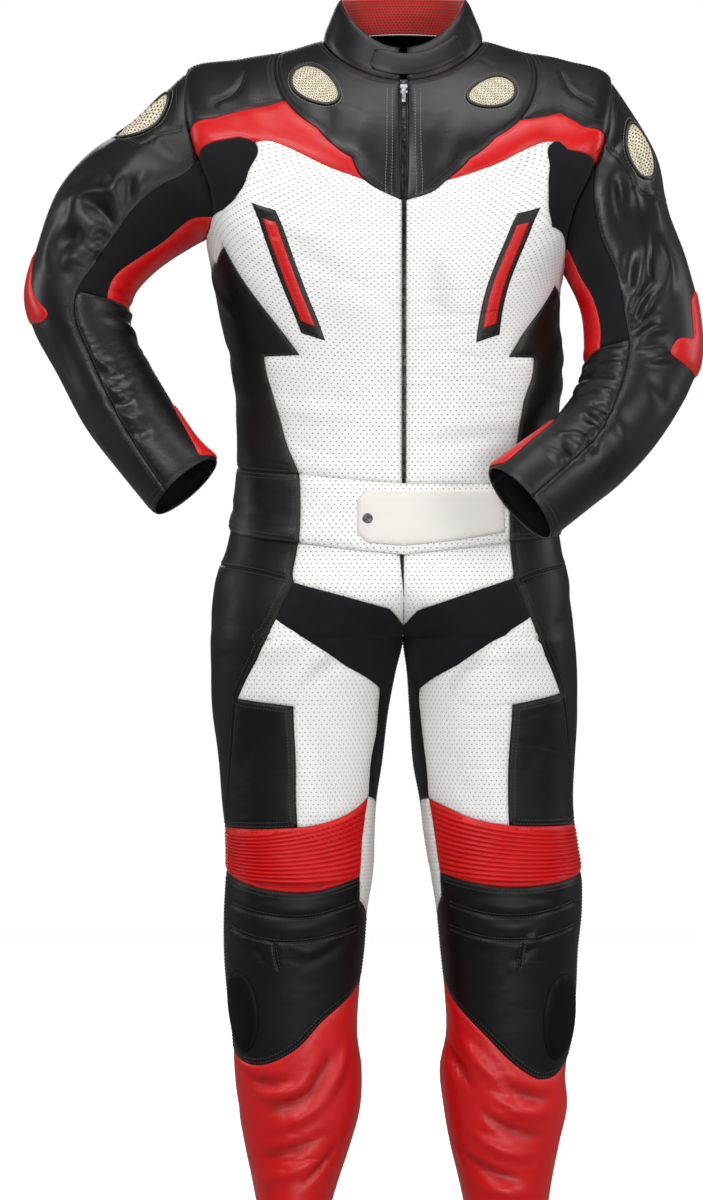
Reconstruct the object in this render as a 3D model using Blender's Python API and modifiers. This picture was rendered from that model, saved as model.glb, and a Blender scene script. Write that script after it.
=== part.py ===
"""Motorcycle race suit of leather and stretch panels, worn form with no wearer.

Metres, +Z up, front towards -Y, wearer's right (suffix R) towards -X.
The origin is the centre of the neck. Every panel is a hollow wall cut from one of six skins:
the torso, two sleeves, two trouser legs and the collar. A panel is a loop of named corners on
its skin. Neighbours share their corners, and each edge is drawn in by half a seam gap.
"""
import math

import bmesh
import bpy
from mathutils import Matrix, Vector
from mathutils.geometry import delaunay_2d_cdt

# --- driving dimensions -----------------------------------------------------
LEATHER = 0.0020          # wall of a leather or stretch panel
OVERLAY = 0.0015          # wall of a patch sewn on top of a panel
LINING = 0.0010           # wall of the collar lining
SEAM_GAP = 0.0003         # between neighbours, and under a patch
TRIANGLE = 0.034          # usual spacing of a panel's points
EDGE_STEP = 0.034         # usual spacing of points along a seam
TUCK = 0.0048             # how far the trousers lie inside the waistband, at its sides
TUCK_EASE = 0.40          # share of the tuck that is let out again at the back centre
TUCK_END = -0.665         # height where the trousers have come out to full size
RISE_TOP = -0.655         # height where the crotch curve leaves the front and back
CROTCH = -0.734           # height of the crotch point
RIB_HEIGHT = 0.0032       # accordion ribs of the knees
RIBS = 13
RIB_MARGIN = 0.006        # ribs start this far in from a seam
RIB_COLUMNS = 5           # points along a rib
FOLD_STEP = 0.028         # spacing of points along a fold
OVAL_POINTS = 12          # points round a vent or an oval patch
SNAP_RADIUS = 0.0070
SLIDER = (0.0100, 0.0045, 0.0150)       # width, thickness, length
PULL = (0.0046, 0.0024, 0.0255)

SIDES = {"R": -1.0, "L": 1.0}
UNSPLIT = ("hole", "neck")              # corners so close that their seam has no more points
COLLECTION = "race_suit"
CUTTERS = "cutters"
INSIDE_EDGES = 1          # the triangulation's own choice: only what lies inside the edges
FRONTS = {"R": (-0.5, 0.0), "L": (0.0, 0.5), "both": (-0.5, 0.5)}      # turns of the front
BODY_RUNS = (0.0, 0.76)   # runs of the torso from the neck to the hem
YOKE_RUNS = (0.0, 0.2)
BAND_RUNS = (0.6, 0.76)

# --- section tables ---------------------------------------------------------
# run: distance down the front. Widths from x = 0 to each side, heights at the sides, front
# centre and back centre, depths from y = 0, and the ring's squareness (1 round, less square).
TORSO_COLUMNS = ("run", "wide_R", "side_R", "wide_L", "side_L", "front_z", "back_z",
                 "front", "back", "square")
TORSO = (
    (0.000, 0.102, 0.024, 0.102, 0.024, -0.032, 0.040, 0.080, 0.070, 1.00),
    (0.055, 0.150, 0.010, 0.150, 0.010, -0.078, 0.018, 0.108, 0.098, 0.90),
    (0.110, 0.205, 0.001, 0.203, 0.000, -0.120, -0.030, 0.126, 0.120, 0.76),
    (0.180, 0.275, -0.016, 0.264, -0.027, -0.170, -0.095, 0.136, 0.132, 0.62),
    (0.270, 0.263, -0.116, 0.236, -0.140, -0.232, -0.180, 0.141, 0.136, 0.60),
    (0.365, 0.249, -0.226, 0.203, -0.270, -0.300, -0.280, 0.138, 0.128, 0.70),
    (0.450, 0.232, -0.326, 0.198, -0.336, -0.355, -0.345, 0.132, 0.116, 0.82),
    (0.500, 0.220, -0.376, 0.203, -0.382, -0.395, -0.388, 0.126, 0.108, 0.85),
    (0.555, 0.212, -0.432, 0.199, -0.436, -0.445, -0.440, 0.120, 0.101, 0.85),
    (0.620, 0.210, -0.500, 0.191, -0.502, -0.508, -0.505, 0.116, 0.099, 0.85),
    (0.680, 0.215, -0.562, 0.194, -0.562, -0.566, -0.564, 0.117, 0.106, 0.85),
    (0.725, 0.225, -0.608, 0.203, -0.608, -0.610, -0.609, 0.120, 0.114, 0.85),
    (0.770, 0.236, -0.654, 0.209, -0.654, -0.655, -0.655, 0.123, 0.122, 0.85),
)

# Trouser legs: outer and inner edge from x = 0, and front and back depth, at each height.
LEG_COLUMNS = ("z", "out_R", "in_R", "out_L", "in_L", "front", "back")
LEGS = (
    (-0.560, 0.2150, 0.0000, 0.1940, 0.0000, 0.117, 0.106),
    (-0.608, 0.2250, 0.0000, 0.2030, 0.0000, 0.120, 0.114),
    (-0.654, 0.2360, 0.0000, 0.2090, 0.0000, 0.123, 0.124),
    (-0.690, 0.2410, 0.0000, 0.2120, 0.0000, 0.124, 0.132),
    (-0.734, 0.2435, 0.0000, 0.2165, 0.0000, 0.121, 0.132),
    (-0.777, 0.2430, 0.0100, 0.2190, 0.0055, 0.114, 0.120),
    (-0.830, 0.2400, 0.0200, 0.2205, 0.0090, 0.106, 0.104),
    (-0.890, 0.2330, 0.0270, 0.2170, 0.0130, 0.100, 0.096),
    (-0.940, 0.2290, 0.0345, 0.2150, 0.0220, 0.097, 0.088),
    (-0.985, 0.2245, 0.0370, 0.2190, 0.0275, 0.095, 0.083),
    (-1.030, 0.2240, 0.0385, 0.2255, 0.0350, 0.093, 0.081),
    (-1.080, 0.2265, 0.0460, 0.2260, 0.0430, 0.088, 0.083),
    (-1.130, 0.2265, 0.0500, 0.2210, 0.0480, 0.082, 0.086),
    (-1.180, 0.2230, 0.0560, 0.2190, 0.0530, 0.076, 0.089),
    (-1.235, 0.2165, 0.0585, 0.2150, 0.0550, 0.070, 0.088),
    (-1.280, 0.2130, 0.0530, 0.2060, 0.0470, 0.065, 0.084),
    (-1.330, 0.2080, 0.0550, 0.2070, 0.0520, 0.062, 0.077),
    (-1.375, 0.2005, 0.0670, 0.1975, 0.0600, 0.059, 0.070),
    (-1.420, 0.1910, 0.0820, 0.1885, 0.0710, 0.057, 0.064),
    (-1.462, 0.1830, 0.0950, 0.1820, 0.0800, 0.056, 0.060),
)

# Sleeve rings from shoulder to cuff: outer and inner edge in the front view, centre and half
# depth towards the back and front.
SLEEVE_COLUMNS = ("outer_x", "outer_z", "inner_x", "inner_z", "centre_y", "half_depth")
SLEEVES = {
    "R": (
        (-0.345, -0.084, -0.266, -0.236, -0.003, 0.087),
        (-0.397, -0.119, -0.295, -0.254, -0.006, 0.081),
        (-0.438, -0.168, -0.319, -0.273, -0.010, 0.075),
        (-0.464, -0.241, -0.339, -0.296, -0.015, 0.068),
        (-0.477, -0.298, -0.346, -0.320, -0.020, 0.065),
        (-0.466, -0.345, -0.341, -0.350, -0.028, 0.061),
        (-0.436, -0.400, -0.324, -0.384, -0.040, 0.057),
        (-0.400, -0.467, -0.293, -0.436, -0.060, 0.053),
        (-0.357, -0.523, -0.262, -0.482, -0.080, 0.049),
        (-0.312, -0.578, -0.234, -0.509, -0.096, 0.046),
    ),
    "L": (
        (0.316, -0.114, 0.212, -0.286, -0.010, 0.089),
        (0.331, -0.184, 0.222, -0.309, -0.026, 0.082),
        (0.357, -0.257, 0.227, -0.333, -0.043, 0.074),
        (0.371, -0.324, 0.228, -0.362, -0.060, 0.069),
        (0.372, -0.384, 0.226, -0.389, -0.076, 0.066),
        (0.349, -0.437, 0.221, -0.415, -0.095, 0.062),
        (0.314, -0.491, 0.207, -0.437, -0.120, 0.058),
        (0.272, -0.537, 0.182, -0.466, -0.145, 0.054),
        (0.231, -0.570, 0.145, -0.493, -0.168, 0.050),
        (0.180, -0.610, 0.105, -0.522, -0.188, 0.047),
    ),
}
RING_STEP = 0.050         # run of a sleeve between two rings

# Armhole: an oval on the torso skin, from the shoulder row to the armpit row.
ARMHOLE_TOP, ARMHOLE_FOOT = 0.180, 0.365
ARMHOLE_SPREAD = 0.195
ARMHOLE_TURNS = (0.00, 0.05, 0.10, 0.14, 0.18, 0.23, 0.27, 0.315, 0.36, 0.40, 0.45,
                 0.50, 0.55, 0.60, 0.65, 0.70, 0.75, 0.80, 0.85, 0.90, 0.95)

# Collar: the top edge as width, side height, front height, back height, front and back depth.
COLLAR_TOP = {"wide": 0.080, "side_z": 0.078, "front_z": 0.010, "back_z": 0.084,
              "front": 0.064, "back": 0.060}
COLLAR_RUN = 0.050

# Largest folds: skin, place round and down the skin, half length, half width, height, turn.
FOLD_COLUMNS = ("skin", "u", "v", "half_length", "half_width", "height", "turn")
FOLDS = (
    ("sleeve_R", 0.16, 0.190, 0.060, 0.014, -0.0050, 25),
    ("sleeve_R", 0.20, 0.235, 0.070, 0.013, 0.0055, -20),
    ("sleeve_R", 0.12, 0.275, 0.060, 0.014, -0.0050, 15),
    ("sleeve_R", 0.86, 0.245, 0.060, 0.015, -0.0045, -15),
    ("sleeve_R", 0.42, 0.300, 0.055, 0.013, 0.0040, 10),
    ("sleeve_L", 0.14, 0.170, 0.060, 0.015, -0.0050, 35),
    ("sleeve_L", 0.10, 0.230, 0.065, 0.014, 0.0050, 20),
    ("sleeve_L", 0.20, 0.300, 0.065, 0.014, -0.0055, -10),
    ("sleeve_L", 0.88, 0.260, 0.060, 0.015, -0.0045, 20),
    ("sleeve_L", 0.44, 0.330, 0.050, 0.013, 0.0040, -15),
    ("leg_R", 0.20, 1.350, 0.080, 0.014, 0.0050, 38),
    ("leg_R", 0.34, 1.395, 0.070, 0.014, -0.0045, 20),
    ("leg_R", 0.72, 1.340, 0.080, 0.016, 0.0045, -30),
    ("leg_L", 0.22, 1.340, 0.080, 0.014, 0.0050, -38),
    ("leg_L", 0.36, 1.400, 0.070, 0.014, -0.0045, -22),
    ("leg_L", 0.70, 1.345, 0.080, 0.016, 0.0045, 28),
    ("leg_R", 0.75, 1.045, 0.090, 0.015, -0.0050, 8),
    ("leg_L", 0.75, 1.050, 0.090, 0.015, -0.0050, -8),
    ("leg_R", 0.80, 0.800, 0.080, 0.018, -0.0050, 40),
    ("leg_L", 0.80, 0.800, 0.080, 0.018, -0.0050, -40),
    ("torso", 0.97, 0.545, 0.130, 0.016, -0.0050, 4),
    ("torso", -0.42, 0.560, 0.060, 0.015, -0.0045, 12),
    ("torso", 0.42, 0.565, 0.060, 0.015, -0.0045, -14),
    ("torso", 0.78, 0.330, 0.090, 0.018, 0.0045, 60),
    ("torso", -0.78, 0.330, 0.090, 0.018, 0.0045, -60),
)

# --- finishes: colour, roughness, metallic ----------------------------------
FINISHES = {
    "black_leather": ((0.012, 0.012, 0.013), 0.42, 0.0),
    "white_leather": ((0.780, 0.785, 0.775), 0.48, 0.0),
    "red_leather": ((0.640, 0.018, 0.016), 0.42, 0.0),
    "black_stretch": ((0.008, 0.008, 0.009), 0.85, 0.0),
    "red_lining": ((0.560, 0.020, 0.020), 0.80, 0.0),
    "vent_mesh": ((0.560, 0.500, 0.340), 0.60, 0.0),
    "zip_tape": ((0.010, 0.010, 0.011), 0.80, 0.0),
    "dark_metal": ((0.090, 0.090, 0.095), 0.35, 1.0),
}


def named_rows(columns, rows):
    """A table as a list of dictionaries, one for each row."""
    return [dict(zip(columns, row)) for row in rows]


class Table:
    """Rows of sizes read at any place by a smooth curve through them."""

    def __init__(self, columns, rows):
        self.keys = [row[0] for row in rows]
        self.columns = columns
        self.rows = rows
        self.slopes = [self._slope(index) for index in range(len(rows))]

    def _slope(self, index):
        before = max(index - 1, 0)
        after = min(index + 1, len(self.rows) - 1)
        span = self.keys[after] - self.keys[before]
        return [(b - a) / span for a, b in zip(self.rows[before], self.rows[after])]

    def at(self, key):
        rising = self.keys[-1] > self.keys[0]
        index = 0
        while index < len(self.keys) - 2 and (self.keys[index + 1] < key) == rising:
            index += 1
        span = self.keys[index + 1] - self.keys[index]
        t = min(max((key - self.keys[index]) / span, 0.0), 1.0)
        values = hermite(self.rows[index], self.slopes[index],
                         self.rows[index + 1], self.slopes[index + 1], t, span)
        return dict(zip(self.columns, values))


def hermite(start, start_slope, end, end_slope, t, span):
    """Cubic curve between two rows of numbers with the given slopes."""
    a = 2 * t ** 3 - 3 * t ** 2 + 1
    b = (t ** 3 - 2 * t ** 2 + t) * span
    c = -2 * t ** 3 + 3 * t ** 2
    d = (t ** 3 - t ** 2) * span
    return [a * p + b * m + c * q + d * n
            for p, m, q, n in zip(start, start_slope, end, end_slope)]


def smooth(value):
    """Soft step from 0 to 1."""
    value = min(max(value, 0.0), 1.0)
    return value * value * (3 - 2 * value)


def ring_place(angle, square):
    """Place on a unit ring that is round at square 1 and boxier below it: (across, depth)."""
    across, depth = math.sin(angle), math.cos(angle)
    power = 2 / square
    reach = (abs(across) ** power + abs(depth) ** power) ** (-1 / power)
    return across * reach, depth * reach


# --- skins ------------------------------------------------------------------
class Skin:
    """A surface with a place u round it and v down it, and its folds."""

    period = None
    round_scale = 1.0

    def __init__(self, name):
        self.name = name
        self.joins = {}
        self.folds = [row for row in named_rows(FOLD_COLUMNS, FOLDS) if row["skin"] == name]
        self.sign = 1.0
        probe = self.probe()
        out = self.base(*probe) - self.middle(probe[1])
        if self.raw_normal(*probe).dot(out) < 0:
            self.sign = -1.0

    def raw_normal(self, u, v, step=0.0008):
        along_u = self.base(u + step, v) - self.base(u - step, v)
        along_v = self.base(u, v + step) - self.base(u, v - step)
        return along_u.cross(along_v).normalized() * self.sign

    def fold_height(self, u, v):
        height = 0.0
        for fold in self.folds:
            across = u - fold["u"]
            if self.period:
                across -= self.period * round(across / self.period)
            across *= self.round_scale
            down = v - fold["v"]
            turn = math.radians(fold["turn"])
            along = across * math.cos(turn) + down * math.sin(turn)
            aside = down * math.cos(turn) - across * math.sin(turn)
            reach = max(0.0, 1.0 - (along / fold["half_length"]) ** 2)
            height += fold["height"] * reach * math.exp(-(aside / fold["half_width"]) ** 2)
        return height * self.fold_share(u, v)

    def fold_share(self, u, v):
        return 1.0

    def normal(self, u, v):
        return self.raw_normal(u, v)

    def point(self, u, v):
        height = self.fold_height(u, v)
        place = self.base(u, v)
        return place + self.raw_normal(u, v) * height if height else place

    def flat(self, u, v):
        """The place in metres on the cutting table."""
        return Vector((u * self.round_scale, v))

    def locate(self, x, z, u_range, v_range):
        """The (u, v) of a place that is given in the front or back view."""
        steps = 14
        spots = [(u_range[0] + (u_range[1] - u_range[0]) * i / steps,
                  v_range[0] + (v_range[1] - v_range[0]) * j / steps)
                 for i in range(steps + 1) for j in range(steps + 1)]

        def miss(spot):
            place = self.base(*spot)
            return (place.x - x) ** 2 + (place.z - z) ** 2

        best = min(spots, key=miss)
        reach = [(u_range[1] - u_range[0]) / steps, (v_range[1] - v_range[0]) / steps]
        while max(reach) > 2e-6:
            near = [(min(max(best[0] + i * reach[0], u_range[0]), u_range[1]),
                     min(max(best[1] + j * reach[1], v_range[0]), v_range[1]))
                    for i in (-1, 0, 1) for j in (-1, 0, 1)]
            closest = min(near, key=miss)
            if miss(closest) < miss(best):
                best = closest
            else:
                reach = [size / 2 for size in reach]
        return best


class Torso(Skin):
    """u: 0 front centre, -0.5 right side, 0.5 left side, 1 back centre. v: run."""

    period = 2.0
    round_scale = 0.50

    def __init__(self):
        self.table = Table(TORSO_COLUMNS, TORSO)
        super().__init__("torso")

    def probe(self):
        return 0.1, 0.5

    def middle(self, v):
        return Vector((0, 0, self.table.at(v)["front_z"]))

    def base(self, u, v):
        row = self.table.at(v)
        across, depth = ring_place(math.pi * u, row["square"])
        side = "R" if across < 0 else "L"
        face, face_z = ("front", "front_z") if depth > 0 else ("back", "back_z")
        side_z = row["side_" + side]
        x = across * row["wide_" + side]
        y = -depth * row[face]
        z = side_z + (row[face_z] - side_z) * abs(depth) ** 1.5
        return Vector((x, y, z))

    def fold_share(self, u, v):
        return smooth(v / 0.05)

    def armhole(self, side, turn):
        """The (u, v) of a place round an armhole: 0 shoulder, 0.25 front, 0.5 armpit."""
        middle = (ARMHOLE_TOP + ARMHOLE_FOOT) / 2
        half = (ARMHOLE_FOOT - ARMHOLE_TOP) / 2
        angle = 2 * math.pi * turn
        u = SIDES[side] * (0.5 - ARMHOLE_SPREAD * math.sin(angle))
        return u, middle - half * math.cos(angle)


class Sleeve(Skin):
    """u: 0 outer edge, 0.25 front, 0.5 inner edge, 0.75 back. v: run from the armhole."""

    period = 1.0
    round_scale = 0.42

    def __init__(self, side, torso):
        self.side = side
        self.torso = torso
        self.rings = named_rows(SLEEVE_COLUMNS, SLEEVES[side])
        self.middles = [torso.point(*torso.armhole(side, 0.0)).lerp(
            torso.point(*torso.armhole(side, 0.5)), 0.5)]
        self.middles += [self.ring_middle(ring) for ring in self.rings]
        super().__init__("sleeve_" + side)

    def probe(self):
        return 0.1, 0.2

    @staticmethod
    def ring_middle(ring):
        return Vector(((ring["outer_x"] + ring["inner_x"]) / 2, ring["centre_y"],
                       (ring["outer_z"] + ring["inner_z"]) / 2))

    def middle(self, v):
        return self.middles[min(int(v / RING_STEP), len(self.middles) - 1)]

    def ring_point(self, number, u):
        if number == 0:
            return self.torso.point(*self.torso.armhole(self.side, u))
        ring = self.rings[number - 1]
        centre = self.middles[number]
        outer = Vector((ring["outer_x"], centre.y, ring["outer_z"]))
        before = self.middles[number - 1]
        after = self.middles[min(number + 1, len(self.middles) - 1)]
        across = outer - centre
        front = (after - before).cross(across).normalized() * ring["half_depth"]
        if front.y > 0:
            front = -front
        angle = 2 * math.pi * u
        return centre + across * math.cos(angle) + front * math.sin(angle)

    def base(self, u, v):
        place = min(max(v / RING_STEP, 0.0), len(self.rings) - 1e-9)
        number = int(place)
        last = len(self.rings)
        ring = [self.ring_point(min(max(number + k, 0), last), u) for k in (-1, 0, 1, 2)]
        start_slope = (ring[2] - ring[0]) / (2 if number > 0 else 1)
        end_slope = (ring[3] - ring[1]) / (2 if number < last - 1 else 1)
        return Vector(hermite(ring[1], start_slope, ring[2], end_slope, place - number, 1.0))

    def raw_normal(self, u, v, step=0.0008):
        v = min(max(v, step), RING_STEP * len(self.rings) - step)
        return super().raw_normal(u, v, step)

    def fold_share(self, u, v):
        return smooth(v / 0.05)


class Leg(Skin):
    """u: 0 front centre and inseam, 0.5 outer side, 1 back centre and inseam. v: depth below
    the origin. Above the crotch the ring is open along x = 0, below it the ring closes."""

    round_scale = 0.58

    def __init__(self, side):
        self.side = side
        self.table = Table(LEG_COLUMNS, LEGS)
        super().__init__("leg_" + side)

    def probe(self):
        return 0.4, 1.0

    def middle(self, v):
        row = self.table.at(-v)
        return Vector((SIDES[self.side] * (row["out_" + self.side] + row["in_" + self.side]) / 2,
                       0, -v))

    def base(self, u, v):
        z = -v
        row = self.table.at(z)
        tuck = TUCK * (1 - smooth((TUCK_END + 0.045 - z) / 0.045))
        closing = min(max((RISE_TOP - z) / (RISE_TOP - CROTCH), 0.0), 1.0)
        square = 0.85 + 0.10 * smooth(closing)
        half_turn = math.acos(-closing)
        angle = (2 * u - 1) * half_turn
        tuck *= 1 - TUCK_EASE * max(math.sin(angle), 0.0) ** 10
        outer = row["out_" + self.side] - tuck
        inner = max(row["in_" + self.side], 0.0) if closing >= 1 else 0.0
        half = (outer - inner) / (1 - ring_place(half_turn, square)[1])
        across, out = ring_place(angle, square)
        x = outer - half + half * out
        depth = row["front"] if angle < 0 else row["back"]
        return Vector((SIDES[self.side] * x, (depth - tuck) * across, z))

    def raw_normal(self, u, v, step=0.0008):
        u = min(max(u, 2 * step), 1 - 2 * step)
        return super().raw_normal(u, v, step)

    def normal(self, u, v):
        if 1e-6 < u < 1 - 1e-6:
            return self.raw_normal(u, v)
        if abs(v + CROTCH) < 1e-6:
            return Vector((0, 0, -1))
        if v < -CROTCH:
            step = 0.002
            low, high = min(v, -CROTCH), min(v, -CROTCH) - step
            run = self.base(u, low) - self.base(u, high)
            out = Vector((0, run.z, -run.y)) if u < 0.5 else Vector((0, -run.z, run.y))
            return out.normalized()
        both = self.raw_normal(0.0, v) + self.raw_normal(1.0, v)
        return both.normalized()

    def fold_share(self, u, v):
        return smooth(u / 0.08) * smooth((1 - u) / 0.08)


class Collar(Skin):
    """u as on the torso, v from the neck seam (0) to the top edge (COLLAR_RUN)."""

    period = 2.0
    round_scale = 0.27

    def __init__(self, torso):
        self.torso = torso
        super().__init__("collar")

    def probe(self):
        return 0.1, 0.025

    def middle(self, v):
        return Vector((0, 0, 0.03))

    def base(self, u, v):
        share = v / COLLAR_RUN
        angle = math.pi * u
        across, depth = math.sin(angle), math.cos(angle)
        face = "front" if depth > 0 else "back"
        side_z = COLLAR_TOP["side_z"]
        top = Vector((across * COLLAR_TOP["wide"], -depth * COLLAR_TOP[face],
                      side_z + (COLLAR_TOP[face + "_z"] - side_z) * abs(depth) ** 1.5))
        return self.torso.base(u, 0.0).lerp(top, share)

    def raw_normal(self, u, v, step=0.0008):
        v = min(max(v, step), COLLAR_RUN - step)
        return super().raw_normal(u, v, step)


# --- cutting table ----------------------------------------------------------
def inside(place, loop):
    """Whether a flat place lies inside a loop of flat places."""
    found = False
    for start, end in zip(loop, loop[1:] + loop[:1]):
        if (start.y > place.y) != (end.y > place.y):
            share = (place.y - start.y) / (end.y - start.y)
            if place.x < start.x + share * (end.x - start.x):
                found = not found
    return found


def clear_of(place, loops, distance):
    """Whether a flat place is at least a distance from every edge of the loops."""
    for loop in loops:
        for start, end in zip(loop, loop[1:] + loop[:1]):
            run = end - start
            share = min(max((place - start).dot(run) / run.length_squared, 0.0), 1.0)
            if (start + run * share - place).length < distance:
                return False
    return True


def fold_points(skin, rim):
    """Points on the crest and at the feet of each fold, on the cutting table."""
    middle_x = sum(place.x for place in rim) / len(rim)
    spots = []
    for fold in skin.folds:
        turn = math.radians(fold["turn"])
        along = Vector((math.cos(turn), math.sin(turn)))
        aside = Vector((-math.sin(turn), math.cos(turn)))
        centre = skin.flat(fold["u"], fold["v"])
        if skin.period:
            width = skin.period * skin.round_scale
            centre.x += width * round((middle_x - centre.x) / width)
        count = round(fold["half_length"] / FOLD_STEP)
        for step in range(-count, count + 1):
            for foot in (-1.5, 0.0, 1.5):
                spots.append(centre + along * step * FOLD_STEP
                             + aside * foot * fold["half_width"])
    return spots


def inner_points(skin, rim, loops, grid):
    """Points inside a panel: its folds first, then a plain triangular net."""
    edges = [rim] + loops
    kept = [spot for spot in fold_points(skin, rim)
            if inside(spot, rim) and clear_of(spot, edges, 0.35 * grid)]
    left, right = min(p.x for p in rim), max(p.x for p in rim)
    low, high = min(p.y for p in rim), max(p.y for p in rim)
    row_step = grid * math.sqrt(3) / 2
    rows = int((high - low) / row_step)
    columns = int((right - left) / grid) + 1
    folds = list(kept)
    for row in range(rows):
        for column in range(columns):
            spot = Vector((left + (column + 0.5 * (row % 2)) * grid,
                           low + (row + 0.5) * row_step))
            if inside(spot, rim) and clear_of(spot, edges, 0.5 * grid):
                if all((spot - fold).length > 0.6 * grid for fold in folds):
                    kept.append(spot)
    return kept


def triangulate(rim, loops, spots):
    """Triangles inside a rim that keep to its edges and to the loops' edges."""
    places, edges = [], []
    for loop in [rim] + loops:
        first = len(places)
        places += loop
        edges += [(first + i, first + (i + 1) % len(loop)) for i in range(len(loop))]
    places += spots
    points, _, faces = delaunay_2d_cdt(places, edges, [], INSIDE_EDGES, 1e-7)[:3]
    kept = []
    for face in faces:
        a, b, c = (points[index] for index in face)
        turn = (b - a).x * (c - a).y - (b - a).y * (c - a).x
        kept.append(tuple(face) if turn > 0 else tuple(reversed(face)))
    return points, kept


def open_edges(faces):
    """The next point round the rim for each point on it."""
    directed = {(face[i], face[(i + 1) % 3]) for face in faces for i in range(3)}
    return {a: b for a, b in directed if (b, a) not in directed}


def wall(name, skin, points, faces, outer, inner, finish, gap=0.0, ribs=None, back=None):
    """A closed wall over flat triangles, from lift outer down to lift inner.

    ribs raises the outer points alone. back is a second (points, faces) for the inner side.
    """
    following = open_edges(faces)
    previous = {b: a for a, b in following.items()}
    used = sorted({index for face in faces for index in face})
    spots = {index: place_on(skin, points[index]) for index in used}
    drawn = dict(spots)
    for index in following:
        place, normal = spots[index]
        before = (place - spots[previous[index]][0]).normalized()
        after = (spots[following[index]][0] - place).normalized()
        first = (normal * skin.sign).cross(before).normalized()
        second = (normal * skin.sign).cross(after).normalized()
        share = max(1 + first.dot(second), 0.3)
        drawn[index] = (place + (first + second) / share * gap, normal)

    mesh = bmesh.new()
    tops, feet = {}, {}
    for index in used:
        place, normal = drawn[index]
        lift = outer
        if ribs and index not in following:
            lift += ribs(points[index])
        tops[index] = mesh.verts.new(place + normal * lift)
    if back is None:
        feet = {index: mesh.verts.new(drawn[index][0] + drawn[index][1] * inner)
                for index in used}
        under = faces
        foot_of = feet
    else:
        back_points, under = back
        rim_place = {flat_key(points[index]): drawn[index] for index in following}
        for index in sorted({i for face in under for i in face}):
            key = flat_key(back_points[index])
            place, normal = rim_place.get(key) or place_on(skin, back_points[index])
            feet[index] = mesh.verts.new(place + normal * inner)
        by_key = {flat_key(back_points[index]): vert for index, vert in feet.items()}
        foot_of = {index: by_key[flat_key(points[index])] for index in following}
    for face in faces:
        mesh.faces.new([tops[index] for index in face])
    for face in under:
        mesh.faces.new([feet[index] for index in reversed(face)])
    for start, end in following.items():
        if corner_order(spots[start][0]) < corner_order(spots[end][0]):
            mesh.faces.new((tops[start], foot_of[start], foot_of[end]))
            mesh.faces.new((tops[start], foot_of[end], tops[end]))
        else:
            mesh.faces.new((tops[start], foot_of[start], tops[end]))
            mesh.faces.new((tops[end], foot_of[start], foot_of[end]))
    return add_solid(name, mesh, finish)


def corner_order(place):
    """An order of places that both panels at a seam share, so that their edges split alike."""
    return round(place.z, 5), round(place.x, 5), round(place.y, 5)


def flat_key(place):
    """A flat place as a pair that two nets can share."""
    return round(place.x * 1e6), round(place.y * 1e6)


def place_on(skin, flat):
    """The point on a skin and the normal there, shared between skins along a join."""
    u, v = flat.x / skin.round_scale, flat.y
    normal = skin.joins.get(join_key(skin, u, v))
    return skin.point(u, v), normal or skin.normal(u, v)


def join_key(skin, u, v):
    """A place on a join between two skins."""
    turn = round(u * 1e4)
    if skin.period:
        turn %= round(skin.period * 1e4)
    return turn, round(v * 1e4)


def add_solid(name, mesh, finish):
    """A named object from a closed mesh, facing out."""
    if mesh.calc_volume(signed=True) < 0:
        bmesh.ops.reverse_faces(mesh, faces=mesh.faces)
    data = bpy.data.meshes.new(name)
    mesh.to_mesh(data)
    mesh.free()
    data.materials.append(material(name, finish))
    solid = bpy.data.objects.new(name, data)
    bpy.data.collections[COLLECTION].objects.link(solid)
    return solid


def material(name, finish):
    """A Principled material of one finish for one object."""
    colour, roughness, metallic = FINISHES[finish]
    made = bpy.data.materials.new(name)
    made.use_nodes = True
    shader = made.node_tree.nodes["Principled BSDF"]
    shader.inputs["Base Color"].default_value = (*colour, 1)
    shader.inputs["Roughness"].default_value = roughness
    shader.inputs["Metallic"].default_value = metallic
    made.diffuse_color = (*colour, 1)
    return made


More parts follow.
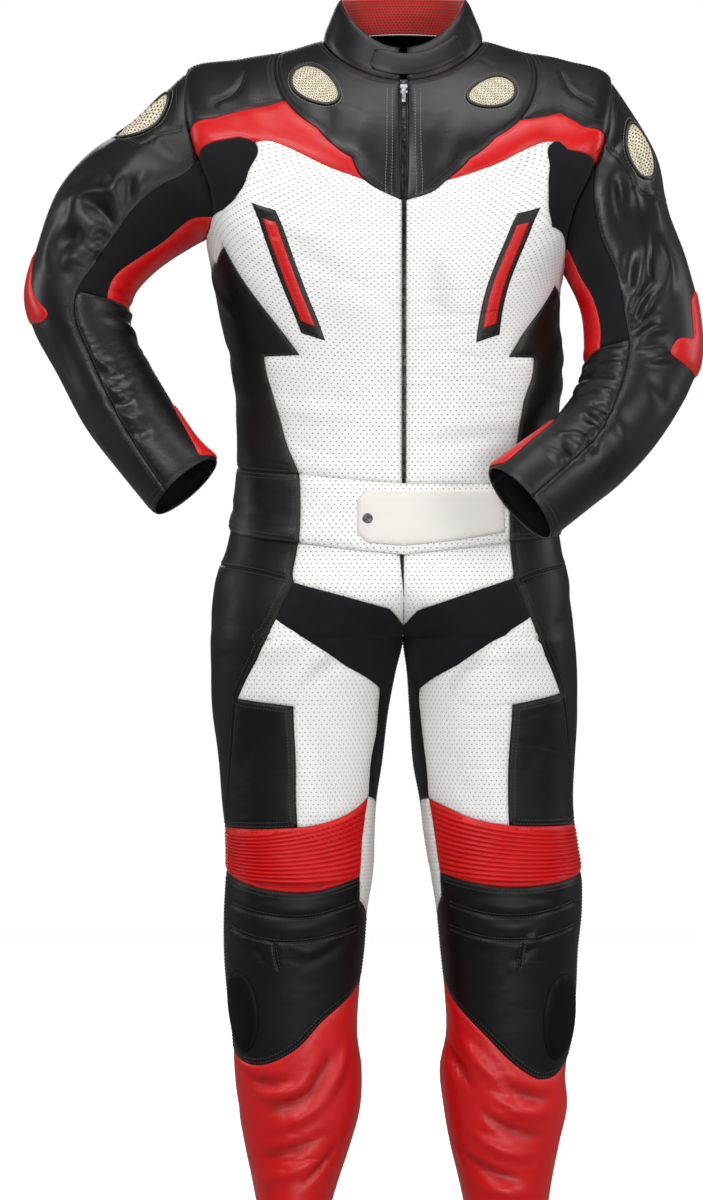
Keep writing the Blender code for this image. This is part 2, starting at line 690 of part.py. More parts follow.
class Pattern:
    """The named corners of one skin, and the panels cut between them."""

    def __init__(self, skin):
        self.skin = skin
        self.corners = {}

    def mark(self, name, u, v):
        self.corners[name] = (u, v)

    def near(self, name, beside):
        """A corner's flat place on the turn of the skin that is nearest another place."""
        place = self.skin.flat(*self.corners[name])
        if self.skin.period and beside is not None:
            width = self.skin.period * self.skin.round_scale
            place.x += width * round((beside.x - place.x) / width)
        return place

    def between(self, start, end):
        """Corners that lie on the straight run between two flat places."""
        run = end - start
        found = []
        for name in self.corners:
            place = self.near(name, (start + end) / 2)
            share = (place - start).dot(run) / run.length_squared
            if 1e-4 < share < 1 - 1e-4 and (start + run * share - place).length < 1e-5:
                found.append((share, place))
        return [place for _, place in sorted(found, key=lambda pair: pair[0])]

    def rim(self, names):
        """The flat outline through the named corners, anticlockwise, with its points."""
        places = [self.near(names[0], None)]
        for name in names[1:]:
            places.append(self.near(name, places[-1]))
        outline = []
        for index, start in enumerate(places):
            end = places[(index + 1) % len(places)]
            pair = (names[index], names[(index + 1) % len(names)])
            whole = any(all(n.startswith(group) for n in pair) for group in UNSPLIT)
            stops = [start] + self.between(start, end) + [end]
            for first, second in zip(stops, stops[1:]):
                count = 1 if whole else max(1, round((second - first).length / EDGE_STEP))
                outline += [first.lerp(second, i / count) for i in range(count)]
        return anticlockwise(outline)

    def panel(self, name, finish, names, patches=(), grid=TRIANGLE, ribs=None, spots=()):
        """A panel and the patches that lie on it, as walls."""
        rim = self.rim(names)
        loops = [anticlockwise(patch["loop"]) for patch in patches]
        net = inner_points(self.skin, rim, loops, grid)
        back = None
        if ribs:
            back = triangulate(rim, loops, net)
            net = [spot for spot in spots
                   if inside(spot, rim) and clear_of(spot, [rim], RIB_MARGIN)]
        points, faces = triangulate(rim, loops, net)
        wall(name, self.skin, points, faces, 0.0, -LEATHER, finish, SEAM_GAP / 2, ribs, back)
        for patch, loop in zip(patches, loops):
            covered = [face for face in faces
                       if inside(sum((points[i] for i in face), Vector((0, 0))) / 3, loop)]
            low = patch.get("low", SEAM_GAP)
            wall(patch["name"], self.skin, points, covered, low + patch.get("wall", OVERLAY),
                 low, patch["finish"], 0.0, patch.get("ribs"))
        return points, faces


def anticlockwise(loop):
    """The loop turned to run anticlockwise."""
    area = sum(a.x * b.y - b.x * a.y for a, b in zip(loop, loop[1:] + loop[:1]))
    return loop if area > 0 else list(reversed(loop))


# --- corners: places in the front view, right side then left side ------------
CORNER_COLUMNS = ("name", "x_R", "z_R", "x_L", "z_L")
TORSO_CORNERS = (
    ("yoke_point", -0.0026, -0.188, 0.0026, -0.188),
    ("yoke_bend", -0.038, -0.171, 0.034, -0.178),
    ("chevron_tip", -0.049, -0.163, 0.053, -0.163),
    ("chevron_rise", -0.065, -0.134, 0.082, -0.135),
    ("chevron_peak", -0.149, -0.058, 0.146, -0.084),
    ("chevron_slope", -0.107, -0.096, 0.114, -0.108),
    ("chevron_shoulder", -0.206, -0.071, 0.196, -0.074),
    ("chevron_fall", -0.236, -0.080, 0.226, -0.092),
    ("chevron_low", -0.066, -0.156, 0.105, -0.146),
    ("chevron_bend", -0.168, -0.111, 0.172, -0.113),
    ("stretch_top", -0.186, -0.113, 0.188, -0.112),
    ("stretch_peak", -0.206, -0.106, 0.205, -0.122),
    ("stretch_in", -0.196, -0.156, 0.182, -0.150),
    ("stretch_low", -0.211, -0.184, 0.181, -0.188),
    ("stretch_foot", -0.227, -0.198, 0.186, -0.220),
    ("side_notch", -0.236, -0.262, 0.197, -0.298),
    ("side_tip", -0.226, -0.243, 0.191, -0.290),
    ("side_bend", -0.131, -0.380, 0.132, -0.382),
    ("side_step", -0.176, -0.381, 0.164, -0.382),
    ("side_fall", -0.173, -0.401, 0.162, -0.406),
    ("side_slope", -0.159, -0.447, 0.152, -0.435),
    ("side_low", -0.147, -0.491, 0.143, -0.489),
    ("waist_in", -0.131, -0.528, 0.136, -0.540),
    ("waist_zip", -0.0026, -0.540, 0.0026, -0.540),
    ("hem_in", -0.131, -0.615, 0.133, -0.613),
)
# Corners at a fixed turn of the torso: name, turn on each side, height on each side.
TURN_COLUMNS = ("name", "u", "z_R", "z_L")
TORSO_TURNS = (
    ("side_seam", 0.50, -0.275, -0.305),
    ("waist_side", 0.50, -0.517, -0.535),
    ("waist_back", 0.62, -0.518, -0.530),
    ("hem_side", 0.50, -0.593, -0.600),
)
WAIST_MIDDLE, HEM_BACK, HEM_FRONT = -0.522, -0.600, -0.629
SHOULDER_SEAM_RUN = 0.060
NECK_STEPS = 12
NECK_ZIP_TURN = 0.014

LEG_CORNERS = (
    ("fly_top", -0.007, -0.609, 0.007, -0.609),
    ("top_in", -0.131, -0.595, 0.133, -0.593),
    ("groin_out", -0.137, -0.664, 0.137, -0.658),
    ("groin_in", -0.017, -0.698, 0.017, -0.700),
    ("thigh_out", -0.160, -0.710, 0.159, -0.707),
    ("thigh_rim", -0.184, -0.760, 0.178, -0.755),
    ("groin_rise", -0.116, -0.739, 0.112, -0.737),
    ("groin_fall", -0.072, -0.769, 0.066, -0.768),
    ("thigh_in", -0.028, -0.798, 0.019, -0.798),
    ("thigh_edge", -0.031, -0.840, 0.021, -0.840),
    ("thigh_low", -0.040, -0.890, 0.028, -0.895),
    ("knee_in", -0.043, -0.934, 0.031, -0.936),
    ("knee_rise", -0.064, -0.952, 0.053, -0.946),
    ("knee_top", -0.097, -0.965, 0.083, -0.959),
    ("knee_out", -0.133, -0.971, 0.132, -0.968),
    ("thigh_step", -0.138, -0.819, 0.136, -0.817),
    ("thigh_side", -0.209, -0.810, 0.198, -0.803),
    ("rib_in", -0.051, -0.990, 0.039, -0.985),
    ("rib_foot", -0.054, -1.035, 0.045, -1.030),
    ("rib_low", -0.128, -1.053, 0.131, -1.046),
    ("strip_foot", -0.054, -1.065, 0.047, -1.060),
    ("shin_rise", -0.097, -1.212, 0.083, -1.215),
    ("shin_bend", -0.135, -1.251, 0.147, -1.276),
    ("shin_low", -0.180, -1.272, 0.173, -1.290),
)
LEG_TURNS = (
    ("top_side", 0.5, -0.573, -0.580),
    ("top_back", 1.0, -0.580, -0.580),
    ("top_front", 0.0, -0.609, -0.609),
    ("knee_side", 0.5, -0.974, -0.969),
    ("knee_foot", 0.5, -1.027, -1.029),
    ("shin_side", 0.5, -1.257, -1.267),
    ("ankle_side", 0.5, -1.462, -1.462),
)
RISE = (-0.683, -0.704, -0.720, -0.730, CROTCH)     # corners down the crotch curve
INSEAM = (-0.794, -0.940, -1.030, -1.085, -1.163, -1.462)

# Sleeve seams as turns at each ring, from the armhole: front seam, stripe seam, back edges.
SLEEVE_SEAMS = {
    "R": {"front": (0.18, 0.262, 0.270, 0.285, 0.275, 0.250, 0.225, 0.215, 0.205, 0.190, 0.180),
          "stripe": (0.315, 0.375, 0.391, 0.380, 0.350, 0.350)},
    "L": {"front": (0.18, 0.262, 0.270, 0.283, 0.292, 0.290, 0.285, 0.278, 0.257, 0.246, 0.240),
          "stripe": (0.36, 0.385, 0.384, 0.380, 0.376, 0.385)},
}
STRIPE_BACK = 0.56
FOREARM_BACK = 0.62
ELBOW_RING = 5
CUFF_RING = 10


def oval(skin, centre, half_round, half_down, turn=0.0):
    """A loop of flat places round a centre (u, v)."""
    middle = skin.flat(*centre)
    tilt = math.radians(turn)
    loop = []
    for step in range(OVAL_POINTS):
        angle = math.tau * step / OVAL_POINTS
        across, down = half_round * math.cos(angle), half_down * math.sin(angle)
        loop.append(middle + Vector((across * math.cos(tilt) - down * math.sin(tilt),
                                     across * math.sin(tilt) + down * math.cos(tilt))))
    return loop


def height_at(skin, u, z):
    """The run v at which the skin's turn u has the height z."""
    low, high = 0.0, 1.5
    for _ in range(40):
        middle = (low + high) / 2
        if skin.base(u, middle).z > z:
            low = middle
        else:
            high = middle
    return (low + high) / 2


def join_skins(torso, sleeves, collar):
    """Gives the skins that meet at the neck and armholes one normal along the join."""
    for side, sleeve in sleeves.items():
        for turn in ARMHOLE_TURNS:
            u, v = torso.armhole(side, turn)
            normal = (torso.normal(u, v) + sleeve.normal(turn, 0.0)).normalized()
            torso.joins[join_key(torso, u, v)] = normal
            sleeve.joins[join_key(sleeve, turn, 0.0)] = normal
    for u in neck_turns().values():
        normal = (torso.normal(u, 0.001) + collar.normal(u, 0.0)).normalized()
        torso.joins[join_key(torso, u, 0.0)] = normal
        collar.joins[join_key(collar, u, 0.0)] = normal


def neck_turns():
    """Names and turns of the corners round the neck, from the right of the zip to its left."""
    turns = {"neck_zip_R": -NECK_ZIP_TURN}
    for step in range(1, 2 * NECK_STEPS):
        turns["neck%02d" % step] = -step / NECK_STEPS
    turns["neck_zip_L"] = NECK_ZIP_TURN
    return turns


def hole(side, turn):
    return "hole%03d_%s" % (round(turn * 1000), side)


def holes(side, start, end):
    """Armhole corners from one turn to another, forwards or backwards."""
    turns = [turn for turn in ARMHOLE_TURNS if min(start, end) <= turn <= max(start, end)]
    return [hole(side, turn) for turn in (turns if start < end else reversed(turns))]


# --- torso ------------------------------------------------------------------
def mark_torso(pattern):
    """Places every corner of the torso."""
    torso = pattern.skin
    for name, u in neck_turns().items():
        pattern.mark(name, u, 0.0)
    for side, sign in SIDES.items():
        for turn in ARMHOLE_TURNS:
            pattern.mark(hole(side, turn), *torso.armhole(side, turn))
        pattern.mark("shoulder_seam_" + side, sign * 0.5, SHOULDER_SEAM_RUN)
        for row in named_rows(CORNER_COLUMNS, TORSO_CORNERS):
            spot = torso.locate(row["x_" + side], row["z_" + side], FRONTS[side], BODY_RUNS)
            pattern.mark(row["name"] + "_" + side, *spot)
        for row in named_rows(TURN_COLUMNS, TORSO_TURNS):
            u = sign * row["u"]
            pattern.mark(row["name"] + "_" + side, u, height_at(torso, u, row["z_" + side]))
    pattern.mark("waist_middle", 1.0, height_at(torso, 1.0, WAIST_MIDDLE))
    pattern.mark("hem_back", 1.0, height_at(torso, 1.0, HEM_BACK))
    pattern.mark("hem_front", 0.0, height_at(torso, 0.0, HEM_FRONT))


def sided(side, *names):
    return [name + "_" + side for name in names]


def front_patch(torso, name, finish, corners, turns, runs):
    """A patch whose corners are places in the front view."""
    loop = [torso.flat(*torso.locate(x, z, turns, runs)) for x, z in corners]
    return {"name": name, "finish": finish, "loop": loop}


BARS = {"R": ((-0.190, -0.190), (-0.160, -0.200), (-0.098, -0.362), (-0.128, -0.352)),
        "L": ((0.170, -0.196), (0.141, -0.204), (0.090, -0.364), (0.119, -0.354))}
# Chest vents in the front view: centre, half length, half width and tilt.
VENTS = {"R": (-0.110, -0.040, 0.0340, 0.0220, -35), "L": (0.110, -0.049, 0.0310, 0.0195, 15)}
STRAP = ((-0.058, -0.562), (-0.048, -0.549), (0.126, -0.550), (0.126, -0.601),
         (0.060, -0.612), (0.000, -0.618), (-0.046, -0.614), (-0.058, -0.602))


def view_oval(x, z, half_long, half_wide, tilt):
    """Places of an oval in the front view."""
    long = Vector((math.cos(math.radians(tilt)), math.sin(math.radians(tilt))))
    wide = Vector((-long.y, long.x))
    angles = [math.tau * step / OVAL_POINTS for step in range(OVAL_POINTS)]
    return [Vector((x, z)) + long * (half_long * math.cos(angle))
            + wide * (half_wide * math.sin(angle)) for angle in angles]


def build_torso(pattern):
    """Yokes, shoulders, chevrons, chest, sides, back, waistband and zip tape."""
    torso = pattern.skin
    neck = {"R": ["neck_zip_R"] + ["neck%02d" % k for k in range(1, 7)],
            "L": ["neck_zip_L"] + ["neck%02d" % k for k in range(23, 17, -1)]}
    for side in SIDES:
        foot = SLEEVE_SEAMS[side]["stripe"][0]
        vent = front_patch(torso, "chest_vent_" + side, "vent_mesh",
                           view_oval(*VENTS[side]), FRONTS[side], YOKE_RUNS)
        chevron_top = sided(side, "chevron_fall", "chevron_shoulder", "chevron_peak",
                            "chevron_slope", "chevron_rise", "chevron_tip")
        yoke_edge = chevron_top[2:] + sided(side, "yoke_bend", "yoke_point")
        pattern.panel("yoke_" + side, "black_leather",
                      neck[side] + ["shoulder_seam_" + side] + yoke_edge, [vent])
        pattern.panel("shoulder_" + side, "black_leather",
                      ["shoulder_seam_" + side] + holes(side, 0.0, 0.14)
                      + chevron_top[:3])
        pattern.panel("chevron_" + side, "red_leather",
                      holes(side, 0.14, 0.18)
                      + sided(side, "stretch_peak", "stretch_top", "chevron_bend",
                              "chevron_low") + chevron_top[::-1])
        pattern.panel("chest_stretch_" + side, "black_stretch",
                      holes(side, SLEEVE_SEAMS[side]["front"][0], foot)
                      + sided(side, "stretch_foot", "stretch_low", "stretch_in",
                              "stretch_top", "stretch_peak"))
        bar = front_patch(torso, "bar_" + side, "black_leather", BARS[side], FRONTS[side],
                          BODY_RUNS)
        side_edge = sided(side, "side_notch", "side_tip", "side_bend", "side_step",
                          "side_fall", "side_slope", "side_low", "waist_in")
        pattern.panel("chest_" + side, "white_leather",
                      holes(side, foot, 0.50) + sided(side, "side_seam") + side_edge
                      + sided(side, "waist_zip", "yoke_point", "yoke_bend", "chevron_tip",
                              "chevron_low", "chevron_bend", "stretch_top", "stretch_in",
                              "stretch_low", "stretch_foot"), [bar])
        pattern.panel("side_" + side, "black_leather",
                      holes(side, 0.50, 0.60) + sided(side, "waist_back", "waist_side")
                      + side_edge[::-1] + sided(side, "side_seam"))
    back_neck = ["neck%02d" % k for k in range(6, 19)]
    pattern.panel("back", "black_leather",
                  holes("R", 0.60, 0.95) + [hole("R", 0.0), "shoulder_seam_R"] + back_neck
                  + ["shoulder_seam_L", hole("L", 0.0)] + holes("L", 0.95, 0.60)
                  + ["waist_back_L", "waist_middle", "waist_back_R"])
    strap = front_patch(torso, "belt_strap", "white_leather", STRAP, FRONTS["both"],
                        BAND_RUNS)
    pattern.panel("band_front", "white_leather",
                  ["waist_in_R", "waist_zip_R", "waist_zip_L", "waist_in_L", "hem_in_L",
                   "hem_front", "hem_in_R"], [strap])
    pattern.panel("band_back", "black_leather",
                  ["waist_in_L", "waist_side_L", "waist_back_L", "waist_middle",
                   "waist_back_R", "waist_side_R", "waist_in_R", "hem_in_R", "hem_side_R",
                   "hem_back", "hem_side_L", "hem_in_L"])
    pattern.panel("zip_tape", "zip_tape",
                  ["neck_zip_R", "neck_zip_L", "yoke_point_L", "waist_zip_L", "waist_zip_R",
                   "yoke_point_R"])


# --- collar -----------------------------------------------------------------
TAB = ((-0.145, 0.014), (-0.128, 0.007), (0.280, 0.007), (0.280, 0.035), (-0.090, 0.041),
       (-0.135, 0.036))
TAB_LIFT = 0.0011
RIM_ZIP_TURN = 0.020
COLLAR_GRID = 0.026        # spacing of the points inside the collar and its tab
TAB_GRID = 0.022
TAB_EDGE_STEP = 0.020
LINING_MARGIN = 0.0008     # the lining stops this far inside the collar's edges


def build_collar(skin):
    """The standing collar, its lining and the tab that closes it."""
    pattern = Pattern(skin)
    rim = []
    for name, u in neck_turns().items():
        pattern.mark(name, u, 0.0)
        rim.append(name.replace("neck", "rim"))
        end = math.copysign(RIM_ZIP_TURN, u)
        pattern.mark(rim[-1], end if "zip" in name else u, COLLAR_RUN)
    points, faces = pattern.panel("collar", "black_leather",
                                  list(neck_turns()) + rim[::-1], grid=COLLAR_GRID)
    low = -LEATHER - SEAM_GAP
    wall("collar_lining", skin, points, faces, low, low - LINING, "red_lining",
         LINING_MARGIN)
    loop = anticlockwise([skin.flat(*spot) for spot in TAB])
    edge = []
    for start, end in zip(loop, loop[1:] + loop[:1]):
        count = max(1, round((end - start).length / TAB_EDGE_STEP))
        edge += [start.lerp(end, i / count) for i in range(count)]
    points, faces = triangulate(edge, [], inner_points(skin, edge, [], TAB_GRID))
    wall("collar_tab", skin, points, faces, TAB_LIFT + LEATHER, TAB_LIFT, "black_leather")


# --- sleeves ----------------------------------------------------------------
ELBOW_PATCH = {
    "R": ((0.00, 0.203), (0.055, 0.225), (0.085, 0.250), (0.115, 0.270), (0.140, 0.288),
          (0.115, 0.298), (0.05, 0.296), (-0.04, 0.285), (-0.10, 0.260), (-0.10, 0.230),
          (-0.05, 0.210)),
    "L": ((0.02, 0.180), (0.070, 0.195), (0.085, 0.220), (0.090, 0.238), (0.150, 0.246),
          (0.165, 0.268), (0.05, 0.274), (-0.05, 0.262), (-0.10, 0.235), (-0.09, 0.200),
          (-0.03, 0.182)),
}
CUFF_PATCH = {
    "R": ((0.455, 0.405), (0.50, 0.418), (0.545, 0.445), (0.560, 0.492), (0.385, 0.492),
          (0.400, 0.470), (0.430, 0.440)),
    "L": ((0.455, 0.400), (0.50, 0.410), (0.545, 0.440), (0.555, 0.492), (0.420, 0.492),
          (0.430, 0.450)),
}
SLEEVE_VENTS = {"R": ((0.05, 0.042), 0.024, 0.026), "L": ((0.075, 0.052), 0.022, 0.026)}


def ring_mark(pattern, name, ring, turn):
    """Marks a corner of a sleeve at a ring and gives its name."""
    full = "%s%02d" % (name, ring)
    pattern.mark(full, turn, ring * RING_STEP)
    return full


def sleeve_patch(skin, name, corners):
    """A red patch with its corners at places (u, v) of a sleeve."""
    return {"name": name, "finish": "red_leather",
            "loop": [Vector(skin.flat(u, v)) for u, v in corners]}


def build_sleeve(skin):
    """Leather sleeve, stretch panel, underarm stripe, inner forearm and their patches."""
    side = skin.side
    pattern = Pattern(skin)
    for turn in ARMHOLE_TURNS:
        pattern.mark(hole(side, turn), turn, 0.0)
    seams = SLEEVE_SEAMS[side]
    front = [ring_mark(pattern, "front", ring, seams["front"][ring])
             for ring in range(1, CUFF_RING + 1)]
    stripe = [ring_mark(pattern, "stripe", ring, seams["stripe"][ring])
              for ring in range(1, ELBOW_RING + 1)]
    rear = [ring_mark(pattern, "rear", ring, STRIPE_BACK)
            for ring in range(1, ELBOW_RING + 1)]
    under = [ring_mark(pattern, "under", ring, FOREARM_BACK)
             for ring in range(ELBOW_RING, CUFF_RING + 1)]
    pattern.mark("cuff_back", 0.9, CUFF_RING * RING_STEP)
    elbow_patch = sleeve_patch(skin, "elbow_patch_" + side, ELBOW_PATCH[side])
    cuff_patch = sleeve_patch(skin, "cuff_patch_" + side, CUFF_PATCH[side])
    vent = {"name": "sleeve_vent_" + side, "finish": "vent_mesh",
            "loop": oval(skin, *SLEEVE_VENTS[side])}
    around = holes(side, seams["front"][0], 0.0) + holes(side, 0.95, 0.55)
    pattern.panel("sleeve_" + side, "black_leather",
                  around + rear + under + ["cuff_back"] + front[::-1],
                  [elbow_patch, vent])
    elbow = ELBOW_RING - 1
    pattern.panel("sleeve_stretch_" + side, "black_stretch",
                  holes(side, seams["front"][0], seams["stripe"][0]) + stripe
                  + front[elbow::-1])
    pattern.panel("sleeve_stripe_" + side, "red_leather",
                  holes(side, seams["stripe"][0], 0.55) + rear + stripe[::-1])
    pattern.panel("forearm_" + side, "black_leather",
                  [front[elbow], stripe[-1], rear[-1]] + under + front[:elbow:-1],
                  [cuff_patch])


# --- trousers ---------------------------------------------------------------
PAD = {"R": (0.400, 1.205, 0.036, 0.052), "L": (0.395, 1.212, 0.038, 0.055)}
PAD_WALL = 0.0040
RIB_BOW = 0.010


def rib_place(pattern, across, down):
    """A flat place on the accordion: across from its inner to its outer edge, down its ribs."""
    side = pattern.skin.side
    top_in, top_out = pattern.corners["knee_in"], pattern.corners["knee_side"]
    low_in, low_out = pattern.corners["rib_foot"], pattern.corners["knee_foot"]
    middle = pattern.corners["knee_top"][1]
    inner = Vector(top_in).lerp(Vector(low_in), down)
    outer = Vector(top_out).lerp(Vector(low_out), down)
    spot = inner.lerp(outer, across)
    bow = 4 * across * (1 - across)
    spot.y += bow * (RIB_BOW + (1 - down) * (middle - (top_in[1] + top_out[1]) / 2))
    return pattern.skin.flat(spot.x, spot.y)


def rib_net(pattern):
    """Points on the crest and in the valley of each rib, with a height for each."""
    heights = {}
    spots = []
    rows = 2 * RIBS
    for row in range(rows + 1):
        for column in range(RIB_COLUMNS + 1):
            spot = rib_place(pattern, (column + 0.5) / (RIB_COLUMNS + 1), row / rows)
            spots.append(spot)
            heights[flat_key(spot)] = RIB_HEIGHT * (row % 2)
    return spots, heights


def build_leg(skin):
    """Front, groin, thigh, knee and shin panels of one leg."""
    side = skin.side
    pattern = Pattern(skin)
    for row in named_rows(CORNER_COLUMNS, LEG_CORNERS):
        z = row["z_" + side]
        pattern.mark(row["name"], *skin.locate(row["x_" + side], z, (0.0, 0.5), (-z, -z)))
    for row in named_rows(TURN_COLUMNS, LEG_TURNS):
        pattern.mark(row["name"], row["u"], -row["z_" + side])
    for end, u in (("front", 0.0), ("back", 1.0)):
        for step, z in enumerate(RISE):
            pattern.mark("rise%d_%s" % (step, end), u, -z)
        for step, z in enumerate(INSEAM):
            pattern.mark("inseam%d_%s" % (step, end), u, -z)

    top = ["fly_top"] if side == "R" else ["top_front"]
    pattern.panel("trouser_front_" + side, "white_leather",
                  top + ["top_in", "groin_out", "groin_in", "rise2_front", "rise1_front",
                         "rise0_front"])
    if side == "R":
        pattern.panel("fly", "zip_tape", ["top_front", "fly_top", "rise0_front"])
    thigh_edge = ["groin_rise", "groin_fall", "thigh_in", "thigh_edge", "thigh_low", "knee_in"]
    knee_edge = ["knee_rise", "knee_top", "knee_out"]
    pattern.panel("groin_" + side, "black_stretch",
                  ["groin_out", "thigh_out"] + thigh_edge
                  + ["inseam1_front", "inseam0_front", "rise4_front", "rise3_front",
                     "rise2_front", "groin_in"])
    pattern.panel("thigh_front_" + side, "white_leather",
                  ["thigh_out"] + thigh_edge + knee_edge + ["thigh_step", "thigh_side", "thigh_rim"])
    pattern.panel("thigh_outer_" + side, "black_leather",
                  ["top_in", "top_side", "top_back"] + ["rise%d_back" % k for k in range(5)]
                  + ["inseam0_back", "inseam1_back", "inseam2_back", "knee_foot", "knee_side",
                     "knee_out", "thigh_step", "thigh_side", "thigh_rim", "thigh_out",
                      "groin_out"])
    spots, heights = rib_net(pattern)
    pattern.panel("knee_accordion_" + side, "red_leather",
                  ["knee_in"] + knee_edge + ["knee_side", "knee_foot", "rib_low", "rib_foot",
                                             "rib_in"],
                  ribs=lambda spot: heights.get(flat_key(spot), 0.0), spots=spots)
    pattern.panel("knee_strip_" + side, "white_leather",
                  ["knee_in", "rib_in", "rib_foot", "strip_foot", "inseam3_front",
                   "inseam2_front", "inseam1_front"])
    pad = {"name": "knee_pad_" + side, "finish": "black_stretch", "wall": PAD_WALL,
           "loop": oval(skin, PAD[side][:2], *PAD[side][2:])}
    pattern.panel("knee_" + side, "black_leather",
                  ["rib_foot", "rib_low", "knee_foot", "shin_side", "shin_low", "shin_bend",
                   "shin_rise", "inseam4_front", "inseam3_front", "strip_foot"], [pad])
    pattern.panel("shin_" + side, "red_leather",
                  ["inseam4_front", "shin_rise", "shin_bend", "shin_low", "shin_side",
                   "knee_foot", "inseam2_back", "inseam3_back", "inseam4_back",
                   "inseam5_back", "ankle_side", "inseam5_front"])


# --- hardware ---------------------------------------------------------------
SNAP_PLACE = (-0.045, -0.584)
SNAP_HEIGHT = 0.0026
SLIDER_RUN = 0.018        # middle of the slider below the neck seam
PIN_HEIGHT = 0.0066       # pull tab's axis above the zip
PIN_RADIUS = 0.0005
PIN_PLAY = 0.0003
EYE_END = 0.0015          # the pull tab reaches this far past its axis
LUG = (0.0012, 0.0030)    # thickness and length of the two lugs that carry the pin


def standing(skin, u, v, lift):
    """A frame on a skin: x across, y up along it, z out of it."""
    out = skin.normal(u, v)
    across = (Vector((1, 0, 0)) - out * out.x).normalized()
    up = out.cross(across)
    frame = Matrix((across, up, out)).transposed().to_4x4()
    frame.translation = skin.point(u, v) + out * lift
    return frame


def bar(mesh, size, centre):
    """A block of the given size in a mesh that is being built."""
    made = bmesh.ops.create_cube(mesh, size=1.0)["verts"]
    bmesh.ops.scale(mesh, vec=size, verts=made)
    bmesh.ops.translate(mesh, vec=centre, verts=made)
    return made


def rod(mesh, radius, length, centre, segments=12):
    """A round rod along x in a mesh that is being built."""
    turn = Matrix.Translation(centre) @ Matrix.Rotation(math.pi / 2, 4, "Y")
    bmesh.ops.create_cone(mesh, cap_ends=True, segments=segments, radius1=radius,
                          radius2=radius, depth=length, matrix=turn)


def placed(name, mesh, finish, frame):
    """A solid from a mesh in its own frame."""
    solid = add_solid(name, mesh, finish)
    solid.matrix_world = frame
    return solid


def joined(solid, *others, operation="UNION"):
    """Joins or cuts a solid by others in the same frame, and drops them."""
    for other in others:
        step = solid.modifiers.new(other.name, "BOOLEAN")
        step.operation = operation
        step.object = other
        other.hide_render = True
        other.display_type = "WIRE"
        bpy.data.collections[COLLECTION].objects.unlink(other)
        bpy.data.collections[CUTTERS].objects.link(other)


def build_hardware(torso):
    """The belt's snap, the zip slider with its lugs and pin, and the pull tab."""
    spot = torso.locate(*SNAP_PLACE, FRONTS["R"], BAND_RUNS)
    mesh = bmesh.new()
    bmesh.ops.create_cone(mesh, cap_ends=True, segments=20, radius1=SNAP_RADIUS,
                          radius2=SNAP_RADIUS * 0.8, depth=SNAP_HEIGHT)
    lift = 3 * SEAM_GAP + OVERLAY + SNAP_HEIGHT / 2
    placed("belt_snap", mesh, "dark_metal", standing(torso, *spot, lift))

    width, thick, length = SLIDER
    frame = standing(torso, 0.0, SLIDER_RUN, SEAM_GAP)
    body = bmesh.new()
    bar(body, (width, length, thick - SEAM_GAP), (0, 0, thick / 2))
    slider = placed("zip_slider", body, "dark_metal", frame)
    soft = slider.modifiers.new("Edges", "BEVEL")
    soft.width = 0.0008
    soft.segments = 2
    lugs = bmesh.new()
    lug_height = PIN_HEIGHT - thick / 2
    for sign in (-1, 1):
        bar(lugs, (LUG[0], LUG[1], lug_height),
            (sign * (width / 2 - LUG[0]), 0, PIN_HEIGHT + 2 * PIN_RADIUS - lug_height / 2))
    joined(slider, placed("slider_lugs", lugs, "dark_metal", frame))
    pin = bmesh.new()
    rod(pin, PIN_RADIUS, width - 2 * LUG[0], (0, 0, PIN_HEIGHT))
    joined(slider, placed("slider_pin", pin, "dark_metal", frame))

    hinge = bpy.data.objects.new("pull_hinge", None)
    bpy.data.collections[COLLECTION].objects.link(hinge)
    hinge.matrix_world = frame @ Matrix.Translation((0, 0, PIN_HEIGHT))
    tab = bmesh.new()
    bar(tab, (PULL[0], PULL[2], PULL[1]), (0, EYE_END - PULL[2] / 2, 0))
    pull = placed("zip_pull", tab, "dark_metal", frame)
    pull.matrix_world = Matrix.Identity(4)
    pull.parent = hinge
    eye = bmesh.new()
    rod(eye, PIN_RADIUS + PIN_PLAY, width, (0, 0, 0))
    cutter = placed("pull_eye", eye, "dark_metal", Matrix.Identity(4))
    cutter.parent = hinge
    joined(pull, cutter, operation="DIFFERENCE")


def main():
    for item in list(bpy.data.objects):
        bpy.data.objects.remove(item, do_unlink=True)
    for name in (COLLECTION, CUTTERS):
        bpy.context.scene.collection.children.link(bpy.data.collections.new(name))
    torso = Torso()
    collar = Collar(torso)
    sleeves = {side: Sleeve(side, torso) for side in SIDES}
    join_skins(torso, sleeves, collar)
    pattern = Pattern(torso)
    mark_torso(pattern)
    build_torso(pattern)
    build_collar(collar)
    for sleeve in sleeves.values():
        build_sleeve(sleeve)
    for side in SIDES:
        build_leg(Leg(side))
    build_hardware(torso)


if __name__ == "__main__":
    main()
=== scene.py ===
"""Dresses the motorcycle race suit: every sewn panel, its seams, folds, stitches and fittings.

Each garment part is a skin with a place u round it and v down it. Panels are cut between named
corners of a skin, netted finely, given their folds and rolled seams, and sewn with stitches.
"""

from __future__ import annotations

import logging
import math
import sys
from collections.abc import Callable, Sequence
from dataclasses import dataclass, field
from enum import Enum

import bpy
import numpy as np
from mathutils import Matrix, Vector
from mathutils.geometry import delaunay_2d_cdt


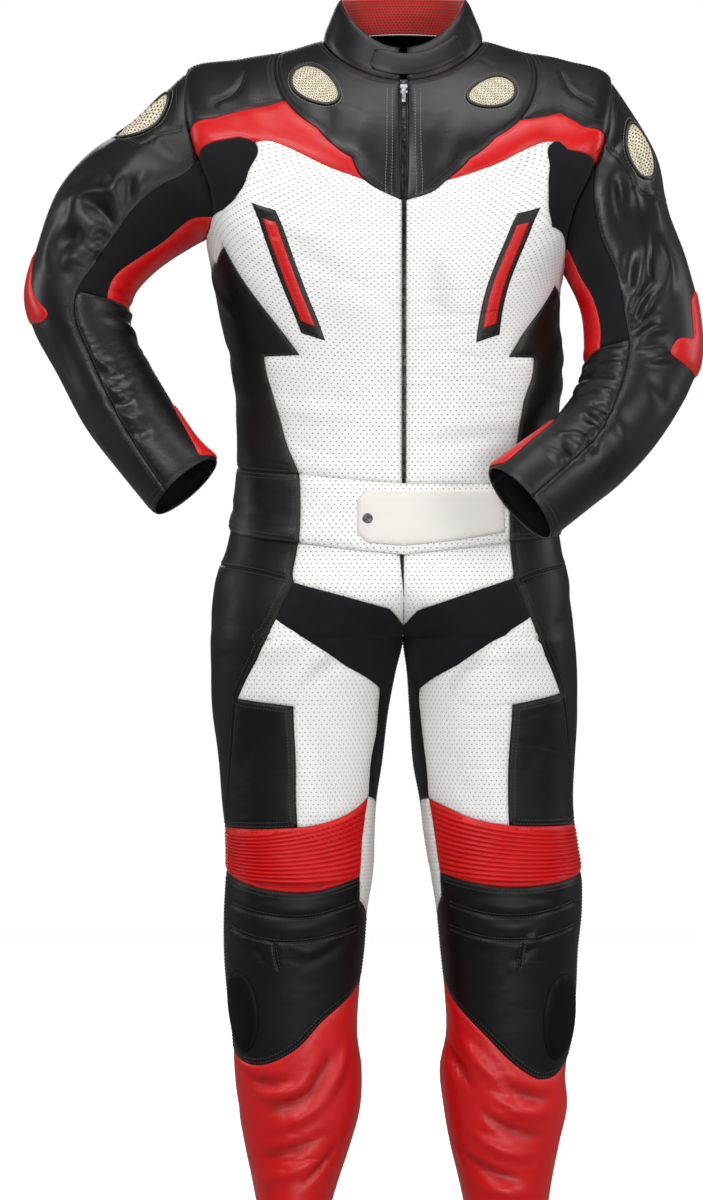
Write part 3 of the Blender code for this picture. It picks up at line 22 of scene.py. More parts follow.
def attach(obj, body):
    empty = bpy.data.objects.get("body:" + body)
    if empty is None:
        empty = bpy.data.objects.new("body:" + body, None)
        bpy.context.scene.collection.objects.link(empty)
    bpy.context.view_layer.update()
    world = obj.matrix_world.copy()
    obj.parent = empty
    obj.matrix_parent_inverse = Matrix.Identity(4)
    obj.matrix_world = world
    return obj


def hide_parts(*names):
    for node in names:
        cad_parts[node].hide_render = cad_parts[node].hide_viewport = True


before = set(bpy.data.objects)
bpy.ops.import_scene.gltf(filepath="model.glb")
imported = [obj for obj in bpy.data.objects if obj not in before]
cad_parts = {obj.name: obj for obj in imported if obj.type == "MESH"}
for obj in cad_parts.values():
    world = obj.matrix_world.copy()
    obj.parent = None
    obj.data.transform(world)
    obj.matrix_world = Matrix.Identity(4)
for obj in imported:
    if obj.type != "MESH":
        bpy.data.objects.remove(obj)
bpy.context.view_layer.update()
LOG = logging.getLogger("race_suit")
BODY = "suit"

Array = np.ndarray
Places = Sequence[Sequence[float]]

# --- driving sizes, in metres ---------------------------------------------------------------
LEATHER = 0.0020          # wall of a panel
OVERLAY = 0.0015          # wall of a patch that is sewn on top
LINING = 0.0010           # wall of the collar lining
SEAM_GAP = 0.0003         # between neighbours
NET = 0.0068              # spacing of the points inside a panel
RIM_STEP = 0.0062         # spacing of the points along a seam
SEAM_DIP = 0.0013         # how deep a sewn edge is drawn in
SEAM_ROLL = 0.0022        # how far from the edge the leather is drawn in
PUFF = 0.0010             # how far a panel stands proud between its seams
PUFF_REACH = 0.011
FOLD_SHADE_DEPTH = 0.0034           # depth of a fold at which its painted shade is full
FOLD_SHADE_TONE = 0.12          # colour left under the full painted shade of a fold, as a share
HOLE_DEPTH = 0.0009         # how deep the perforation looks
INNER_DIP = 0.0014        # how deep a seam inside a panel is drawn in
INNER_ROLL = 0.0013
INNER_RIDGE = 0.0005      # how far the leather stands proud beside it
STITCH_ROW = 0.0030       # first row of stitches from the edge
SECOND_ROW = 0.0078       # second row of a double seam
TUCK = 0.0048             # how far the trousers lie inside the waistband
TUCK_EASE = 0.40          # share of the tuck that is let out at the back centre
TUCK_END, TUCK_RUN = -0.665, 0.045
RISE_TOP, CROTCH = -0.655, -0.734
RING_STEP = 0.050         # run of a sleeve between two rings
ARMHOLE_TOP, ARMHOLE_FOOT, ARMHOLE_SPREAD = 0.180, 0.365, 0.195
COLLAR_RUN = 0.050
SLOPE_STEP = 0.0008       # step of the finite differences that give a surface its normals
INSIDE_EDGES = 1          # the triangulation keeps what lies inside the outline


class Side(Enum):
    """Right and left as the wearer has them."""

    RIGHT = "R"
    LEFT = "L"

    @property
    def sign(self) -> float:
        """Direction of the side along X."""
        return -1.0 if self is Side.RIGHT else 1.0


class Hold(Enum):
    """How a sheet of cloth is held."""

    HUNG = "hung"
    STRETCHED = "stretched"
    GATHERED = "gathered"


class Slot(Enum):
    """Material slots of the record."""

    BLACK = "black_leather"
    WHITE = "white_leather"
    RED = "red_leather"
    STRETCH = "black_stretch"
    LINING = "red_lining"
    MESH = "vent_mesh"
    TAPE = "zip_tape"
    METAL = "dark_metal"


# --- section tables -------------------------------------------------------------------------
# Torso rings: run down the front, widths to each side of x = 0, heights at the sides, front
# and back, depths to the front and back of y = 0, and squareness (1 round, less square).
TORSO_COLUMNS = ("run", "wide_R", "side_R", "wide_L", "side_L", "front_z", "back_z",
                 "front", "back", "square")
TORSO = (
    (0.000, 0.102, 0.024, 0.102, 0.024, -0.032, 0.040, 0.080, 0.070, 1.00),
    (0.055, 0.150, 0.010, 0.150, 0.010, -0.078, 0.018, 0.108, 0.098, 0.90),
    (0.110, 0.205, 0.001, 0.203, 0.000, -0.120, -0.030, 0.126, 0.120, 0.76),
    (0.180, 0.275, -0.016, 0.264, -0.027, -0.170, -0.095, 0.136, 0.132, 0.62),
    (0.270, 0.263, -0.116, 0.236, -0.140, -0.232, -0.180, 0.141, 0.136, 0.60),
    (0.365, 0.249, -0.226, 0.203, -0.270, -0.300, -0.280, 0.138, 0.128, 0.70),
    (0.450, 0.232, -0.326, 0.198, -0.336, -0.355, -0.345, 0.132, 0.116, 0.82),
    (0.500, 0.220, -0.376, 0.203, -0.382, -0.395, -0.388, 0.126, 0.108, 0.85),
    (0.555, 0.212, -0.432, 0.199, -0.436, -0.445, -0.440, 0.120, 0.101, 0.85),
    (0.620, 0.210, -0.500, 0.191, -0.502, -0.508, -0.505, 0.116, 0.099, 0.85),
    (0.680, 0.215, -0.562, 0.194, -0.562, -0.566, -0.564, 0.117, 0.106, 0.85),
    (0.725, 0.225, -0.608, 0.203, -0.608, -0.610, -0.609, 0.120, 0.114, 0.85),
    (0.770, 0.236, -0.654, 0.209, -0.654, -0.655, -0.655, 0.123, 0.122, 0.85),
)
# Legs: outer and inner edge from x = 0, and front and back depth, at each height.
LEG_COLUMNS = ("z", "out_R", "in_R", "out_L", "in_L", "front", "back")
LEGS = (
    (-0.560, 0.2150, 0.0000, 0.1940, 0.0000, 0.117, 0.106),
    (-0.608, 0.2250, 0.0000, 0.2030, 0.0000, 0.120, 0.114),
    (-0.654, 0.2360, 0.0000, 0.2090, 0.0000, 0.123, 0.124),
    (-0.690, 0.2410, 0.0000, 0.2120, 0.0000, 0.124, 0.132),
    (-0.734, 0.2435, 0.0000, 0.2165, 0.0000, 0.121, 0.132),
    (-0.777, 0.2430, 0.0100, 0.2190, 0.0055, 0.114, 0.120),
    (-0.830, 0.2400, 0.0200, 0.2205, 0.0090, 0.106, 0.104),
    (-0.890, 0.2330, 0.0270, 0.2170, 0.0130, 0.100, 0.096),
    (-0.940, 0.2290, 0.0345, 0.2150, 0.0220, 0.097, 0.088),
    (-0.985, 0.2245, 0.0370, 0.2190, 0.0275, 0.095, 0.083),
    (-1.030, 0.2240, 0.0385, 0.2255, 0.0350, 0.093, 0.081),
    (-1.080, 0.2265, 0.0460, 0.2260, 0.0430, 0.088, 0.083),
    (-1.130, 0.2265, 0.0500, 0.2210, 0.0480, 0.082, 0.086),
    (-1.180, 0.2230, 0.0560, 0.2190, 0.0530, 0.076, 0.089),
    (-1.235, 0.2165, 0.0585, 0.2150, 0.0550, 0.070, 0.088),
    (-1.280, 0.2130, 0.0530, 0.2060, 0.0470, 0.065, 0.084),
    (-1.330, 0.2080, 0.0550, 0.2070, 0.0520, 0.062, 0.077),
    (-1.375, 0.2005, 0.0670, 0.1975, 0.0600, 0.059, 0.070),
    (-1.420, 0.1910, 0.0820, 0.1885, 0.0710, 0.057, 0.064),
    (-1.462, 0.1830, 0.0950, 0.1820, 0.0800, 0.056, 0.060),
)
# Sleeve rings from shoulder to cuff: outer and inner edge, centre and half depth in y.
SLEEVE_COLUMNS = ("outer_x", "outer_z", "inner_x", "inner_z", "centre_y", "half_depth")
SLEEVES = {
    "R": (
        (-0.345, -0.084, -0.266, -0.236, -0.003, 0.087),
        (-0.397, -0.119, -0.295, -0.254, -0.006, 0.081),
        (-0.438, -0.168, -0.319, -0.273, -0.010, 0.075),
        (-0.464, -0.241, -0.339, -0.296, -0.015, 0.068),
        (-0.477, -0.298, -0.346, -0.320, -0.020, 0.065),
        (-0.466, -0.345, -0.341, -0.350, -0.028, 0.061),
        (-0.436, -0.400, -0.324, -0.384, -0.040, 0.057),
        (-0.400, -0.467, -0.293, -0.436, -0.060, 0.053),
        (-0.357, -0.523, -0.262, -0.482, -0.080, 0.049),
        (-0.312, -0.578, -0.234, -0.509, -0.096, 0.046),
    ),
    "L": (
        (0.316, -0.114, 0.212, -0.286, -0.010, 0.089),
        (0.331, -0.184, 0.222, -0.309, -0.026, 0.082),
        (0.357, -0.257, 0.227, -0.333, -0.043, 0.074),
        (0.371, -0.324, 0.228, -0.362, -0.060, 0.069),
        (0.372, -0.384, 0.226, -0.389, -0.076, 0.066),
        (0.349, -0.437, 0.221, -0.415, -0.095, 0.062),
        (0.314, -0.491, 0.207, -0.437, -0.120, 0.058),
        (0.272, -0.537, 0.182, -0.466, -0.145, 0.054),
        (0.231, -0.570, 0.145, -0.493, -0.168, 0.050),
        (0.180, -0.610, 0.105, -0.522, -0.188, 0.047),
    ),
}
COLLAR_TOP = {"wide": 0.080, "side_z": 0.078, "front_z": 0.010, "back_z": 0.084,
              "front": 0.064, "back": 0.060}


# --- curves and tables ----------------------------------------------------------------------
def smooth(value: Array | float) -> Array:
    """Soft step from 0 to 1."""
    value = np.clip(value, 0.0, 1.0)
    return value * value * (3 - 2 * value)


def hermite(start: Array, start_slope: Array, end: Array, end_slope: Array,
            share: Array, span: Array | float) -> Array:
    """Cubic curve between two rows of values.

    Args:
        start: Values where share is 0.
        start_slope: Slopes there.
        end: Values where share is 1.
        end_slope: Slopes there.
        share: Place between the two, 0 to 1, as a column.
        span: Distance between the two in the slopes' unit.

    Returns:
        The values at the place.
    """
    square, cube = share ** 2, share ** 3
    return ((2 * cube - 3 * square + 1) * start + (cube - 2 * square + share) * span * start_slope
            + (3 * square - 2 * cube) * end + (cube - square) * span * end_slope)


def ring_place(angle: Array, square: Array | float) -> tuple[Array, Array]:
    """Place on a unit ring that is round at square 1 and boxier below it.

    Args:
        angle: Angle from the depth axis, in radians.
        square: Squareness of the ring.

    Returns:
        The shares across and in depth.
    """
    across, depth = np.sin(angle), np.cos(angle)
    power = 2 / np.asarray(square)
    reach = (np.abs(across) ** power + np.abs(depth) ** power) ** (-1 / power)
    return across * reach, depth * reach


class Table:
    """Rows of sizes, read at any place by a smooth curve through them."""

    def __init__(self, columns: Sequence[str], rows: Places) -> None:
        """Keeps the rows and works out the slope at each.

        Args:
            columns: Name of each column, the key first.
            rows: Rows in the order of the key.
        """
        self.columns = columns
        self.rows = np.array(rows, float)
        self.keys = self.rows[:, 0]
        after = np.minimum(np.arange(len(rows)) + 1, len(rows) - 1)
        before = np.maximum(np.arange(len(rows)) - 1, 0)
        span = (self.keys[after] - self.keys[before])[:, None]
        self.slopes = (self.rows[after] - self.rows[before]) / span

    def at(self, key: Array) -> dict[str, Array]:
        """The sizes at each key.

        Args:
            key: Places along the table.

        Returns:
            One array for each column.
        """
        turn = 1.0 if self.keys[-1] > self.keys[0] else -1.0
        index = np.searchsorted(turn * self.keys, turn * key, side="left") - 1
        index = np.clip(index, 0, len(self.keys) - 2)
        span = (self.keys[index + 1] - self.keys[index])[:, None]
        share = np.clip((key - self.keys[index])[:, None] / span, 0.0, 1.0)
        values = hermite(self.rows[index], self.slopes[index], self.rows[index + 1],
                         self.slopes[index + 1], share, span)
        return dict(zip(self.columns, values.T))


@dataclass(frozen=True)
class Crease:
    """A soft trough or ridge laid on a skin."""

    u: float
    v: float
    half_length: float
    half_width: float
    height: float
    turn: float
    bend: float = 0.0

    def height_at(self, across: Array, down: Array) -> Array:
        """Height of the crease.

        Args:
            across: Distance round the skin from the crease's middle.
            down: Distance down the skin from it.

        Returns:
            The height at each place.
        """
        turn = math.radians(self.turn)
        along = across * math.cos(turn) + down * math.sin(turn)
        aside = down * math.cos(turn) - across * math.sin(turn)
        aside = aside - self.bend * (along ** 2) / self.half_length
        reach = np.clip(1.0 - (along / self.half_length) ** 2, 0.0, 1.0)
        width = self.half_width * (0.55 + 0.45 * reach)
        shape = np.exp(-(aside / width) ** 2) - 0.35 * np.exp(-(aside / (2.2 * width)) ** 2)
        return 1.35 * self.height * reach ** 1.5 * shape


# --- skins ----------------------------------------------------------------------------------
class Skin:
    """A surface with a place u round it and v down it, and the creases that lie on it."""

    period: float | None = None
    round_scale = 1.0
    probe = (0.1, 0.5)
    crease_start = 0.030

    def __init__(self, name: str, creases: Sequence[Crease]) -> None:
        """Keeps the creases and finds which way is out.

        Args:
            name: Name of the skin.
            creases: Its creases.
        """
        self.name = name
        self.creases = creases
        self.sign = 1.0
        spot = np.array([self.probe])
        out = self.base(*spot.T) - self.middle(spot[0, 1])
        if (self.raw_normal(*spot.T) * out).sum() < 0:
            self.sign = -1.0

    def base(self, u: Array, v: Array) -> Array:
        """Points of the smooth surface."""
        raise NotImplementedError

    def middle(self, v: float) -> Array:
        """A point inside the skin at the run v."""
        raise NotImplementedError

    def raw_normal(self, u: Array, v: Array) -> Array:
        """Normals of the smooth surface, out of the garment.

        Args:
            u: Places round the skin.
            v: Places down it.

        Returns:
            One unit vector for each place.
        """
        step = SLOPE_STEP
        along_u = self.base(u + step, v) - self.base(u - step, v)
        along_v = self.base(u, v + step) - self.base(u, v - step)
        normal = np.cross(along_u, along_v)
        length = np.maximum(np.linalg.norm(normal, axis=1, keepdims=True), 1e-12)
        return self.sign * normal / length

    def normal(self, u: Array, v: Array) -> Array:
        """Normals with the skin's own rules at its open edges."""
        return self.raw_normal(u, v)

    def crease_share(self, u: Array, v: Array) -> Array:
        """How much of the creases is left near the skin's joins."""
        return smooth(v / self.crease_start)

    def relief(self, u: Array, v: Array) -> Array:
        """Height of all creases.

        Args:
            u: Places round the skin.
            v: Places down it.

        Returns:
            The height at each place.
        """
        height = np.zeros_like(u)
        for crease in self.creases:
            across = u - crease.u
            if self.period:
                across = across - self.period * np.round(across / self.period)
            height += crease.height_at(across * self.round_scale, v - crease.v)
        return height * self.crease_share(u, v)

    def flat(self, u: float, v: float) -> tuple[float, float]:
        """The place in metres on the cutting table."""
        return u * self.round_scale, v

    def surface(self, flats: Array, heights: Array | float = 0.0) -> Array:
        """Points over the skin.

        Args:
            flats: Places on the cutting table.
            heights: Height of each over the creased skin.

        Returns:
            The points.
        """
        u, v = flats[:, 0] / self.round_scale, flats[:, 1]
        lift = self.relief(u, v) + heights
        return self.base(u, v) + self.normal(u, v) * np.reshape(lift, (-1, 1))

    def locate(self, x: float, z: float, turns: Sequence[float],
               runs: Sequence[float]) -> tuple[float, float]:
        """The place whose point has the given x and z.

        Args:
            x: Place across the front or back view.
            z: Height.
            turns: Lowest and highest u to look in.
            runs: Lowest and highest v to look in.

        Returns:
            The place (u, v).
        """
        low, high = np.array([turns[0], runs[0]]), np.array([turns[1], runs[1]])
        steps = 15
        best = (low + high) / 2
        reach = (high - low) / 2
        for _ in range(14):
            shares = np.linspace(-1, 1, steps)
            grid_u, grid_v = np.meshgrid(best[0] + shares * reach[0], best[1] + shares * reach[1])
            u = np.clip(grid_u.ravel(), low[0], high[0])
            v = np.clip(grid_v.ravel(), low[1], high[1])
            points = self.base(u, v)
            nearest = np.argmin((points[:, 0] - x) ** 2 + (points[:, 2] - z) ** 2)
            best = np.array([u[nearest], v[nearest]])
            reach = reach * 0.3
        return float(best[0]), float(best[1])


class Torso(Skin):
    """u: 0 front centre, -0.5 right side, 0.5 left side, 1 back centre. v: run."""

    period = 2.0
    round_scale = 0.50

    def __init__(self, creases: Sequence[Crease]) -> None:
        """Reads the torso's rings."""
        self.table = Table(TORSO_COLUMNS, TORSO)
        super().__init__("torso", creases)

    def middle(self, v: float) -> Array:
        """A point inside the chest."""
        return np.array([0.0, 0.0, self.table.at(np.array([v]))["front_z"][0]])

    def base(self, u: Array, v: Array) -> Array:
        """Points of the smooth torso."""
        row = self.table.at(v)
        across, depth = ring_place(np.pi * u, row["square"])
        right, front = across < 0, depth > 0
        wide = np.where(right, row["wide_R"], row["wide_L"])
        side_z = np.where(right, row["side_R"], row["side_L"])
        deep = np.where(front, row["front"], row["back"])
        face_z = np.where(front, row["front_z"], row["back_z"])
        height = side_z + (face_z - side_z) * np.abs(depth) ** 1.5
        return np.stack([across * wide, -depth * deep, height], axis=1)

    @staticmethod
    def armhole(side: Side, turn: Array | float) -> tuple[Array, Array]:
        """The (u, v) round an armhole: turn 0 shoulder, 0.25 front, 0.5 armpit."""
        middle, half = (ARMHOLE_TOP + ARMHOLE_FOOT) / 2, (ARMHOLE_FOOT - ARMHOLE_TOP) / 2
        angle = 2 * np.pi * np.asarray(turn)
        return (side.sign * (0.5 - ARMHOLE_SPREAD * np.sin(angle)),
                middle - half * np.cos(angle))


class Sleeve(Skin):
    """u: 0 outer edge, 0.25 front, 0.5 inner edge, 0.75 back. v: run from the armhole."""

    period = 1.0
    round_scale = 0.42
    probe = (0.1, 0.2)

    def __init__(self, side: Side, torso: Torso, creases: Sequence[Crease]) -> None:
        """Works out the rings' centres and their outward and forward spokes."""
        self.side = side
        self.torso = torso
        rings = [dict(zip(SLEEVE_COLUMNS, row)) for row in SLEEVES[side.value]]
        top, foot = (torso.surface(self._armhole(np.array([turn])))[0] for turn in (0.0, 0.5))
        centres = [(top + foot) / 2]
        centres += [np.array([(r["outer_x"] + r["inner_x"]) / 2, r["centre_y"],
                              (r["outer_z"] + r["inner_z"]) / 2]) for r in rings]
        self.centres = np.array(centres)
        self.across, self.front = [np.zeros(3)], [np.zeros(3)]
        for number, ring in enumerate(rings, 1):
            centre = self.centres[number]
            across = np.array([ring["outer_x"], centre[1], ring["outer_z"]]) - centre
            along = self.centres[min(number + 1, len(rings))] - self.centres[number - 1]
            front = np.cross(along, across)
            front *= ring["half_depth"] / np.linalg.norm(front)
            self.across.append(across)
            self.front.append(-front if front[1] > 0 else front)
        super().__init__("sleeve_" + side.value, creases)

    def _armhole(self, turn: Array) -> Array:
        """Flat places of the armhole on the torso."""
        u, v = self.torso.armhole(self.side, turn)
        return np.stack([u * self.torso.round_scale, v], axis=1)

    def middle(self, v: float) -> Array:
        """A point inside the sleeve."""
        return self.centres[min(int(v / RING_STEP), len(self.centres) - 1)]

    def base(self, u: Array, v: Array) -> Array:
        """Points of the smooth sleeve."""
        last = len(self.centres) - 1
        angle = 2 * np.pi * u
        rings = [self.torso.surface(self._armhole(u))]
        for number in range(1, last + 1):
            rings.append(self.centres[number] + np.outer(np.cos(angle), self.across[number])
                         + np.outer(np.sin(angle), self.front[number]))
        rings = np.array(rings)
        place = np.clip(v / RING_STEP, 0.0, last - 1e-9)
        number = place.astype(int)
        picked = [rings[np.clip(number + k, 0, last), np.arange(len(u))] for k in (-1, 0, 1, 2)]
        start = (picked[2] - picked[0]) / np.where(number > 0, 2, 1)[:, None]
        end = (picked[3] - picked[1]) / np.where(number < last - 1, 2, 1)[:, None]
        return hermite(picked[1], start, picked[2], end, (place - number)[:, None], 1.0)

    def raw_normal(self, u: Array, v: Array) -> Array:
        """Normals, taken just inside the sleeve's two ends."""
        end = RING_STEP * (len(self.centres) - 1)
        return super().raw_normal(u, np.clip(v, SLOPE_STEP, end - SLOPE_STEP))


class Leg(Skin):
    """u: 0 front centre and inseam, 0.5 outer side, 1 back centre and inseam. v: depth below
    the origin. Above the crotch the ring is open along x = 0, below it the ring closes."""

    round_scale = 0.58
    probe = (0.4, 1.0)

    def __init__(self, side: Side, creases: Sequence[Crease]) -> None:
        """Reads the legs' rings."""
        self.side = side
        self.table = Table(LEG_COLUMNS, LEGS)
        super().__init__("leg_" + side.value, creases)

    def middle(self, v: float) -> Array:
        """A point inside the leg."""
        row = self.table.at(np.array([-v]))
        middle = (row["out_" + self.side.value][0] + row["in_" + self.side.value][0]) / 2
        return np.array([self.side.sign * middle, 0.0, -v])

    def base(self, u: Array, v: Array) -> Array:
        """Points of the smooth leg."""
        z = -v
        row = self.table.at(z)
        tuck = TUCK * (1 - smooth((TUCK_END + TUCK_RUN - z) / TUCK_RUN))
        closing = np.clip((RISE_TOP - z) / (RISE_TOP - CROTCH), 0.0, 1.0)
        square = 0.85 + 0.10 * smooth(closing)
        half_turn = np.arccos(-closing)
        angle = (2 * u - 1) * half_turn
        tuck = tuck * (1 - TUCK_EASE * np.maximum(np.sin(angle), 0.0) ** 10)
        outer = row["out_" + self.side.value] - tuck
        inner = np.where(closing >= 1, np.maximum(row["in_" + self.side.value], 0.0), 0.0)
        half = (outer - inner) / (1 - ring_place(half_turn, square)[1])
        across, out = ring_place(angle, square)
        depth = np.where(angle < 0, row["front"], row["back"])
        x = self.side.sign * (outer - half + half * out)
        return np.stack([x, (depth - tuck) * across, z], axis=1)

    def raw_normal(self, u: Array, v: Array) -> Array:
        """Normals, taken just inside the skin's open edges."""
        return super().raw_normal(np.clip(u, 2 * SLOPE_STEP, 1 - 2 * SLOPE_STEP), v)

    def normal(self, u: Array, v: Array) -> Array:
        """Normals, shared where the two legs meet and where each leg closes."""
        normal = self.raw_normal(u, v)
        edge = (u < 1e-6) | (u > 1 - 1e-6)
        rise = edge & (v <= -CROTCH)
        normal[rise, 0] = 0.0
        seam = edge & (v > -CROTCH)
        if seam.any():
            both = (self.raw_normal(np.zeros(seam.sum()), v[seam])
                    + self.raw_normal(np.ones(seam.sum()), v[seam]))
            normal[seam] = both
        length = np.maximum(np.linalg.norm(normal, axis=1, keepdims=True), 1e-9)
        return normal / length

    def crease_share(self, u: Array, v: Array) -> Array:
        """Creases fade towards the seams where the skin is open."""
        return smooth(u / 0.05) * smooth((1 - u) / 0.05)


class Collar(Skin):
    """u as on the torso, v from the neck seam (0) to the top edge (COLLAR_RUN)."""

    period = 2.0
    round_scale = 0.27
    probe = (0.1, 0.025)

    def __init__(self, torso: Torso, creases: Sequence[Crease]) -> None:
        """Keeps the torso that the collar stands on."""
        self.torso = torso
        super().__init__("collar", creases)

    def middle(self, v: float) -> Array:
        """A point inside the neck."""
        return np.array([0.0, 0.0, 0.03])

    def base(self, u: Array, v: Array) -> Array:
        """Points of the smooth collar."""
        share = (v / COLLAR_RUN)[:, None]
        across, depth = np.sin(np.pi * u), np.cos(np.pi * u)
        front = depth > 0
        deep = np.where(front, COLLAR_TOP["front"], COLLAR_TOP["back"])
        face_z = np.where(front, COLLAR_TOP["front_z"], COLLAR_TOP["back_z"])
        side_z = COLLAR_TOP["side_z"]
        top = np.stack([across * COLLAR_TOP["wide"], -depth * deep,
                        side_z + (face_z - side_z) * np.abs(depth) ** 1.5], axis=1)
        low = self.torso.base(u, np.zeros_like(u))
        return low + (top - low) * share

    def raw_normal(self, u: Array, v: Array) -> Array:
        """Normals, taken just inside the collar's two edges."""
        return super().raw_normal(u, np.clip(v, SLOPE_STEP, COLLAR_RUN - SLOPE_STEP))


# --- cutting table --------------------------------------------------------------------------
def anticlockwise(loop: Array) -> Array:
    """The loop turned to run anticlockwise.

    Args:
        loop: Its places.

    Returns:
        The same places in that order.
    """
    after = np.roll(loop, -1, axis=0)
    area = (loop[:, 0] * after[:, 1] - after[:, 0] * loop[:, 1]).sum()
    return loop if area > 0 else loop[::-1]


def inside(places: Array, loop: Array) -> Array:
    """Whether flat places lie inside a loop.

    Args:
        places: Places to test.
        loop: The loop.

    Returns:
        One truth value for each place.
    """
    found = np.zeros(len(places), bool)
    for (x0, y0), (x1, y1) in zip(loop, np.roll(loop, -1, axis=0)):
        if y0 == y1:
            continue
        crosses = (y0 > places[:, 1]) != (y1 > places[:, 1])
        found ^= crosses & (places[:, 0] < (x1 - x0) * (places[:, 1] - y0) / (y1 - y0) + x0)
    return found


def rim_distance(places: Array, loops: Sequence[Array]) -> Array:
    """Distance of flat places to the nearest edge of the loops.

    Args:
        places: Places to measure.
        loops: Closed loops.

    Returns:
        One distance for each place.
    """
    return line_distance(places, [np.vstack([loop, loop[:1]]) for loop in loops])


def line_distance(places: Array, lines: Sequence[Array]) -> Array:
    """Distance of flat places to the nearest of some open lines.

    Args:
        places: Places to measure.
        lines: The lines.

    Returns:
        One distance for each place.
    """
    best = np.full(len(places), np.inf)
    for line in lines:
        starts, runs = line[:-1], np.diff(line, axis=0)
        lengths = np.maximum((runs ** 2).sum(axis=1), 1e-18)
        for first in range(0, len(places), 4096):
            part = places[first:first + 4096, None] - starts[None]
            share = np.clip((part * runs).sum(axis=2) / lengths, 0.0, 1.0)
            gap = np.linalg.norm(part - share[..., None] * runs, axis=2).min(axis=1)
            best[first:first + 4096] = np.minimum(best[first:first + 4096], gap)
    return best


def shifted(line: Array, aside: float) -> Array:
    """An open line moved to one side by a distance.

    Args:
        line: Its places.
        aside: The distance, to its left if positive.

    Returns:
        The moved places.
    """
    along = np.gradient(line, axis=0)
    along /= np.maximum(np.linalg.norm(along, axis=1, keepdims=True), 1e-12)
    return line + np.stack([-along[:, 1], along[:, 0]], axis=1) * aside


def seam_line(*corners: Sequence[float]) -> Array:
    """A smooth open line through flat places, finely pointed.

    Args:
        *corners: The places that it runs through.

    Returns:
        Its points, about one RIM_STEP apart.
    """
    places = np.array(corners, float)
    reach = np.concatenate([[0.0], np.cumsum(np.linalg.norm(np.diff(places, axis=0), axis=1))])
    table = Table(("reach", "across", "down"), np.column_stack([reach, places]))
    keys = np.linspace(0.0, reach[-1], max(4, round(reach[-1] / RIM_STEP)))
    row = table.at(keys)
    return np.column_stack([row["across"], row["down"]])


def view_seam(skin: Skin, places: Places, turns: Sequence[float],
              runs: Sequence[float]) -> Array:
    """An open line through places of the front view.

    Args:
        skin: The skin.
        places: Its places (x, z).
        turns: Lowest and highest u to look in.
        runs: Lowest and highest v to look in.

    Returns:
        The line on the cutting table.
    """
    return seam_line(*(skin.flat(*skin.locate(x, z, turns, runs)) for x, z in places))


def inset(loop: Array, distance: float) -> list[Array]:
    """Runs of places that lie a distance inside an anticlockwise loop.

    Args:
        loop: The loop, finely pointed.
        distance: How far inside.

    Returns:
        The runs, broken where the loop has no room for them.
    """
    before, after = np.roll(loop, 1, axis=0), np.roll(loop, -1, axis=0)
    along = after - before
    along /= np.maximum(np.linalg.norm(along, axis=1, keepdims=True), 1e-12)
    places = loop + np.stack([-along[:, 1], along[:, 0]], axis=1) * distance
    clear = (rim_distance(places, [loop]) > 0.90 * distance) & inside(places, loop)
    if clear.all():
        return [np.vstack([places, places[:1]])]
    start = int(np.argmin(clear))
    order = np.roll(np.arange(len(loop)), -start)
    runs, run = [], []
    for index in order:
        if clear[index]:
            run.append(places[index])
        elif run:
            runs.append(np.array(run))
            run = []
    if run:
        runs.append(np.array(run))
    return [part for part in runs if len(part) > 2]


def oval(skin: Skin, centre: Sequence[float], half_round: float, half_down: float,
         turn: float = 0.0, point: float = 0.0, count: int = 44) -> Array:
    """A loop of flat places round a centre.

    Args:
        skin: The skin it lies on.
        centre: Its (u, v).
        half_round: Half its size round the skin.
        half_down: Half its size down the skin.
        turn: Its turn in degrees.
        point: How much it narrows towards one end.
        count: Number of places.

    Returns:
        The loop.
    """
    angle = 2 * np.pi * np.arange(count) / count
    across = half_round * np.cos(angle) * (1 - point * np.sin(angle))
    down = half_down * np.sin(angle)
    tilt = math.radians(turn)
    middle = skin.flat(*centre)
    return np.stack([middle[0] + across * math.cos(tilt) - down * math.sin(tilt),
                     middle[1] + across * math.sin(tilt) + down * math.cos(tilt)], axis=1)


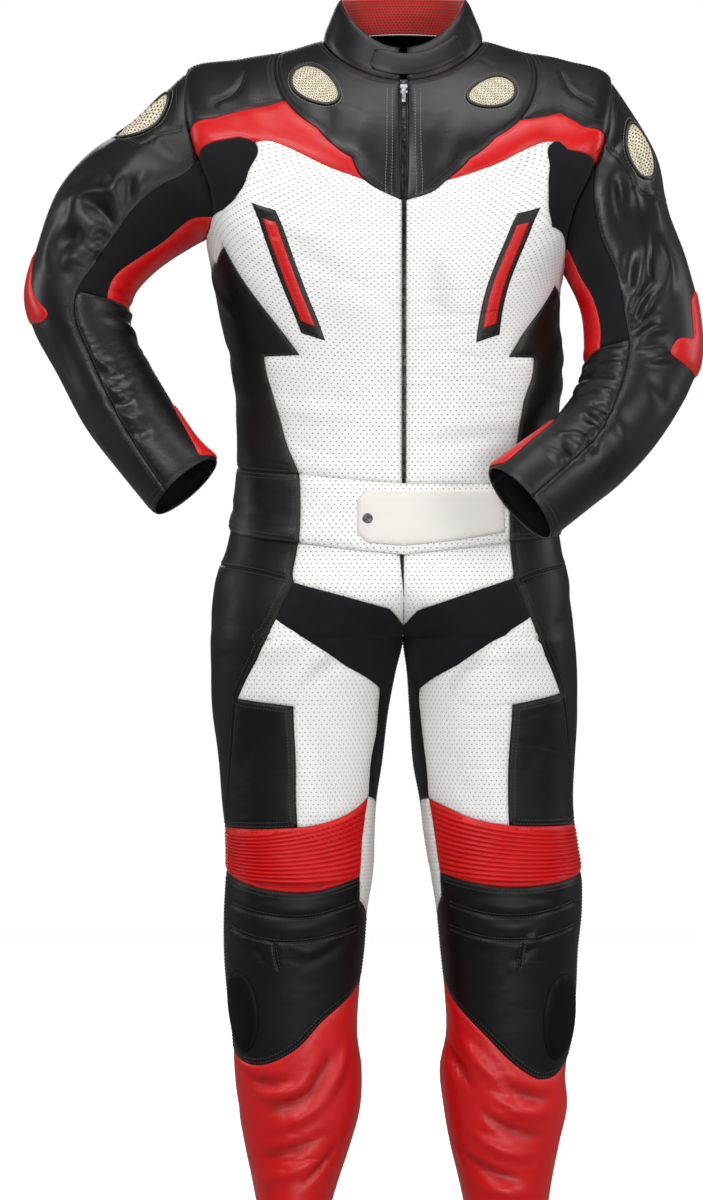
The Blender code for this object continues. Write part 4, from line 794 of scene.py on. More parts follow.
class Pattern:
    """The named corners of one skin, and the outlines cut between them."""

    def __init__(self, skin: Skin) -> None:
        """Starts with no corners.

        Args:
            skin: The skin that is cut.
        """
        self.skin = skin
        self.corners: dict[str, tuple[float, float]] = {}
        self.curves: dict[tuple[str, str], tuple[str | None, str | None]] = {}

    def mark(self, name: str, u: float, v: float) -> None:
        """Names a corner."""
        self.corners[name] = (float(u), float(v))

    def curve(self, *names: str) -> None:
        """Has the seam run through these corners as one smooth line."""
        for index in range(len(names) - 1):
            before = names[index - 1] if index else None
            after = names[index + 2] if index + 2 < len(names) else None
            self.curves[names[index], names[index + 1]] = (before, after)
            self.curves[names[index + 1], names[index]] = (after, before)

    def near(self, name: str, beside: Array | None) -> Array:
        """A corner's flat place on the turn of the skin that is nearest another place."""
        place = np.array(self.skin.flat(*self.corners[name]))
        if self.skin.period and beside is not None:
            width = self.skin.period * self.skin.round_scale
            place[0] += width * round((beside[0] - place[0]) / width)
        return place

    def run(self, first: str, second: str, start: Array, end: Array) -> Array:
        """Flat places along the seam between two corners.

        Args:
            first: Name of the first corner.
            second: Name of the second.
            start: Its flat place.
            end: The second's flat place.

        Returns:
            The places, without the last.
        """
        count = max(1, round(float(np.linalg.norm(end - start)) / RIM_STEP))
        share = (np.arange(count) / count)[:, None]
        if (first, second) not in self.curves:
            return start + (end - start) * share
        before, after = self.curves[first, second]
        chord = end - start
        length = np.linalg.norm(chord)

        def slope(corner: str | None, here: Array, other: Array) -> Array:
            """Direction of the seam at a corner, at the chord's length."""
            if corner is None:
                return chord
            beyond = self.near(corner, here)
            one, two = here - beyond, other - here
            way = one / np.linalg.norm(one) + two / np.linalg.norm(two)
            return way / max(np.linalg.norm(way), 1e-9) * length

        low = slope(before, start, end)
        high = slope(after, end, start)
        high = high if after is None else -high
        return hermite(start, low, end, high, share, 1.0)

    def rim(self, names: Sequence[str]) -> Array:
        """The flat outline through the named corners, anticlockwise.

        Args:
            names: Corners in order.

        Returns:
            The outline's places.
        """
        places = [self.near(names[0], None)]
        for name in names[1:]:
            places.append(self.near(name, places[-1]))
        runs = []
        for index, start in enumerate(places):
            after = (index + 1) % len(places)
            end = places[after]
            runs.append(self.run(names[index], names[after], start, end))
        return anticlockwise(np.vstack(runs))


# --- cloth ----------------------------------------------------------------------------------
Relief = Callable[[Array, Array], Array]


@dataclass
class Panel:
    """One piece of leather or cloth, cut flat and laid on a skin."""

    name: str
    skin: Skin
    rim: Array
    slot: Slot
    material: bpy.types.Material
    thick: float = LEATHER
    lift: float = 0.0
    dip: float = SEAM_DIP
    puff: float = PUFF
    net: float = NET
    rows: tuple[float, ...] = (STITCH_ROW,)
    relief: Relief | None = None
    hold: Hold = Hold.STRETCHED
    spots: Array | None = None
    node: bool = True
    seams: Sequence[Array] = ()
    take_up: float = 1.0

    def heights(self, flats: Array) -> Array:
        """Height of the panel over its creased skin: seams drawn in, the rest proud of them.

        Args:
            flats: Places on the cutting table.

        Returns:
            The height at each place.
        """
        gap = rim_distance(flats, [self.rim])
        height = self.lift - self.dip * np.exp(-(gap / SEAM_ROLL) ** 2)
        height = height + self.puff * smooth(gap / PUFF_REACH)
        if self.seams:
            off = line_distance(flats, self.seams)
            fade = smooth(gap / SEAM_ROLL)
            height = height - fade * INNER_DIP * np.exp(-(off / INNER_ROLL) ** 2)
            height = height + fade * INNER_RIDGE * np.exp(-((off - 0.005) / 0.004) ** 2)
        if self.relief:
            fade = smooth((gap - 0.001) / 0.007)
            height = height + fade * self.relief(flats, gap)
        return height

    def fold_shade(self, flats: Array, gap: Array) -> Array:
        """Painted shade of the folds: how deep each place lies in a fold, from 0 on the open
        leather to 1.

        Args:
            flats: Places on the cutting table.
            gap: Distance of each from the panel's edge.

        Returns:
            The depth.
        """
        height = self.skin.relief(flats[:, 0] / self.skin.round_scale, flats[:, 1])
        if self.relief:
            height = height + self.relief(flats, gap)
        return np.clip(-height / FOLD_SHADE_DEPTH, 0.0, 1.0)

    def _spots(self) -> Array:
        """Flat places inside the outline: two rows along it and an even net."""
        rows = []
        for distance in (0.0013, 0.0034):
            rows += [run[:-1] if np.allclose(run[0], run[-1]) else run
                     for run in inset(self.rim, distance)]
        if self.spots is not None:
            net = self.spots
        else:
            low, high = self.rim.min(axis=0), self.rim.max(axis=0)
            pitch = self.net * math.sqrt(0.75)
            down = np.arange(low[1], high[1], pitch)
            across = np.arange(low[0] - self.net, high[0] + self.net, self.net)
            grid_a, grid_d = np.meshgrid(across, down)
            grid_a[1::2] += self.net / 2
            net = np.stack([grid_a.ravel(), grid_d.ravel()], axis=1)
        net = net[inside(net, self.rim)]
        net = net[rim_distance(net, [self.rim]) > 0.0034 + 0.45 * self.net]
        if self.seams:
            net = net[line_distance(net, self.seams) > 0.0022 + 0.45 * self.net]
            for line in self.seams:
                for aside in (-0.0022, -0.0010, 0.0, 0.0010, 0.0022):
                    beside = shifted(line, aside)
                    beside = beside[inside(beside, self.rim)]
                    rows.append(beside[rim_distance(beside, [self.rim]) > 0.0045])
        return np.vstack(rows + [net]) if rows else net

    def build(self) -> bpy.types.Object:
        """Returns:
            The object.
        """
        spots = self._spots()
        flats = np.vstack([self.rim, spots])
        count = len(self.rim)
        edges = [(i, (i + 1) % count) for i in range(count)]
        made = delaunay_2d_cdt([Vector(p) for p in flats], edges, [], INSIDE_EDGES, 1e-7)
        flats = np.array([tuple(p) for p in made[0]])
        faces = np.array([face for face in made[2] if len(face) == 3])
        points = self.skin.surface(flats, self.heights(flats))
        a, b, c = (points[faces[:, k]] for k in range(3))
        out = self.skin.normal(flats[faces[:, 0], 0] / self.skin.round_scale, flats[faces[:, 0], 1])
        if (np.cross(b - a, c - a) * out).sum() < 0:
            faces = faces[:, ::-1]
        mesh = bpy.data.meshes.new(self.name)
        mesh.from_pydata(points.tolist(), [], faces.tolist())
        uv = mesh.uv_layers.new(name="Cut")
        corners = np.empty(len(mesh.loops), int)
        mesh.loops.foreach_get("vertex_index", corners)
        uv.data.foreach_set("uv", flats[corners].ravel())
        gap = rim_distance(flats, [self.rim])
        # The fold depth is stored for the painted shade that darkens the leather's colour in folds.
        for name, values in (("seam", gap), ("fold_shade", self.fold_shade(flats, gap))):
            mesh.attributes.new(name, "FLOAT", "POINT").data.foreach_set("value", values)
        mesh.materials.append(self.material)
        mesh.shade_smooth()
        piece = bpy.data.objects.new(self.name + "_cloth", mesh)
        bpy.context.scene.collection.objects.link(piece)
        wall = piece.modifiers.new("Wall", "SOLIDIFY")
        wall.thickness = self.thick
        wall.offset = -1.0
        wall.use_even_offset = False
        self._declare(piece, flats, faces)
        LOG.info("%s: %d faces", self.name, len(faces))
        return piece

    def _declare(self, piece: bpy.types.Object, flats: Array, faces: Array) -> None:
        """Puts the panel on its body, hides its node from the model, and works out the size of its
        cut, which is not kept.

        Args:
            piece: The panel's object.
            flats: Its places on the cutting table.
            faces: Its faces.
        """
        smooth_points = self.skin.surface(flats)
        a, b, c = (smooth_points[faces[:, k]] for k in range(3))
        area = float(np.linalg.norm(np.cross(b - a, c - a), axis=1).sum() / 2)
        p, q, r = (flats[faces[:, k]] for k in range(3))
        one, two = q - p, r - p
        table = float(np.abs(one[:, 0] * two[:, 1] - one[:, 1] * two[:, 0]).sum() / 2)
        scale = math.sqrt(area / table)
        sizes = []
        for turn in np.radians(np.arange(0, 90, 5)):
            way = np.array([math.cos(turn), math.sin(turn)])
            wide = self.rim @ way
            long = self.rim @ np.array([-way[1], way[0]])
            sizes.append((np.ptp(wide) * scale, np.ptp(long) * scale * self.take_up))
        flat = min(sizes, key=lambda size: size[0] * size[1])
        area = min(max(area * self.take_up, 0.305 * flat[0] * flat[1]), flat[0] * flat[1])
        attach(piece, BODY)
        if self.node:
            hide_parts(self.name)

    def stitch_paths(self) -> list[Array]:
        """Points of each row of stitches, on the panel's surface.

        Returns:
            One array of points and outward vectors for each run.
        """
        paths = []
        runs = [run for row in self.rows for run in inset(self.rim, row)]
        for line in self.seams:
            for aside in (-STITCH_ROW, STITCH_ROW):
                run = shifted(line, aside)
                runs.append(run[inside(run, self.rim)
                                & (rim_distance(run, [self.rim]) > 0.003)])
        for run in runs:
            if len(run) >= 4:
                points = self.skin.surface(run, self.heights(run) + STITCH_LIFT)
                out = self.skin.normal(run[:, 0] / self.skin.round_scale, run[:, 1])
                paths.append(np.hstack([points, out]))
        return paths


# --- stitches -------------------------------------------------------------------------------
STITCH_LIFT = 0.00015     # middle of the thread over the leather
STITCH_PITCH = 0.0042
STITCH_LENGTH = 0.0031
STITCH_RADIUS = 0.00045
STITCH_SIDES = 4


def capsule(name: str) -> bpy.types.Object:
    """One stitch: a short thread along X whose ends dive into the leather.

    Args:
        name: Name of its mesh.

    Returns:
        The stitch, not yet in the scene.
    """
    shares = (-0.5, -0.34, 0.0, 0.34, 0.5)
    girths = (0.35, 0.95, 1.0, 0.95, 0.35)
    drops = (-1.5, -0.25, 0.15, -0.25, -1.5)
    points, faces = [], []
    for share, girth, drop in zip(shares, girths, drops):
        for side in range(STITCH_SIDES):
            angle = 2 * math.pi * side / STITCH_SIDES
            points.append((share * STITCH_LENGTH, girth * STITCH_RADIUS * math.cos(angle),
                           STITCH_RADIUS * (girth * math.sin(angle) + drop)))
    for ring in range(len(shares) - 1):
        for side in range(STITCH_SIDES):
            low, high = ring * STITCH_SIDES, (ring + 1) * STITCH_SIDES
            after = (side + 1) % STITCH_SIDES
            faces.append((low + side, low + after, high + after, high + side))
    last = (len(shares) - 1) * STITCH_SIDES
    faces.append(tuple(reversed(range(STITCH_SIDES))))
    faces.append(tuple(last + side for side in range(STITCH_SIDES)))
    mesh = bpy.data.meshes.new(name)
    mesh.from_pydata(points, [], [face[::-1] for face in faces])
    mesh.shade_smooth()
    return bpy.data.objects.new(name, mesh)


class Tree:
    """A node tree that is written one node at a line."""

    def __init__(self, tree: bpy.types.NodeTree) -> None:
        """Keeps the tree."""
        self.tree = tree

    def add(self, kind: str, *inputs: object, out: int | str = 0,
            **settings: object) -> bpy.types.NodeSocket:
        """Adds a node and connects or sets its inputs.

        Args:
            kind: The node's type.
            *inputs: A socket, a value or None for each input in order.
            out: Which of its outputs to give back.
            **settings: The node's own settings, or inputs by name as a dict named "named".

        Returns:
            The output socket.
        """
        node = self.tree.nodes.new(kind)
        named = settings.pop("named", {})
        for key, value in settings.items():
            setattr(node, key, value)
        pairs = [(node.inputs[i], value) for i, value in enumerate(inputs)]
        pairs += [(node.inputs[key], value) for key, value in named.items()]
        for socket, value in pairs:
            if isinstance(value, bpy.types.NodeSocket):
                self.tree.links.new(value, socket)
            elif value is not None:
                socket.default_value = value
        return node.outputs[out]

    def math(self, operation: str, *values: object) -> bpy.types.NodeSocket:
        """A Math node of values."""
        return self.add("ShaderNodeMath", *values, operation=operation)


@dataclass(frozen=True)
class RowTree:
    """Geometry Nodes that set small pieces along paths, each facing out of the surface."""

    name: str
    small: bpy.types.Object
    material: bpy.types.Material

    def build(self) -> bpy.types.NodeTree:
        """Makes the node tree.

        Returns:
            The tree, whose one size is the pitch along the path.
        """
        group = bpy.data.node_groups.new(self.name, "GeometryNodeTree")
        face = group.interface
        face.new_socket("Geometry", in_out="INPUT", socket_type="NodeSocketGeometry")
        pitch = face.new_socket("Pitch", in_out="INPUT", socket_type="NodeSocketFloat")
        pitch.default_value = STITCH_PITCH
        face.new_socket("Geometry", in_out="OUTPUT", socket_type="NodeSocketGeometry")
        tree = Tree(group)
        source = group.nodes.new("NodeGroupInput")
        curve = tree.add("GeometryNodeMeshToCurve", source.outputs[0])
        resample = group.nodes.new("GeometryNodeResampleCurve")
        resample.mode = "LENGTH"
        group.links.new(curve, resample.inputs["Curve"])
        group.links.new(source.outputs[1], resample.inputs["Length"])
        out = tree.add("GeometryNodeInputNamedAttribute", "out", data_type="FLOAT_VECTOR")
        tangent = tree.add("GeometryNodeInputTangent")
        upright = tree.add("FunctionNodeAlignRotationToVector", None, None, out, axis="Z")
        turned = tree.add("FunctionNodeAlignRotationToVector", upright, None, tangent,
                          axis="X", pivot_axis="Z")
        shape = tree.add("GeometryNodeObjectInfo", self.small, out="Geometry")
        placed = tree.add("GeometryNodeInstanceOnPoints",
                          named={"Points": resample.outputs[0], "Instance": shape,
                                 "Rotation": turned})
        real = tree.add("GeometryNodeRealizeInstances", placed)
        dressed = tree.add("GeometryNodeSetMaterial", real, None, self.material)
        target = group.nodes.new("NodeGroupOutput")
        group.links.new(dressed, target.inputs[0])
        return group


def sew(name: str, paths: Sequence[Array], tree: bpy.types.NodeTree,
        pitch: float = STITCH_PITCH) -> bpy.types.Object:
    """Sets stitches, or other small pieces, along paths as one plain mesh.

    Args:
        name: Name of the piece.
        paths: Points and outward vectors of each path.
        tree: The Geometry Nodes that set the pieces.
        pitch: Distance from piece to piece.

    Returns:
        The object.
    """
    points = np.vstack(paths)
    edges, start = [], 0
    for path in paths:
        edges += [(start + i, start + i + 1) for i in range(len(path) - 1)]
        start += len(path)
    mesh = bpy.data.meshes.new(name + "_path")
    mesh.from_pydata(points[:, :3].tolist(), edges, [])
    out = mesh.attributes.new("out", "FLOAT_VECTOR", "POINT")
    out.data.foreach_set("vector", points[:, 3:].ravel())
    guide = bpy.data.objects.new(name + "_path", mesh)
    bpy.context.scene.collection.objects.link(guide)
    step = guide.modifiers.new("Row", "NODES")
    step.node_group = tree
    sizes = [item for item in tree.interface.items_tree
             if item.in_out == "INPUT" and item.name == "Pitch"]
    step[sizes[0].identifier] = pitch
    graph = bpy.context.evaluated_depsgraph_get()
    sewn = bpy.data.meshes.new_from_object(guide.evaluated_get(graph), depsgraph=graph)
    bpy.data.objects.remove(guide, do_unlink=True)
    piece = bpy.data.objects.new(name, sewn)
    bpy.context.scene.collection.objects.link(piece)
    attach(piece, BODY)
    LOG.info("%s: %d faces", name, len(sewn.polygons))
    return piece


# --- finishes -------------------------------------------------------------------------------
Colour = tuple[float, float, float]


def shader(name: str, colour: Colour) -> tuple[bpy.types.Material, Tree, bpy.types.Node]:
    """A material with one shader.

    Args:
        name: Name of the material.
        colour: Its colour in the viewport.

    Returns:
        The material, its tree and the shader's node.
    """
    made = bpy.data.materials.new(name)
    made.use_nodes = True
    made.diffuse_color = (*colour, 1.0)
    return made, Tree(made.node_tree), made.node_tree.nodes["Principled BSDF"]


def dots(tree: Tree, pitch: float, radius: float) -> bpy.types.NodeSocket:
    """Staggered round holes on the cutting table: 1 in a hole, 0 between.

    Args:
        tree: The material's tree.
        pitch: Distance from hole to hole.
        radius: Radius of a hole, as a share of the pitch.

    Returns:
        The mask.
    """
    place = tree.add("ShaderNodeUVMap", uv_map="Cut")
    across = tree.add("ShaderNodeSeparateXYZ", place, out=0)
    down = across.node.outputs[1]
    row = tree.math("DIVIDE", down, pitch * math.sqrt(0.75))
    odd = tree.math("MODULO", tree.math("ADD", tree.math("FLOOR", row), 1000.0), 2.0)
    column = tree.math("ADD", tree.math("DIVIDE", across, pitch),
                       tree.math("MULTIPLY", odd, 0.5))
    aside = tree.math("SUBTRACT", tree.math("FRACT", column), 0.5)
    above = tree.math("MULTIPLY", tree.math("SUBTRACT", tree.math("FRACT", row), 0.5),
                      math.sqrt(0.75))
    reach = tree.math("SQRT", tree.math("ADD", tree.math("MULTIPLY", aside, aside),
                                        tree.math("MULTIPLY", above, above)))
    return tree.add("ShaderNodeMapRange", reach, radius * 0.7, radius * 1.3, 1.0, 0.0,
                    interpolation_type="SMOOTHSTEP")


@dataclass(frozen=True)
class Leather:
    """Grained leather with soft wrinkles, a little paler along its seams as wear and as a painted
    highlight, and darkened in its folds as painted shade.
    """

    name: str
    colour: Colour
    # Paler colour, for worn patches and for the painted highlight along the seams.
    worn_and_highlight: Colour
    rough: float = 0.42
    grain: float = 0.00013
    wrinkle: float = 0.0007
    holes: float = 0.0
    coat: float = 0.04
    shine: float = 0.34
    crumple: float = 0.0011
    # Share of the painted shade that darkens the colour at the bottom of a fold.
    shade: float = 0.55

    def _crumple(self, tree: Tree, place: bpy.types.NodeSocket) -> bpy.types.NodeSocket:
        """Thin uneven folds across the cut, in patches, as a normal.

        Args:
            tree: The material's tree.
            place: Object coordinates.

        Returns:
            The normal.
        """
        cut = tree.add("ShaderNodeMapping", tree.add("ShaderNodeUVMap", uv_map="Cut"),
                       named={"Scale": (0.42, 1.0, 1.0), "Rotation": (0.0, 0.0, 0.25)})
        fold = tree.add("ShaderNodeTexNoise", cut, None, 21.0, 2.0, 0.40, None, None, 1.3)
        thin = tree.add("ShaderNodeMapRange", tree.math("ABSOLUTE", tree.math(
            "SUBTRACT", fold, 0.5)), 0.0, 0.085, 0.0, 1.0, interpolation_type="SMOOTHSTEP")
        zone = tree.add("ShaderNodeTexNoise", place, None, 5.5, 2.0)
        zone = tree.add("ShaderNodeMapRange", zone, 0.42, 0.60, 0.12, 1.0,
                        interpolation_type="SMOOTHSTEP")
        height = tree.math("MULTIPLY", tree.math("ADD", thin, tree.math(
            "MULTIPLY", fold, 2.2)), zone)
        return tree.add("ShaderNodeBump", 0.85, self.crumple, None, height)

    def build(self) -> bpy.types.Material:
        """Makes the material."""
        made, tree, skin = shader(self.name, self.colour)
        place = tree.add("ShaderNodeTexCoord", out="Object")
        cells = tree.add("ShaderNodeTexVoronoi", place, None, 620.0, feature="SMOOTH_F1",
                         named={"Smoothness": 0.35, "Randomness": 1.0})
        fine = tree.add("ShaderNodeTexNoise", place, None, 1500.0, 2.0)
        broad = tree.add("ShaderNodeTexNoise", place, None, 34.0, 4.0, 0.55, None, None, 0.6)
        patch = tree.add("ShaderNodeTexNoise", place, None, 7.0, 3.0)
        grain = tree.math("ADD", tree.math("MULTIPLY", cells, 1.0),
                          tree.math("MULTIPLY", fine, 0.35))
        height = tree.add("ShaderNodeBump", 0.75, self.wrinkle, None, broad,
                          named={"Normal": self._crumple(tree, place)})
        height = tree.add("ShaderNodeBump", 0.60, self.grain, None, grain,
                          named={"Normal": height})
        # Paler along the seams, partly as wear and partly as a painted highlight where the rolled
        # edges catch the light; random worn patches are added.
        gap = tree.add("ShaderNodeAttribute", attribute_name="seam", out="Fac")
        edge = tree.add("ShaderNodeMapRange", gap, 0.0006, 0.0055, 0.75, 0.0,
                        interpolation_type="SMOOTHSTEP")
        wear_and_edge_highlight = tree.math("MULTIPLY", edge, tree.add("ShaderNodeMapRange", broad, 0.35, 0.65,
                                                    0.25, 1.0))
        wear_and_edge_highlight = tree.math("ADD", wear_and_edge_highlight, tree.add("ShaderNodeMapRange", patch, 0.52, 0.78,
                                               0.0, 0.30))
        colour = tree.add("ShaderNodeMix", data_type="RGBA", out=2,
                          named={0: wear_and_edge_highlight, 6: (*self.colour, 1.0), 7: (*self.worn_and_highlight, 1.0)})
        rough = tree.add("ShaderNodeMapRange", patch, 0.3, 0.7, self.rough - 0.07,
                         self.rough + 0.10)
        # Painted shade: the colour is darkened in the folds by the stored fold depth, towards a
        # dark share of itself.
        deep = tree.math("MULTIPLY", tree.add("ShaderNodeAttribute", attribute_name="fold_shade",
                                              out="Fac"), self.shade)
        colour = tree.add("ShaderNodeMix", data_type="RGBA", out=2, named={
            0: deep, 6: colour, 7: (*(FOLD_SHADE_TONE * part for part in self.colour), 1.0)})
        if self.holes:
            hole = dots(tree, self.holes, 0.13)
            colour = tree.add("ShaderNodeMix", data_type="RGBA", out=2,
                              named={0: hole, 6: colour, 7: (0.34, 0.34, 0.33, 1.0)})
            height = tree.add("ShaderNodeBump", 1.0, HOLE_DEPTH, None,
                              tree.math("SUBTRACT", 1.0, hole), named={"Normal": height})
        tree.tree.links.new(colour, skin.inputs["Base Color"])
        tree.tree.links.new(rough, skin.inputs["Roughness"])
        tree.tree.links.new(height, skin.inputs["Normal"])
        skin.inputs["Specular IOR Level"].default_value = self.shine
        skin.inputs["Coat Weight"].default_value = self.coat
        skin.inputs["Coat Roughness"].default_value = 0.30
        return made


@dataclass(frozen=True)
class Cloth:
    """Woven or knitted cloth with fine ribs along one way of its cut."""

    name: str
    colour: Colour
    light: Colour
    pitch: float = 0.0016
    depth: float = 0.0004
    rough: float = 0.85
    sheen: float = 0.25
    cross: bool = True
    holes: float = 0.0

    def build(self) -> bpy.types.Material:
        """Makes the material."""
        made, tree, skin = shader(self.name, self.colour)
        place = tree.add("ShaderNodeUVMap", uv_map="Cut")
        across = tree.add("ShaderNodeSeparateXYZ", place)
        down = across.node.outputs[1]
        turn = 2 * math.pi / self.pitch
        warp = tree.math("SINE", tree.math("MULTIPLY", across, turn))
        weft = tree.math("SINE", tree.math("MULTIPLY", down, turn if self.cross else turn / 4))
        weave = tree.math("MULTIPLY", tree.math("ADD", tree.math("MULTIPLY", warp, weft), 1.0),
                          0.5) if self.cross else tree.math("MULTIPLY", warp, 0.5)
        solid = tree.add("ShaderNodeTexCoord", out="Object")
        fluff = tree.add("ShaderNodeTexNoise", solid, None, 45.0, 5.0)
        tint = tree.math("ADD", tree.math("MULTIPLY", weave, 0.5),
                         tree.math("MULTIPLY", fluff, 0.5))
        colour = tree.add("ShaderNodeMix", data_type="RGBA", out=2,
                          named={0: tint, 6: (*self.colour, 1.0), 7: (*self.light, 1.0)})
        height = tree.add("ShaderNodeBump", 0.5, 0.0008, None, fluff)
        height = tree.add("ShaderNodeBump", 0.8, self.depth, None, weave,
                          named={"Normal": height})
        if self.holes:
            hole = dots(tree, self.holes, 0.27)
            colour = tree.add("ShaderNodeMix", data_type="RGBA", out=2,
                              named={0: hole, 6: colour, 7: (0.05, 0.045, 0.03, 1.0)})
        tree.tree.links.new(colour, skin.inputs["Base Color"])
        tree.tree.links.new(height, skin.inputs["Normal"])
        skin.inputs["Roughness"].default_value = self.rough
        skin.inputs["Sheen Weight"].default_value = self.sheen
        skin.inputs["Sheen Roughness"].default_value = 0.45
        skin.inputs["Specular IOR Level"].default_value = 0.15
        return made


@dataclass(frozen=True)
class Metal:
    """Dark blasted metal, rubbed brighter where the fingers meet it."""

    name: str
    colour: Colour
    bright: Colour
    rough: float = 0.34

    def build(self) -> bpy.types.Material:
        """Makes the material."""
        made, tree, skin = shader(self.name, self.colour)
        place = tree.add("ShaderNodeTexCoord", out="Object")
        speck = tree.add("ShaderNodeTexNoise", place, None, 900.0, 3.0)
        rub = tree.add("ShaderNodeTexNoise", place, None, 160.0, 3.0)
        share = tree.add("ShaderNodeMapRange", rub, 0.42, 0.72, 0.0, 1.0)
        colour = tree.add("ShaderNodeMix", data_type="RGBA", out=2,
                          named={0: share, 6: (*self.colour, 1.0), 7: (*self.bright, 1.0)})
        rough = tree.add("ShaderNodeMapRange", speck, 0.3, 0.7, self.rough - 0.08,
                         self.rough + 0.12)
        height = tree.add("ShaderNodeBump", 0.4, 0.00006, None, speck)
        tree.tree.links.new(colour, skin.inputs["Base Color"])
        tree.tree.links.new(rough, skin.inputs["Roughness"])
        tree.tree.links.new(height, skin.inputs["Normal"])
        skin.inputs["Metallic"].default_value = 1.0
        return made


@dataclass(frozen=True)
class Finishes:
    """Every material of the suit, made once."""

    black: bpy.types.Material
    white: bpy.types.Material
    plain_white: bpy.types.Material
    red: bpy.types.Material
    stretch: bpy.types.Material
    lining: bpy.types.Material
    mesh: bpy.types.Material
    tape: bpy.types.Material
    metal: bpy.types.Material
    black_thread: bpy.types.Material
    white_thread: bpy.types.Material
    red_thread: bpy.types.Material
    halo_thread: bpy.types.Material
    teeth: bpy.types.Material
    piping: bpy.types.Material
    pad: bpy.types.Material
    matt: bpy.types.Material
    ribbed: bpy.types.Material

    @classmethod
    def make(cls) -> Finishes:
        """Makes every material."""
        return cls(
            black=Leather("Black leather", (0.0048, 0.0046, 0.0048), (0.015, 0.0145, 0.0150),
                          rough=0.40, shine=0.34, crumple=0.0004,
                          wrinkle=0.0005, shade=0.75).build(),
            white=Leather("Perforated white leather", (0.80, 0.80, 0.785), (0.70, 0.69, 0.66),
                          rough=0.50, wrinkle=0.0005, holes=0.0058, crumple=0.0007).build(),
            plain_white=Leather("White leather", (0.72, 0.69, 0.65), (0.64, 0.60, 0.55),
                                rough=0.44, wrinkle=0.0008, crumple=0.0006).build(),
            red=Leather("Red leather", (0.53, 0.0030, 0.0040), (0.60, 0.024, 0.020),
                        rough=0.37, shine=0.32, crumple=0.0007, shade=0.40).build(),
            # The trouser leather is the black leather made darker and less shiny, as painted shade
            # for the legs, which get less light from above.
            matt=Leather("Trouser leather", (0.0034, 0.0032, 0.0032), (0.0110, 0.0106, 0.0106),
                         rough=0.47, shine=0.19, crumple=0.0005, shade=0.6).build(),
            # The ribbed red leather paints a stronger shade into the grooves between its ribs.
            ribbed=Leather("Ribbed red leather", (0.60, 0.0035, 0.0045), (0.62, 0.024, 0.020),
                           rough=0.42, shine=0.24, crumple=0.0003, shade=0.85).build(),
            pad=Leather("Knee pad", (0.0018, 0.0018, 0.0019), (0.005, 0.005, 0.005),
                        rough=0.62, shine=0.10, crumple=0.0004).build(),
            stretch=Cloth("Black stretch cloth", (0.0042, 0.0042, 0.0050),
                          (0.010, 0.010, 0.012), sheen=0.04).build(),
            lining=Cloth("Red lining", (0.50, 0.016, 0.016), (0.66, 0.04, 0.035), pitch=0.0022,
                         depth=0.0005, holes=0.0044).build(),
            mesh=Cloth("Vent mesh", (0.60, 0.53, 0.38), (0.92, 0.88, 0.74), pitch=0.0042,
                       depth=0.0012, sheen=0.05, rough=0.5, cross=False, holes=0.0030).build(),
            tape=Cloth("Zip tape", (0.010, 0.010, 0.011), (0.024, 0.024, 0.026), pitch=0.0012,
                       cross=False).build(),
            metal=Metal("Dark metal", (0.075, 0.075, 0.080), (0.30, 0.30, 0.31)).build(),
            black_thread=Cloth("Black thread", (0.024, 0.024, 0.026), (0.060, 0.060, 0.062),
                               pitch=0.0009, rough=0.62, cross=False).build(),
            white_thread=Cloth("White thread", (0.72, 0.72, 0.70), (0.88, 0.88, 0.86),
                               pitch=0.0009, rough=0.62, cross=False).build(),
            red_thread=Cloth("Red thread", (0.50, 0.012, 0.012), (0.78, 0.07, 0.06),
                             pitch=0.0009, rough=0.62, cross=False).build(),
            halo_thread=Cloth("Pale thread", (0.20, 0.19, 0.15), (0.34, 0.32, 0.26),
                              pitch=0.0009, rough=0.62, cross=False).build(),
            teeth=Metal("Zip teeth", (0.030, 0.030, 0.033), (0.16, 0.16, 0.17)).build(),
            piping=Leather("Vent piping", (0.014, 0.014, 0.015), (0.05, 0.048, 0.05),
                           rough=0.36).build(),
        )

    def thread(self, slot: Slot) -> bpy.types.Material:
        """The thread for a panel of the given slot."""
        return {Slot.WHITE: self.white_thread, Slot.RED: self.red_thread}.get(
            slot, self.black_thread)


# --- corners: places in the front view, right side then left side ----------------------------
TORSO_CORNERS = (
    ("yoke_point", -0.0026, -0.188, 0.0026, -0.188),
    ("yoke_bend", -0.038, -0.171, 0.034, -0.178),
    ("chevron_tip", -0.049, -0.163, 0.053, -0.163),
    ("chevron_rise", -0.065, -0.134, 0.082, -0.135),
    ("chevron_peak", -0.149, -0.058, 0.146, -0.084),
    ("chevron_slope", -0.107, -0.096, 0.114, -0.108),
    ("chevron_shoulder", -0.206, -0.071, 0.196, -0.074),
    ("chevron_fall", -0.236, -0.080, 0.226, -0.092),
    ("chevron_low", -0.066, -0.156, 0.105, -0.146),
    ("chevron_bend", -0.168, -0.111, 0.172, -0.113),
    ("stretch_top", -0.186, -0.113, 0.188, -0.112),
    ("stretch_peak", -0.206, -0.106, 0.205, -0.122),
    ("stretch_in", -0.196, -0.156, 0.182, -0.150),
    ("stretch_low", -0.211, -0.184, 0.181, -0.188),
    ("stretch_foot", -0.227, -0.198, 0.186, -0.220),
    ("side_notch", -0.236, -0.262, 0.197, -0.298),
    ("side_tip", -0.226, -0.243, 0.191, -0.290),
    ("side_bend", -0.131, -0.380, 0.132, -0.382),
    ("side_step", -0.176, -0.381, 0.164, -0.382),
    ("side_fall", -0.173, -0.401, 0.162, -0.406),
    ("side_slope", -0.159, -0.447, 0.152, -0.435),
    ("side_low", -0.147, -0.491, 0.143, -0.489),
    ("waist_in", -0.131, -0.528, 0.136, -0.540),
    ("waist_zip", -0.0026, -0.540, 0.0026, -0.540),
    ("hem_in", -0.131, -0.615, 0.133, -0.613),
)
